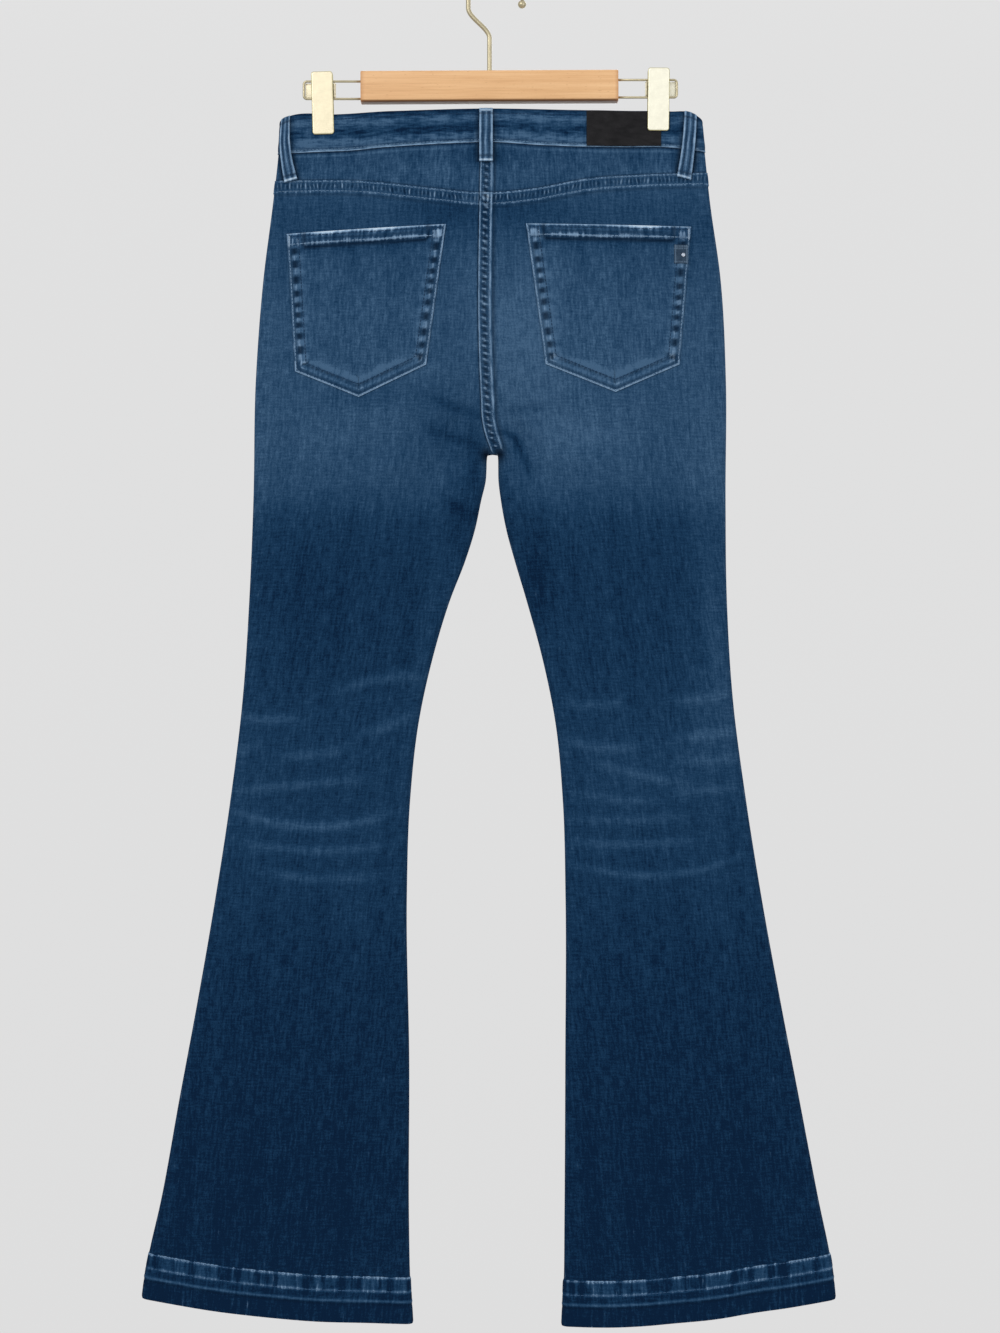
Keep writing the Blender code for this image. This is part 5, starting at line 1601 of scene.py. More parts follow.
def band_piece(name, node, face, sheet):
    cloth = Cloth(sheet)
    from_top = waist_top(face, cloth.x) - cloth.z
    from_low = cloth.z - band_seam(face, cloth.x)
    share = from_top / (from_top + from_low)
    wander = 0.03 * np.sin(cloth.x * 37 + 1.0) + 0.02 * np.sin(cloth.x * 83)
    ripple = np.sin(2 * np.pi * cloth.x / BAND_RIPPLE)
    cloth.rise -= 0.0006 * (1 - eased(from_top / 0.0014))
    cloth.rise -= 0.00020 * ridge(from_top - BAND_STITCH_TOP, 0.0008)
    cloth.rise -= 0.00022 * ridge(from_low - BAND_STITCH_LOW, 0.0008)
    cloth.rise += 0.00020 * ridge(from_low - 0.0065, 0.0030) * ripple
    tone = smooth(BAND_TONES, "fade", np.clip(share + wander, 0, 1))
    cloth.fade(tone + 0.06 * np.sin(cloth.x * 31))
    dimmer = eased(cloth.x / 0.05) * eased((0.186 - cloth.x) / 0.01)
    cloth.mark("wear", (0.86 - 0.06 * dimmer) * ridge(from_low - 0.0004, 0.0011))
    cloth.fade(0.20 * ridge(from_low - 0.0006, 0.0012))
    # painted shade along the top, where the band turns over, and beside the lower row of stitches
    cloth.mark("dark", 0.40 * ridge(from_top - 0.0004, 0.0016))
    cloth.mark("dark", 0.30 * ridge(from_low - 0.0030, 0.0012))
    shade_beside_loops(face, cloth)
    low_strip = ridge(from_low - 0.0075, 0.0042)
    cloth.pucker(0.60 * low_strip + 0.16, cloth.x, from_low)
    grain = np.stack([cloth.z + 0.7, cloth.x], axis=-1)
    make_shell(name, node, cloth, BAND_WALL, BAND_RISE, BAND_DENIM, "dark_denim", grain)


band_piece("back_waistband", "waistband_back", BACK, back_band())
for side, end in ((LEFT, BAND_JOIN_X), (RIGHT, BAND_JOIN_X + SLIT)):
    half = band_sheet(FRONT, side, end)
    band_piece(f"front_waistband_{side}", f"waistband_front_{side}", FRONT, half)
print("wall of the waistband:", BAND_WALL * 1000, "mm")

# %% [markdown]
# ## Hems
#
# A wide hem is turned up and sewn in two rows, and the edge folded inside it shows as a third
# ridge. Shrinking pulls the cloth between the rows into short upright puckers, pale on their
# crests. The bottom fold is scuffed. A hem goes all round the leg, so its grid closes on itself.

# %% Hems
HEM_WALL, HEM_ROWS, HEM_COLUMNS = WALL + SEAM_RISE, 44, 96
HEM_ROW_A, HEM_ROW_B, HEM_ROW_C = 0.0012, 0.0135, 0.0225  # stitches, stitches, and a bare ridge
HEM_SEEDS = {LEFT: 1.3, RIGHT: 4.6}  # where the blotches of each hem start


def hem_blotches(x, seed):
    """Uneven patches along a hem, from 0 to 1, a few millimetres to a few centimetres long."""
    waves = np.sin(x * 410 + seed) + np.sin(x * 173 + 2.1 * seed) + 0.8 * np.sin(x * 733 + 0.7 * seed)
    waves = waves + 0.7 * np.sin(x * 67 + 3.3 * seed) + 0.35 * np.sin(x * 1490 + seed)
    return np.clip(0.5 + waves / 4.2, 0, 1)


def hem(side):
    rows = []
    for down in np.linspace(0, HEM_HEIGHT, HEM_ROWS):
        at = lambda x, down=down: hem_top(x) - down
        zones = (SIDE_ZONE, SIDE_ZONE)
        back = leg_row(side, BACK, at, zones=zones, count=HEM_COLUMNS)
        front = leg_row(side, FRONT, at, zones=zones, count=HEM_COLUMNS)
        back[[0, -1], 1] = 0.0  # the two faces meet in the middle plane
        rows.append(np.concatenate([back, front[-2:0:-1]]))
    cloth = Cloth(rows, closed=True)
    down = hem_top(cloth.x) - cloth.z
    face = np.sign(cloth.sheet[..., 1])
    blotches = hem_blotches(cloth.x + 0.04 * face, HEM_SEEDS[side])
    blocks = eased((blotches - 0.26) / 0.36)
    between = eased((down - 0.001) / 0.002) * eased((HEM_ROW_B + 0.001 - down) / 0.002)
    ends = (1 - eased(down / 0.0012)) + eased((down - HEM_HEIGHT) / 0.002 + 1)
    cloth.rise -= 0.0006 * ends
    cloth.rise -= 0.00020 * (ridge(down - HEM_ROW_A, 0.0008) + ridge(down - HEM_ROW_B, 0.0008))
    cloth.rise += 0.00040 * between * (blotches - 0.5)
    cloth.rise += 0.00032 * ridge(down - HEM_ROW_C, 0.0010)
    cloth.rise -= 0.00022 * ridge(down - HEM_ROW_C - 0.003, 0.002)
    lower = eased((down - HEM_ROW_C - 0.0015) / 0.002)
    middle = eased((down - HEM_ROW_B) / 0.002) * (1 - lower)
    rubbed = eased((blotches - 0.24) / 0.14)
    cloth.fade(0.04 + between * (0.40 * blocks - 0.06) + 0.06 * middle - 0.05 * lower)
    cloth.fade((0.62 + 0.16 * blotches) * ridge(down - HEM_ROW_C, 0.0013))
    cloth.fade((0.20 + 0.50 * rubbed) * ridge(down - 0.0010, 0.0014))
    cloth.fade((0.24 + 0.50 * rubbed) * ridge(down - HEM_ROW_B, 0.0013))
    cloth.mark("wear", 0.76 * rubbed * ridge(down - 0.0010, 0.0012))
    cloth.mark("wear", 0.52 * rubbed * blocks * ridge(down - HEM_ROW_B, 0.0012))
    cloth.mark("wear", 0.30 * ridge(down - HEM_HEIGHT, 0.0010))
    # painted shadow under the bare ridge
    cloth.mark("dark", 0.42 * ridge(down - HEM_ROW_C - 0.0026, 0.0014))
    cloth.pucker(0.66 * between + 0.34 * lower + 0.16, cloth.x + 0.5 * face, down)
    grain, name = down_the_leg(side, cloth, 0.43), f"turned_hem_{side}"
    make_shell(name, f"hem_{side}", cloth, HEM_WALL, SEAM_RISE, HEM_DENIM, "dark_denim", grain)


for side in SIDES:
    hem(side)
print("height of a hem:", round(HEM_HEIGHT, 4), "m")

# %% [markdown]
# ## Back pockets
#
# A patch pocket is a five-cornered piece with its edges turned under and a folded hem along
# its opening. The grid's columns fan from the top corners to the point, so its rim is straight
# on all five sides. A cut made through a square grid would leave it ragged.

# %% Measures of the back pockets
Pocket = namedtuple("Pocket", "outer_top inner_top outer_low tip inner_low rubbed tacked")
# Rubbed: where the opening is worn white, in x. Tacked: how pale the outer and inner corners are.
BACK_POCKETS = {
    LEFT: Pocket(
        Place(-0.1855, -0.2417),
        Place(-0.0397, -0.2348),
        Place(-0.1773, -0.3683),
        Place(-0.1190, -0.3925),
        Place(-0.0576, -0.3631),
        (-0.174, -0.058),
        (0.45, 0.80),
    ),
    RIGHT: Pocket(
        Place(0.1846, -0.2351),
        Place(0.0334, -0.2342),
        Place(0.1734, -0.3619),
        Place(0.1149, -0.3879),
        Place(0.0513, -0.3625),
        (0.098, 0.168),
        (0.48, 0.50),
    ),
}
POCKET_WALL, POCKET_CLEAR, POCKET_HEM = 0.0013, 0.0005, 0.0115
POCKET_STRIP = 0.0092  # between the two rows of stitches
for side, pocket in BACK_POCKETS.items():
    print(f"{side} pocket: {abs(pocket.outer_top.x - pocket.inner_top.x) * 1000:.0f} mm wide at the top")

# %% Grid of a pocket
POCKET_ROWS, POCKET_COLUMNS = 64, 58
EDGE_SHARES = np.array((0, 0.003, 0.008, 0.014, 0.022, 0.032, 0.044, 0.058, 0.072, 0.086, 0.100))


def crowded(count):
    """Shares from 0 to 1, crowded at both ends."""
    between = np.linspace(EDGE_SHARES[-1], 1 - EDGE_SHARES[-1], count)[1:-1]
    return np.concatenate([EDGE_SHARES, between, 1 - EDGE_SHARES[::-1]])


def pocket_sheet(pocket, side):
    tip_share = (pocket.tip.x - pocket.outer_low.x) / (pocket.inner_low.x - pocket.outer_low.x)
    shares = np.unique(np.append(crowded(POCKET_COLUMNS), tip_share))
    low_z = (pocket.outer_low.z, pocket.tip.z, pocket.inner_low.z)
    low = np.interp(shares, (0, tip_share, 1), low_z)
    top = np.interp(shares, (0, 1), (pocket.outer_top.z, pocket.inner_top.z))
    down = crowded(POCKET_ROWS)[:, None]
    outer_x = pocket.outer_top.x + (pocket.outer_low.x - pocket.outer_top.x) * down
    inner_x = pocket.inner_top.x + (pocket.inner_low.x - pocket.inner_top.x) * down
    x = outer_x + (inner_x - outer_x) * shares
    z = top + (low - top) * down
    return on_cloth(side, BACK, x, z)


def line_distance(cloth, start, end):
    """How far each point is from the line through two places, and how far along it."""
    way = np.array((end.x - start.x, end.z - start.z))
    length = np.hypot(*way)
    dx, dz = cloth.x - start.x, cloth.z - start.z
    return np.abs(dx * way[1] - dz * way[0]) / length, (dx * way[0] + dz * way[1]) / length


def edge_of(cloth, pocket):
    """Distance from the nearest turned edge below the opening, and the way along it."""
    corners = (pocket.outer_top, pocket.outer_low, pocket.tip, pocket.inner_low, pocket.inner_top)
    edge, along = line_distance(cloth, *corners[:2])
    for start, end in zip(corners[1:-1], corners[2:]):
        distance, run = line_distance(cloth, start, end)
        along = np.where(distance < edge, run, along)
        edge = np.minimum(edge, distance)
    return edge, along


print("points of a pocket's grid:", pocket_sheet(BACK_POCKETS[LEFT], LEFT).shape[:2])

# %% [markdown]
# Hands rub the hem of the opening until the yarns break and the white shows. Washing does the rest:
# short pleats inside the upright edges, pale on their crests, a pale bruise inside the point, and a pale
# block under each bartack. Painted shade darkens the hollows of the pleats, the inner rows of stitches,
# the hollows beside the tacks and the cloth under the hem. All of it is laid on by distance from the
# edges.

# %% Strips inside a pocket's edges
SIDE_PLEATS, POINT_PLEATS, HEM_RIBS = 0.0112, 0.0046, 0.0031  # from one to the next


def dress_pocket_sides(cloth, edge, along, here):
    """The strip inside each upright edge, where the cloth bunches in short pleats, pale on their crests,
    with painted shade in their hollows.
    """
    lumps = np.sin(2 * np.pi * along / SIDE_PLEATS + 1.6 * np.sin(along * 83))
    pale = eased(0.5 + 0.9 * lumps)
    strip = ridge(edge - 0.0060, 0.0036) * here
    cloth.rise += 0.00040 * strip * lumps
    cloth.mark("dark", 0.78 * strip * (1 - pale))
    soft = ridge(edge - 0.0118, 0.0030) * here
    cloth.fade(0.46 * strip * pale + (0.16 + 0.12 * lumps) * soft)
    cloth.mark("wear", 0.46 * strip * pale)
    cloth.pucker(0.5 * strip + 0.3 * soft, along, edge)


def dress_pocket_point(cloth, edge, along, here, pocket):
    """The strip round the point: a dashed row of painted shade along the inner stitches, a pale bruise
    inside it, and painted shade near its corners.
    """
    lumps = np.sin(2 * np.pi * along / POINT_PLEATS + 1.5 * np.sin(along * 97))
    cloth.rise += 0.00014 * ridge(edge - 0.0060, 0.0034) * here * lumps
    cloth.mark("dark", ridge(edge - POCKET_STRIP, 0.0012) * here * (0.46 + 0.26 * lumps))
    cloth.fade(0.24 * here * ridge(edge - 0.0058, 0.0012) * (1 + lumps))
    uneven = 0.80 + 0.20 * np.sin(along * 260 + 1.0)
    cloth.fade(0.60 * here * uneven * ridge(edge - POCKET_STRIP - 0.0044, 0.0032))
    cloth.pucker(0.8 * here * ridge(edge - POCKET_STRIP - 0.0030, 0.0050), along, edge)
    for corner in (pocket.outer_low, pocket.tip, pocket.inner_low):
        near = cloth.away_from(corner.x, corner.z)
        cloth.mark("wear", 0.66 * ridge(near - 0.006, 0.007) * ridge(edge - 0.0056, 0.0009))
        cloth.mark("dark", 0.50 * ridge(near - 0.004, 0.006) * ridge(edge - 0.0032, 0.0012))
    for corner, way in ((pocket.outer_low, 1), (pocket.inner_low, -1)):
        way = way * inward(LEFT if pocket.tip.x < 0 else RIGHT)
        near = cloth.away_from(corner.x + 0.0075 * way, corner.z + 0.0080)
        cloth.mark("wear", 0.72 * ridge(near, 0.0026))


print("pitch of the pleats:", SIDE_PLEATS, "m, and round the point:", POINT_PLEATS, "m")

# %% Hem of a pocket
def dress_pocket_hem(cloth, top, run, edge, rubbed):
    """The folded hem of the opening, with its ribs, its rubbed rim and the shadow under it."""
    teeth = 0.5 + 0.5 * np.sin(2 * np.pi * run / HEM_RIBS + 2.0 * np.sin(run * 140))
    inside = 1 - eased((top - POCKET_HEM) / SEAM_STEP)
    along_row = eased((edge - 0.0130) / 0.003)
    row = top - POCKET_HEM + 0.0014 - 0.0004 * np.sin(run * 95)
    cloth.rise += 0.0006 * inside + 0.00012 * inside * (teeth - 0.5)
    cloth.fade(inside * (0.05 + 0.34 * (teeth - 0.5)))
    cloth.fade(0.42 * rubbed * ridge(top - 0.0036, 0.0020) * teeth)
    thickness = 0.0010 + (0.0010 + 0.0018 * teeth) * rubbed
    cloth.mark("wear", (0.64 + 0.80 * rubbed) * ridge(top - 0.0002, thickness))
    cloth.mark("wear", 0.78 * along_row * ridge(row, 0.0015))
    # painted shade inside the hem above its lower row, and painted shadow under the hem, in the dark
    # mark and in the darker fade below it
    cloth.mark("dark", 0.36 * inside * along_row * ridge(row + 0.0034, 0.0014))
    cloth.mark("dark", 0.84 * along_row * ridge(top - POCKET_HEM - 0.0020, 0.0018))
    cloth.fade(-0.14 * (1 - inside) * (1 - eased((top - POCKET_HEM) / 0.014)))
    cloth.pucker(0.60 * inside, run, top)


def dress_pocket_corners(cloth, top, pocket, side):
    """A pale bruise at each end of the hem, where the tack is, and painted shade in the hollow beside
    it.
    """
    ways = (inward(side), -inward(side))
    for corner, way, paleness in zip((pocket.outer_top, pocket.inner_top), ways, pocket.tacked):
        away = (cloth.x - corner.x) * way
        block = eased((away - 0.0032) / 0.0012) * eased((0.0134 - away) / 0.0016)
        block = block * eased((top - 0.0036) / 0.0012) * eased((0.0124 - top) / 0.0014)
        cloth.mark("wear", paleness * block)
        cloth.mark("dark", 0.65 * ridge(away - 0.0160, 0.0018) * (top < POCKET_HEM))
        cloth.mark("dark", 0.40 * ridge(away - 0.0026, 0.0008) * (top < POCKET_HEM))


print("height of a pocket's hem:", POCKET_HEM, "m")

# %% Back pockets
def back_pocket(side):
    pocket = BACK_POCKETS[side]
    cloth = Cloth(pocket_sheet(pocket, side))
    edge, along = edge_of(cloth, pocket)
    top, run = line_distance(cloth, pocket.outer_top, pocket.inner_top)
    start, end = pocket.rubbed
    rubbed = eased((cloth.x - start) / 0.02) * eased((end - cloth.x) / 0.02)
    rubbed = np.maximum(rubbed * (0.72 + 0.28 * np.sin(cloth.x * 130 + 2.0)), 0.22)
    below_hem = eased((top - POCKET_HEM) / SEAM_STEP)
    on_side = np.where(cloth.z > max(pocket.outer_low.z, pocket.inner_low.z) + 0.004, 1.0, 0.0)
    cloth.fade(faded_and_shaded(side, BACK, cloth.x, cloth.z) + (0.02 if side == RIGHT else -0.01))
    cloth.rise -= 0.0007 * (1 - eased(np.minimum(edge, top) / 0.0016))
    grooves = ridge(edge - STITCH_INSET, STITCH_GROOVE) + ridge(edge - POCKET_STRIP, STITCH_GROOVE)
    cloth.rise -= 0.00016 * grooves
    middle = (pocket.outer_low.x + pocket.inner_low.x) / 2
    inner = eased(0.5 + (cloth.x - middle) * inward(side) / 0.04)
    high = eased(1 - top / 0.05)
    rim = 0.84 - on_side * (0.42 - 0.14 * inner - 0.26 * inner * high)
    cloth.mark("wear", rim * ridge(edge - 0.0004, 0.0010))
    cloth.fade(0.24 * on_side * ridge(edge - 0.0006, 0.0012))
    # painted shade in the groove inside the turned edge
    cloth.mark("dark", 0.42 * below_hem * ridge(edge - 0.0030, 0.0010))
    dress_pocket_sides(cloth, edge, along, below_hem * on_side)
    dress_pocket_point(cloth, edge, along, 1 - on_side, pocket)
    dress_pocket_hem(cloth, top, run, edge, rubbed)
    dress_pocket_corners(cloth, top, pocket, side)
    grain, lift = down_the_leg(side, cloth, 0.23), POCKET_CLEAR + POCKET_WALL
    name, node = f"patch_pocket_{side}", f"back_pocket_{side}"
    make_shell(name, node, cloth, POCKET_WALL, lift, FADED_DENIM, "faded_denim", grain)


for side in SIDES:
    back_pocket(side)
print("a pocket stands", round((POCKET_CLEAR + POCKET_WALL) * 1000, 2), "mm off the leg")

# %% [markdown]
# ## Belt loops
#
# A belt loop is a folded strip that is covered with two rows of stitches. Its edges and its middle stand
# up as three thin ridges, which rub pale, and painted shade darkens the rows of stitches between them
# and a line just inside each end. It is tacked down above the waistband and below it, and stands a
# little off the cloth between.

# %% How a belt loop stands
LOOP_WALL = 0.0018
Stand = namedtuple("Stand", "share height")  # how far a loop stands off the cloth
LOOP_STAND = rows_of(
    Stand,
    (0.0, 0.0011), (0.1, 0.0012), (0.3, 0.0026), (0.55, 0.0027), (0.8, 0.0019), (1.0, 0.0014),
)
FOOT_SLOPE = 0.28  # of the foot of an outer loop, which falls away from the middle
LOOP_ROWS_OF_POINTS = 90
LOOP_ACROSS = np.array([-0.5, -0.495, -0.48, *np.linspace(-0.46, 0.46, 27), 0.48, 0.495, 0.5])


def cloth_normal(side, face, x, z):
    """The way the cloth faces at one point."""
    step = 1e-5
    at, right, high = on_cloth(side, face, np.array([x, x + step, x]), np.array([z, z, z + step]))
    normal = Vector(np.cross(high - at, right - at)).normalized()
    return normal if normal.y * face > 0 else -normal


def loop_sheet(loop):
    """Rows across a belt loop, from its top to its foot."""
    rows = []
    for share in np.linspace(0, 1, LOOP_ROWS_OF_POINTS):
        x, z = loop_middle(loop, share)
        normal = cloth_normal(loop.side, loop.face, x, z)
        side_way = normal.cross(Vector((0, 0, 1))).normalized()
        stand = float(smooth(LOOP_STAND, "height", share))
        middle = Vector(on_cloth(loop.side, loop.face, x, z)) + normal * (stand + LOOP_WALL)
        width = loop_width(loop, share)
        row = np.array([middle + side_way * width * step for step in LOOP_ACROSS])
        droop = waist_top(loop.face, row[:, 0]) - waist_top(loop.face, x)
        row[:, 2] += droop * (1 - eased(share / 0.4))
        if abs(x) > 0.05:
            row[:, 2] += FOOT_SLOPE * inward(loop.side) * (row[:, 0] - x) * eased(share / 0.5 - 1)
        rows.append(row)
    return rows


print("a loop stands up to", max(stand.height for stand in LOOP_STAND) * 1000, "mm off the cloth")

# %% Belt loops
LOOP_RIDGES = (-0.44, 0.0, 0.44)  # across the loop, in shares of its width
LOOP_STITCHES = (-0.23, 0.23)


def belt_loop(loop):
    cloth = Cloth(loop_sheet(loop))
    shares = np.linspace(0, 1, LOOP_ROWS_OF_POINTS)
    over = np.broadcast_to(LOOP_ACROSS, cloth.x.shape)
    down = np.broadcast_to(shares[:, None] * loop.length, cloth.x.shape)
    from_end = np.minimum(down, loop.length - down)
    for spot in LOOP_RIDGES:
        cloth.rise += 0.00034 * ridge(over - spot, 0.09)
        cloth.mark("wear", (0.50 if spot == 0 else 0.80) * ridge(over - spot, 0.12))
        cloth.fade(0.16 * ridge(over - spot, 0.13))
    for spot in LOOP_STITCHES:
        cloth.rise -= 0.00032 * ridge(over - spot, 0.07)
        # painted shade in the rows of stitches
        cloth.mark("dark", 0.40 * ridge(over - spot, 0.085))
    cloth.rise -= 0.0008 * (1 - eased((0.5 - np.abs(over)) / 0.06))
    cloth.rise -= 0.0006 * (1 - eased(from_end / 0.0008))
    cloth.rise -= 0.00035 * ridge(from_end - 0.0018, 0.0012)
    cloth.mark("wear", 1.30 * ridge(loop.length - down - 0.0014, 0.0012))
    # painted shadow just inside each tack
    cloth.mark("dark", 0.6 * ridge(from_end - 0.0050, 0.0012))
    cloth.fade(0.74 + 0.12 * np.sin(down * 190))
    cloth.pucker(0.4, down, over * loop.low_width)
    grain = np.stack([over * loop.low_width + 0.4, cloth.z], axis=-1)
    name, node = f"loop_{loop.name}", f"belt_loop_{loop.name}"
    make_shell(name, node, cloth, LOOP_WALL, 0, LOOP_DENIM, "belt_loop_denim", grain)


LOOP_DENIM = denim("belt_loop_denim", mottle=0.12, slub=0.34, pucker=0.8, comb=0)
for loop in BELT_LOOPS:
    belt_loop(loop)
    print(f"loop_{loop.name}: {loop.length * 1000:.0f} mm long")

# %% [markdown]
# ## Leather patch, label, stud and button
#
# The patch is black leather with a soft natural grain, left bare. The label is a small woven
# square at the edge of the right pocket, with a bright stud through it. The button closes the
# front. They are small, but they are the only smooth, shiny things on the jeans, so the eye
# finds them first.

# %% Leather patch
Patch = namedtuple("Patch", "start end margin wall")
PATCH, PATCH_ROWS, PATCH_COLUMNS = Patch(0.0889, 0.1577, 0.02, 0.0010), 60, 120


def leather():
    """Dyed leather: cells of grain between fine dark creases."""
    made = Finish("black_leather", roughness=0.60, specular=0.12)
    place = made.place()
    cells = made.node(
        "ShaderNodeTexVoronoi",
        {"Vector": made.stretched(place, (1, 1, 1)), "Scale": 900.0},
        "Distance",
        feature="DISTANCE_TO_EDGE",
    )
    cells = made.between(0.0, 0.22, cells)
    scuffs = made.noise(place, (90, 90, 240), 3)
    shade = made.plus(0.45, (scuffs, 1.1), (cells, 0.12))
    made.colour(made.ramp(shade, ((0.2, shown_as(15, 15, 17)), (0.9, shown_as(37, 36, 38)))))
    made.bump(made.plus(cells, (scuffs, 0.8)), 0.00012)
    return made.material


def patch():
    shares, width = np.linspace(0, 1, PATCH_COLUMNS), PATCH.end - PATCH.start
    x = PATCH.start + width * shares
    high = waist_top(BACK, x)
    drop = band_seam(BACK, x) + GAP / 2 - high
    downs = np.linspace(PATCH.margin, 1 - PATCH.margin, PATCH_ROWS)
    cloth = Cloth([on_cloth(RIGHT, BACK, x, high + drop * down) for down in downs])
    height = float(-drop.mean()) * (1 - 2 * PATCH.margin)
    down = np.linspace(0, height, PATCH_ROWS)[:, None]
    from_end = np.minimum(width * shares, width * (1 - shares))
    edge = np.minimum(np.minimum(down, down[::-1]), from_end)
    cloth.rise -= 0.00035 * (1 - eased(edge / 0.0007))
    cloth.rise -= 0.00012 * ridge(edge - 0.0017, 0.0005)
    lift, black = BAND_RISE + GAP + PATCH.wall, leather()
    grain = np.stack([cloth.x, cloth.z], axis=-1)
    make_shell("leather_patch", "patch", cloth, PATCH.wall, lift, black, "patch_leather", grain, black)


patch()
print("the patch is", round((PATCH.end - PATCH.start) * 1000), "mm wide")

# %% Woven label
LABEL_YARN = BANDS_PER_SCALE / 420.0  # from one yarn of the label to the next
TAB_CENTRE, TAB_SIZE, TAB_WALL = Place(0.1750, -0.2607), (0.0125, 0.0172), 0.0008
TAB_ROWS, TAB_COLUMNS = 38, 30


def woven_label():
    """A close plain weave of grey yarn."""
    made = Finish("grey_label", roughness=0.70, specular=0.10)
    place = made.place()
    warp, weft = (made.bands(place, LABEL_YARN, axis, 0.6) for axis in "XZ")
    weave = made.math("MAXIMUM", warp, weft)
    blotch = made.noise(place, (260, 260, 260), 2)
    shade = made.plus(0.0, (weave, 0.7), (blotch, 0.7))
    grey = made.ramp(shade, ((0.2, shown_as(20, 40, 62)), (0.8, shown_as(60, 78, 96))))
    made.colour(made.mix(made.attribute("wear"), grey, (*shown_as(100, 122, 144), 1)))
    made.bump(weave, 0.00016)
    return made.material


def tab():
    width, height = TAB_SIZE
    x = TAB_CENTRE.x + width * np.linspace(-0.5, 0.5, TAB_COLUMNS)
    heights = TAB_CENTRE.z + height * np.linspace(0.5, -0.5, TAB_ROWS)
    cloth = Cloth([on_cloth(RIGHT, BACK, x, z) for z in heights])
    across = width / 2 - np.abs(cloth.x - TAB_CENTRE.x)
    edge = np.minimum(across, height / 2 - np.abs(cloth.z - TAB_CENTRE.z))
    cloth.rise -= 0.00040 * (1 - eased(edge / 0.0006))
    cloth.rise -= 0.00014 * ridge(edge - 0.0018, 0.0005)
    cloth.mark("wear", 0.60 * ridge(across - 0.0010, 0.0006))
    down = TAB_CENTRE.z + height / 2 - cloth.z
    for row in (0.0014, 0.0034, height - 0.0014):
        cloth.mark("wear", 0.7 * ridge(down - row, 0.0006) * (np.sin(across * 4200) > 0))
    lift, grey = POCKET_CLEAR + POCKET_WALL + GAP + TAB_WALL, woven_label()
    grain = np.stack([cloth.x, cloth.z], axis=-1)
    make_shell("pocket_label", "pocket_tab", cloth, TAB_WALL, lift, grey, "grey_tab", grain, grey)


tab()
print("the label is", TAB_SIZE[0] * 1000, "by", TAB_SIZE[1] * 1000, "mm")

# %% Turned pieces
Turned = namedtuple("Turned", "radius rise profile")
Ring = namedtuple("Ring", "radius height")  # in shares of the whole radius and rise


def grid_mesh(name, points, close_rows=False, caps=False):
    """A mesh over a grid of points, closed round its rows and capped at its ends if asked."""
    rows, columns = points.shape[:2]
    at = np.arange(rows * columns).reshape(rows, columns)
    if close_rows:
        at = np.concatenate([at, at[:, :1]], axis=1)
    corners = (at[:-1, :-1], at[1:, :-1], at[1:, 1:], at[:-1, 1:])
    faces = np.stack(corners, axis=-1).reshape(-1, 4).tolist()
    if caps:
        faces += [at[0, :columns].tolist(), at[-1, :columns][::-1].tolist()]
    mesh = bpy.data.meshes.new(name)
    mesh.from_pydata(points.reshape(-1, 3).tolist(), [], faces)
    shape = bmesh.new()
    shape.from_mesh(mesh)
    bmesh.ops.remove_doubles(shape, verts=shape.verts, dist=1e-7)
    bmesh.ops.recalc_face_normals(shape, faces=shape.faces)
    shape.to_mesh(mesh)
    shape.free()
    mesh.shade_smooth()
    mesh.set_sharp_from_angle(angle=math.radians(40))
    return mesh


def turned(name, shape, at, normal, finish, slot, node, steps=56):
    """A turned piece that faces along the normal."""
    turns = np.linspace(0, 2 * math.pi, steps, endpoint=False)
    side = Vector(normal).orthogonal().normalized()
    other = Vector(normal).cross(side)
    out = np.outer(np.cos(turns), side) + np.outer(np.sin(turns), other)
    rows = []
    for ring in shape.profile:
        up = np.array(normal) * ring.height * shape.rise
        rows.append(np.array(at) + out * ring.radius * shape.radius + up)
    mesh = grid_mesh(name, np.array(rows), close_rows=True)
    return new_object(name, mesh, [finish], slot, node)


print("a turned piece is a list of", Ring._fields, "rings")

# %% Metal
def metal(name, colour, roughness, brushed=(900, 900, 900), depth=0.00004, metallic=1.0, rim=None):
    """A plated metal, with the fine scratches of use. Lacquer over it makes it less metallic, and a rim
    colour paints shade where the plate turns away from its flat side."""
    made = Finish(name, roughness=roughness, specular=0.5, metallic=metallic)
    place = made.place()
    scratches = made.noise(place, brushed, 2)
    patches = made.noise(place, (140, 140, 140), 2)
    shade = made.plus(0.5, (patches, 0.7), (scratches, 0.35))
    dark = tuple(0.80 * part for part in colour)
    colour = made.ramp(shade, ((0.2, dark), (0.7, colour)))
    if rim:
        # painted shade: the rim colour is mixed in where the surface turns away from facing along Y
        away = made.math("ABSOLUTE", made.part(made.facing(), "Y"))
        colour = made.mix(made.between(0.995, 0.80, away), colour, (*rim, 1))
    made.colour(colour)
    span = {"Value": shade, "To Min": roughness * 1.25, "To Max": roughness * 0.8}
    made.feed(made.shader.inputs["Roughness"], made.node("ShaderNodeMapRange", span))
    made.bump(scratches, depth)
    return made.material


SILVER = metal("bright_steel", (0.46, 0.51, 0.59), 0.36)
BRASS = metal("aged_brass", (0.52, 0.42, 0.27), 0.34, depth=0.00008)
print("metals:", SILVER.name, "and", BRASS.name)

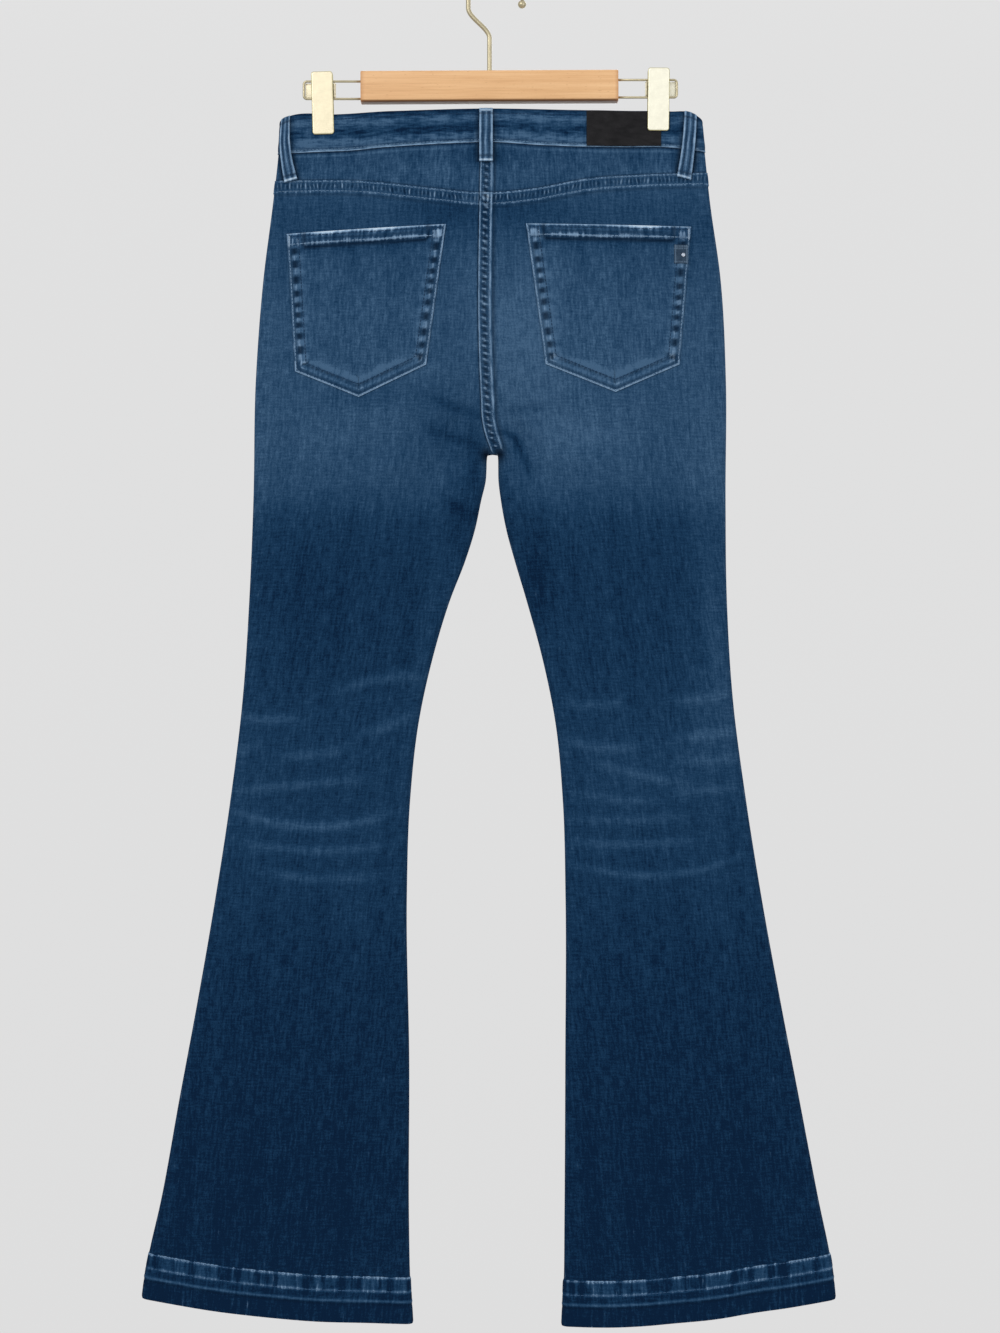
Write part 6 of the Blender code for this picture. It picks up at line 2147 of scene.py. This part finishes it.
# %% Stud and button
STUD_CENTRE, BUTTON_X = Place(0.1769, -0.2616), 0.0
STUD_PROFILE = rows_of(
    Ring,
    (0, 1), (0.2, 0.995), (0.4, 0.97), (0.6, 0.91), (0.75, 0.82), (0.88, 0.68), (0.96, 0.5), (1, 0.34),
    (1, 0.12), (0.97, 0), (0, 0),
)
BUTTON_PROFILE = rows_of(
    Ring,
    (0, 0.76), (0.3, 0.76), (0.62, 0.77), (0.7, 0.8), (0.76, 0.9), (0.82, 0.98), (0.87, 1.0),
    (0.92, 0.97), (0.97, 0.84), (1, 0.66), (1, 0.52), (0.97, 0.4), (0.9, 0.3), (0.9, 0), (0, 0),
)
STUD, BUTTON = Turned(0.0019, 0.0010, STUD_PROFILE), Turned(0.0085, 0.0030, BUTTON_PROFILE)


def standing_on(side, face, x, z, lift):
    """A place this far off the cloth, and the way the cloth faces there."""
    normal = cloth_normal(side, face, x, z)
    return Vector(on_cloth(side, face, x, z)) + normal * lift, normal


spot = standing_on(RIGHT, BACK, *STUD_CENTRE, POCKET_CLEAR + POCKET_WALL + GAP + TAB_WALL + GAP)
turned("label_stud", STUD, *spot, SILVER, "stud_metal", "pocket_stud")
print("stud at", [round(part, 4) for part in spot[0]])
z = float(waist_top(FRONT, BUTTON_X) + band_seam(FRONT, BUTTON_X)) / 2
spot = standing_on(LEFT, FRONT, BUTTON_X, z, BAND_RISE + GAP)
turned("front_button", BUTTON, *spot, BRASS, "button_metal", "waist_button")
print("button at", [round(part, 4) for part in spot[0]])

# %% [markdown]
# ## Topstitching
#
# The rows follow the seams that were pressed in above. Thread of the jeans' own blue, washed
# pale, is what the makers chose here, so the rows read as fine broken light lines.

# %% Rows along the waist and the yoke
def path(x, z):
    return np.stack([x, z], axis=-1)


def waist_rows(pale, deep):
    """Two rows round the waistband: a deep blue one at the top and a pale one at the seam."""
    spans = (
        ("back_waistband", BACK, -0.1905, 0.1925),
        ("front_waistband_left", FRONT, -0.1905, 0.0125),
        ("front_waistband_right", FRONT, 0.0160, 0.1925),
    )
    for name, face, start, end in spans:
        x = np.linspace(start, end, 120)
        deep.row(name, face, path(x, waist_top(face, x) - BAND_STITCH_TOP))
        pale.row(name, face, path(x, band_seam(face, x) + BAND_STITCH_LOW))
    down = np.linspace(BAND_STITCH_TOP, 0.0290, 20)
    x = np.full_like(down, 0.0125)
    deep.row("front_waistband_left", FRONT, path(x, waist_top(FRONT, x) - down))


def fell_rows(sewing):
    """Two rows along the yoke seam, and two along the centre seam down to the crotch."""
    for side in SIDES:
        name = f"seat_and_leg_{side}"
        limits = (-0.194, -0.0085) if side == LEFT else (-0.0068, 0.1965)
        x = np.linspace(*limits, 120)
        for inset in (STITCH_INSET, SEAM_WIDTH - STITCH_INSET):
            sewing.row(name, BACK, path(x, yoke_seam(x) - GAP / 2 - inset))
    for inset in (STITCH_INSET, SEAM_WIDTH - STITCH_INSET):
        for name, z in (
            ("seat_and_leg_right", np.linspace(-0.2035, -0.4390, 160)),
            ("back_yoke_right", np.linspace(-0.1585, -0.2000, 30)),
        ):
            sewing.row(name, BACK, path(centre_line(BACK, z) + inset, z))


SEAM_ROWS, PALE_ROWS, DEEP_ROWS = Sewing(), Sewing(), Sewing()
waist_rows(SEAM_ROWS, DEEP_ROWS)
fell_rows(SEAM_ROWS)
SEAM_ROWS.make("seam_topstitching", SEAM_THREAD)

# %% Rows on the back pockets
def inset_path(corners, inset, first_gap):
    """The open path inside these corners, at an even distance from its sides."""
    ways = np.diff(corners, axis=0)
    ways /= np.linalg.norm(ways, axis=1, keepdims=True)
    middle = corners.mean(axis=0)
    sides = np.stack([-ways[:, 1], ways[:, 0]], axis=-1)
    centres = (corners[:-1] + corners[1:]) / 2
    sides *= np.sign(((middle - centres) * sides).sum(axis=1, keepdims=True))
    inside = [corners[0] + sides[0] * inset + ways[0] * first_gap]
    for corner, one, other in zip(corners[1:-1], sides[:-1], sides[1:]):
        inside.append(corner + (one + other) * inset / (1 + one @ other))
    inside.append(corners[-1] + sides[-1] * inset - ways[-1] * first_gap)
    return np.array(inside)


def pocket_rows(pale, deep):
    """Two rows down the sides and along the point of each back pocket, and two on its hem."""
    for side, pocket in BACK_POCKETS.items():
        name = f"patch_pocket_{side}"
        outer, inner = (pocket.outer_top, pocket.outer_low), (pocket.inner_low, pocket.inner_top)
        corners = np.array([*outer, pocket.tip, *inner])
        for sewing, inset in ((pale, STITCH_INSET), (deep, STITCH_INSET + POCKET_STRIP)):
            sewing.row(name, BACK, inset_path(corners, inset, 0.0008))
        start, end = corners[0], corners[-1]
        for sewing, drop in ((deep, 0.0028), (pale, POCKET_HEM - 0.0016)):
            shares = np.linspace(0.012, 0.988, 60)[:, None]
            row = start + (end - start) * shares - np.array((0, drop))
            sewing.row(name, BACK, row)


pocket_rows(PALE_ROWS, DEEP_ROWS)
PALE_ROWS.make("pale_topstitching", PALE_THREAD)
DEEP_ROWS.make("deep_topstitching", DEEP_THREAD)

# %% Rows on the front, the hems and the belt loops
def front_rows(sewing):
    """The fly's J, the pockets' curves, and a short row down each side seam."""
    z = np.linspace(-0.1745, FLY_END + 0.0005, 200)
    for inset in (0.0, 0.0055):
        x = centre_line(FRONT, z) - np.maximum(fly_edge(z) - 0.0015 - inset, 0.0012)
        sewing.row("front_leg_left", FRONT, path(x, z))
    for side in SIDES:
        name = f"front_leg_{side}"
        start = float(band_seam(FRONT, ROW_X)) - GAP / 2
        top_at = lambda x: band_seam(FRONT, x) - GAP / 2
        for inset in (STITCH_INSET, CUFF_STITCHES):
            places = []
            for turn in np.radians(np.linspace(2, 84, 60)):
                height = start - (SCOOP_HEIGHT + inset) * math.sin(turn)
                at = lambda x, height=height: row_height(height, x, top_at, hem_top)
                x = side_end(side, at) + inward(side) * (SCOOP_WIDTH + inset) * math.cos(turn)
                places.append((x, float(at(x))))
            sewing.row(name, FRONT, np.array(places))


def hem_rows(sewing):
    for side in SIDES:
        for face in (BACK, FRONT):
            for down in (HEM_ROW_A, HEM_ROW_B):
                at = lambda x: hem_top(x) - down
                start, end = side_end(side, at), centre_end(side, face, at)
                x = np.linspace(start + 0.0016 * inward(side), end - 0.0016 * inward(side), 120)
                sewing.row(f"turned_hem_{side}", face, path(x, at(x)))


LOOP_STITCH = 0.0028  # from one stitch of a belt loop to the next


def loop_rows(sewing):
    for loop in BELT_LOOPS:
        shares = np.linspace(0.06, 0.94, 40)
        x, z = np.array([loop_middle(loop, share) for share in shares]).T
        for spot in LOOP_STITCHES:
            across = spot * loop_width(loop, shares) * 0.98
            sewing.row(f"loop_{loop.name}", loop.face, path(x + across, z), LOOP_STITCH)


for name, rows, thread in (
    ("front_topstitching", front_rows, PALE_THREAD),
    ("hem_topstitching", hem_rows, MIDDLE_THREAD),
    ("loop_topstitching", loop_rows, DEEP_THREAD),
):
    sewing = Sewing()
    rows(sewing)
    sewing.make(name, thread)

# %% [markdown]
# ### Bartacks
#
# Where a seam takes the strain of a hand or a belt, a machine sews a bartack: a short block of
# close zigzag. Here each thread of it is one long stitch, side by side.

# %% Bartacks
TACK_PITCH, TACK_RADIUS = 0.00055, 0.00034
LOOP_TACK, POCKET_TACK, FLY_TACK = 0.0026, 0.0020, 0.0024  # how wide each kind of tack is
TACK_THREAD = thread_finish("worn_tack_thread", shown_as(146, 170, 194))


def tack(sewing, piece, face, start, end, height):
    """Close upright threads along the way from start to end, each as long as the height."""
    start, end = np.array(start), np.array(end)
    way = (end - start) / np.linalg.norm(end - start)
    up = np.array((-way[1], way[0])) * height / 2
    spots = spaced([start, end], TACK_PITCH)
    lean = way * TACK_PITCH / 2
    lows, normals = on_piece(piece, face, spots - up - lean)
    highs, _ = on_piece(piece, face, spots + up + lean)
    if len(lows) == len(highs):
        sewing.points.append(stitch_points(lows, highs, normals, TACK_RADIUS))


def all_tacks(sewing):
    """One tack at each end of a belt loop, at each top corner of a pocket, and under the fly."""
    for loop in BELT_LOOPS:
        for share, tilt in ((0.032, 0.0), (0.968, 0.0007)):
            x, z = loop_middle(loop, share)
            half = loop_width(loop, share) * 0.46
            ends = (x - half, z - tilt), (x + half, z + tilt)
            tack(sewing, f"loop_{loop.name}", loop.face, *ends, LOOP_TACK)
    for side, pocket in BACK_POCKETS.items():
        for corner, way in ((pocket.outer_top, inward(side)), (pocket.inner_top, -inward(side))):
            x = corner.x + way * 0.0019
            ends = (x, corner.z - 0.0022), (x, corner.z - 0.0112)
            tack(sewing, f"patch_pocket_{side}", BACK, *ends, POCKET_TACK)
    x, z = float(centre_line(FRONT, FLY_END)) - 0.0016, FLY_END + 0.003
    tack(sewing, "front_leg_left", FRONT, (x, z), (x, z + 0.009), FLY_TACK)


TACKS = Sewing()
all_tacks(TACKS)
TACKS.make("bartacks", TACK_THREAD)

# %% [markdown]
# ## Hanger
#
# A trouser hanger of this kind is a planed beech bar with a wire loop out of each end. A clip
# slides on each loop, and a steel hook screws into the middle. The metal is plated a pale
# gold. Wood is easy to shape, since it is only a box with its edges taken off, and its look
# comes from the grain: long darker lines, and short flecks that beech always has.

# %% Beech
BAR_LENGTH, BAR_DEPTH, BAR_TOP, BAR_BOTTOM, BAR_TILT = 0.2366, 0.0180, -0.0908, -0.1193, 0.28
BAR_EDGE, BAR_LONG_EDGE = 0.0009, 0.0030  # how far its edges are rounded
BEECH_TONES = (
    (0.15, shown_as(194, 144, 94)),
    (0.50, shown_as(217, 170, 120)),
    (0.85, shown_as(230, 188, 140)),
)


def beech():
    made = Finish("beech_wood", roughness=0.46, specular=0.4)
    place = made.place()
    lines = made.noise(place, (5, 120, 260), 3, (0.3, 0.1, 0.7))
    fine = made.noise(place, (30, 900, 1500), 2)
    flecks = made.noise(place, (240, 500, 1400), 1, (0.2, 0.5, 0.1))
    clouds = made.noise(place, (9, 30, 34), 2, (0.6, 0.2, 0.4))
    shade = made.plus(0.5, (lines, 0.8), (fine, 0.5), (clouds, 0.5))
    wood = made.ramp(shade, BEECH_TONES)
    wood = made.mix(made.between(0.16, 0.26, flecks), wood, (*shown_as(186, 136, 88), 1))
    # painted shade: the faces that look down are coloured a darker brown
    painted_shade_below = made.between(-0.25, -0.80, made.part(made.facing(), "Z"))
    wood = made.mix(painted_shade_below, wood, (*shown_as(120, 78, 42), 1))
    along = made.math("ABSOLUTE", made.part(place, "X"))
    ends = made.between(BAR_LENGTH / 2 - 0.0040, BAR_LENGTH / 2, along)
    wood = made.mix(made.math("MULTIPLY", ends, 0.55), wood, (*shown_as(176, 118, 72), 1))
    made.colour(wood)
    made.bump(made.plus(fine, (lines, 0.6)), 0.00018)
    made.shader.inputs["Coat Weight"].default_value = 0.25
    made.shader.inputs["Coat Roughness"].default_value = 0.32
    return made.material


BEECH = beech()
print("wood:", BEECH.name)

# %% Wooden bar
ROUND = dict(profile=0.5, affect="EDGES")


def rounded_box(name, low, high, edge, finish, slot, node, turn=0.0, long_edge=None):
    """A box between two corners, with rounded edges, leaning about its middle. Its edges along
    x may be rounder than the others."""
    shape = bmesh.new()
    bmesh.ops.create_cube(shape, size=1.0)
    bmesh.ops.scale(shape, vec=Vector(high) - Vector(low), verts=shape.verts)
    if long_edge:
        ends = [(line, line.verts[0].co, line.verts[1].co) for line in shape.edges]
        along = [line for line, one, other in ends if abs(one.x - other.x) > 0.001]
        bmesh.ops.bevel(shape, geom=along, offset=long_edge, segments=6, **ROUND)
    sharp = [line for line in shape.edges if line.calc_face_angle(0) > 0.5]
    bmesh.ops.bevel(shape, geom=sharp, offset=edge, segments=5, clamp_overlap=True, **ROUND)
    mesh = bpy.data.meshes.new(name)
    shape.to_mesh(mesh)
    shape.free()
    mesh.shade_smooth()
    mesh.set_sharp_from_angle(angle=math.radians(60))
    obj = new_object(name, mesh, [finish], slot, node)
    obj.location = (Vector(high) + Vector(low)) / 2
    obj.rotation_euler.y = -math.radians(turn)
    return obj


low = (-BAR_LENGTH / 2, -BAR_DEPTH / 2, BAR_BOTTOM)
high = (BAR_LENGTH / 2, BAR_DEPTH / 2, BAR_TOP)
shape = dict(turn=BAR_TILT, long_edge=BAR_LONG_EDGE)
rounded_box("beech_bar", low, high, BAR_EDGE, BEECH, "beech", "hanger_bar", **shape)
print("bar:", BAR_LENGTH, "m long")

# %% Round wire
WIRE_RADIUS, WIRE_HIGH, WIRE_LOW, WIRE_BEND = 0.0011, -0.0998, -0.1159, 0.0030
WIRE_ENDS, WIRE_LIFTS = {LEFT: 0.1708, RIGHT: 0.1724}, {LEFT: 0.0, RIGHT: 0.0014}


def arc(centre, radius, start, end, steps):
    """Points of an arc in the hanger's plane, from one angle to another, in degrees."""
    turns = np.radians(np.linspace(start, end, steps + 1))
    x, z = centre[0] + radius * np.cos(turns), centre[1] + radius * np.sin(turns)
    return np.stack([x, 0 * x, z], axis=-1)


def rod(name, points, radius, finish, slot, node=None, sides=24, upright=(0, 1, 0)):
    """A round wire through the points, with softened ends."""
    points = np.asarray(points, float)
    ways = np.gradient(points, axis=0)
    ways /= np.linalg.norm(ways, axis=1, keepdims=True)
    first = np.cross(ways, upright)
    first /= np.linalg.norm(first, axis=1, keepdims=True)
    second = np.cross(ways, first)
    turns = np.linspace(0, 2 * math.pi, sides, endpoint=False)[:, None]
    widths = np.full(len(points), radius)
    widths[[0, -1]] *= 0.8
    rings = []
    for place, one, two, width in zip(points, first, second, widths):
        rings.append(place + width * (np.cos(turns) * one + np.sin(turns) * two))
    mesh = grid_mesh(name, np.array(rings), close_rows=True, caps=True)
    return new_object(name, mesh, [finish], slot, *([node] if node else []))


GOLD_WIRE = metal("gold_plated_wire", (0.52, 0.46, 0.31), 0.36)
print("loop wire:", WIRE_RADIUS * 2000, "mm thick")

# %% Hook and wires
HOOK_WIRE, HOOK_BEND, HOOK_TIP, HOOK_SHIFT = 0.00215, 0.0250, 0.0038, 0.0055
HOOK_NECK_LOW, HOOK_NECK_HIGH, HOOK_END = -0.0600, -0.0322, -6  # its bend ends at this angle


def wire_loop(side, finish):
    way = -1 if side == LEFT else 1
    start, end = BAR_LENGTH / 2 + GAP, WIRE_ENDS[side] - WIRE_BEND
    points = np.concatenate([
        [(start, 0, WIRE_HIGH), (start + 0.0004, 0, WIRE_HIGH), (end - 0.002, 0, WIRE_HIGH)],
        arc((end, WIRE_HIGH - WIRE_BEND), WIRE_BEND, 90, 0, 14),
        arc((end, WIRE_LOW + WIRE_BEND), WIRE_BEND, 0, -90, 14),
        [(end - 0.002, 0, WIRE_LOW), (start + 0.0004, 0, WIRE_LOW), (start, 0, WIRE_LOW)],
    ])
    points = points * (way, 1, 1) + (0, 0, WIRE_LIFTS[side])
    return rod(f"wire_loop_{side}", points, WIRE_RADIUS, finish, "gold_wire", f"hanger_wire_{side}")


def hook(finish):
    inside = HOOK_BEND - HOOK_WIRE
    centre = (HOOK_SHIFT, -math.sqrt(inside**2 - HOOK_SHIFT**2))
    left = HOOK_SHIFT - HOOK_BEND
    shares = np.linspace(0, 1, 25)
    z = HOOK_NECK_LOW + (HOOK_NECK_HIGH - HOOK_NECK_LOW) * shares
    neck = np.stack([left * eased(shares), 0 * z, z], axis=-1)
    stem = np.array([(0, 0, BAR_TOP + GAP), (0, 0, BAR_TOP + GAP + 0.0005), (0, 0, -0.0605)])
    bend = arc(centre, HOOK_BEND, 180, HOOK_END, 60)[1:]
    rod("hook", np.concatenate([stem, neck, bend]), HOOK_WIRE, finish, "gold_wire", "hanger_hook")
    end = math.radians(HOOK_END)
    onward = Vector((math.sin(end), 0, -math.cos(end)))
    rings = [Ring(math.sin(turn), math.cos(turn)) for turn in np.linspace(0, math.pi, 25)]
    ball, at = Turned(HOOK_TIP, HOOK_TIP, rings), Vector(bend[-1]) + onward * (HOOK_TIP + GAP)
    turned("hook_tip", ball, at, (0, -1, 0), finish, "gold_wire", "hanger_hook_tip")


for side in SIDES:
    wire_loop(side, GOLD_WIRE)
hook(GOLD_WIRE)
print("hook wire:", HOOK_WIRE * 2000, "mm thick")

# %% [markdown]
# ### Clips
#
# A clip is two pressed plates on a pin, with a coil spring between their cheeks that shuts
# them. The plates are thin sheet with rounded corners and a smooth bright plating.

# %% Measures of the clips
PINCHED = GAP / 2 + PINCH_DEPTH + BAND_RISE
Clip = namedtuple("Clip", "side top bottom turn back_grip")
CLIPS = (
    Clip(LEFT, -0.0912, -0.1489, 1.5, PINCHED + GAP),
    Clip(RIGHT, -0.0880, -0.1458, -0.6, PINCHED + GAP + PATCH.wall + GAP),
)
CLIP_WIDTH, CLIP_WALL, CLIP_CORNER = 0.0198, 0.0012, 0.0026
SPRING_WIDTH, SPRING_SHIFT = 0.0204, 0.0010
COIL_RADIUS, COIL_WIRE, COIL_TURNS = 0.0019, 0.00042, 11
CHEEK_WALL, CHEEK_EDGE, PIN_RADIUS = 0.0010, 0.0003, 0.0008
# The flat guide that slides on the wires, out past the plates and in past them.
GUIDE_OUT, GUIDE_IN, GUIDE_BACK, GUIDE_WALL, GUIDE_EDGE = 0.0062, 0.0020, 0.0026, 0.0006, 0.00025
PLATE_RIM = 0.62  # how far its rim is softened, in shares of its thickness
print("clips:", [clip.side for clip in CLIPS])

# %% Plates and coils
def plate(name, size, corner, finish, slot, node, centre, turn):
    """A flat plate with rounded corners and softened rims, leaning about its middle."""
    width, depth, height = size
    rim = depth * PLATE_RIM
    half = ((1.8 * rim, 0.5), (rim, 0.5), (0.4 * rim, 0.26), (0, 0.05))
    layers = [*((inset, -level) for inset, level in half), *half[::-1]]
    turns = np.radians(np.linspace(0, 360, 48, endpoint=False))
    rows = []
    for inset, level in layers:
        reach = corner - inset
        x = np.sign(np.cos(turns)) * (width / 2 - corner) + reach * np.cos(turns)
        z = np.sign(np.sin(turns)) * (height / 2 - corner) + reach * np.sin(turns)
        rows.append(np.stack([x, np.full_like(x, level * depth), z], axis=-1))
    mesh = grid_mesh(name, np.array(rows), close_rows=True, caps=True)
    obj = new_object(name, mesh, [finish], slot, *([node] if node else []))
    obj.location = centre
    obj.rotation_euler.y = -math.radians(turn)
    return obj


def coil(name, middle, length, finish):
    turns = np.linspace(0, 2 * math.pi * COIL_TURNS, COIL_TURNS * 22)
    x = middle[0] + length * (turns / turns[-1] - 0.5)
    y, z = middle[1] + COIL_RADIUS * np.cos(turns), middle[2] + COIL_RADIUS * np.sin(turns)
    points, shape = np.stack([x, y, z], axis=-1), dict(sides=10, upright=(1, 0.01, 0))
    return rod(name, points, COIL_WIRE, finish, "spring_metal", **shape)


print("spring:", COIL_TURNS, "turns")

# %% Clips
def clip_pieces(clip, plating, wire, steel):
    x, front_grip = CLIP_X[clip.side], PINCHED + GAP
    height = clip.top - clip.bottom
    for face, grip, part in ((BACK, clip.back_grip, "back"), (FRONT, front_grip, "front")):
        centre = (x, face * (grip + CLIP_WALL / 2), (clip.top + clip.bottom) / 2)
        size = (CLIP_WIDTH, CLIP_WALL, height)
        name, node = f"jaw_{clip.side}_{part}", f"clip_{clip.side}_{part}"
        plate(name, size, CLIP_CORNER, plating, "clip_metal", node, centre, clip.turn)
    way_in = inward(clip.side)
    shift = SPRING_SHIFT * way_in
    lift = WIRE_LIFTS[clip.side]
    low, high = lift + WIRE_LOW + WIRE_RADIUS + GAP, lift + WIRE_HIGH - WIRE_RADIUS - GAP
    y_low, y_high = GAP - clip.back_grip, front_grip - GAP
    middle = (x + shift, (y_low + y_high) / 2, (low + high) / 2)
    slot, node = "spring_metal", f"clip_{clip.side}_spring"
    for way in (-1, 1):
        part = "inner" if way == way_in else "outer"
        start = middle[0] + way * (SPRING_WIDTH - CHEEK_WALL) / 2
        box = (start - CHEEK_WALL / 2, y_low, low), (start + CHEEK_WALL / 2, y_high, high)
        # The cheeks take the darker gold of the wire rather than the plating: painted shade, for where
        # they sit back between the plates.
        rounded_box(f"cheek_{clip.side}_{part}", *box, CHEEK_EDGE, wire, slot, node)
    coil(f"spring_{clip.side}", middle, SPRING_WIDTH - 0.0026, steel)
    ends = x - way_in * (CLIP_WIDTH / 2 + GUIDE_OUT), x + way_in * (CLIP_WIDTH / 2 + GUIDE_IN)
    box = (min(ends), GUIDE_BACK, low), (max(ends), GUIDE_BACK + GUIDE_WALL, high)
    rounded_box(f"guide_{clip.side}", *box, GUIDE_EDGE, plating, slot, node)
    steps = (-0.47, -0.46, 0.46, 0.47)  # of the pin, in shares of the spring's width
    pin = [(middle[0] + step * SPRING_WIDTH, *middle[1:]) for step in steps]
    rod(f"pin_{clip.side}", pin, PIN_RADIUS, steel, slot, sides=14)


# The two plates are one plating in painted light and shade: the right one is coloured paler than the
# left.
PLATE_COLOURS = {LEFT: (0.90, 0.81, 0.58), RIGHT: (0.99, 0.96, 0.79)}
# rim: the colour of the painted shade on the plates' softened rims
PLATED = dict(brushed=(160, 160, 2200), metallic=0.4, rim=(0.42, 0.38, 0.18))
STEEL = metal("spring_steel", (0.62, 0.60, 0.56), 0.32)
for clip in CLIPS:
    plating = metal(f"gold_plating_{clip.side}", PLATE_COLOURS[clip.side], 0.34, **PLATED)
    clip_pieces(clip, plating, GOLD_WIRE, STEEL)
print("clip plates:", CLIP_WIDTH * 1000, "mm wide")

# %% [markdown]
# ## What each piece was cut from
#
# Each piece of cloth is printed with the width, length and area that it was cut to. The sizes are those
# of its grid, measured over the cloth before the relief is added, which is how a cutter would lay it
# flat again.

for name, (width, length, area) in CUTS.items():
    print(f"{name}: {width * 1000:.0f} x {length * 1000:.0f} mm, {area * 10000:.0f} cm2")
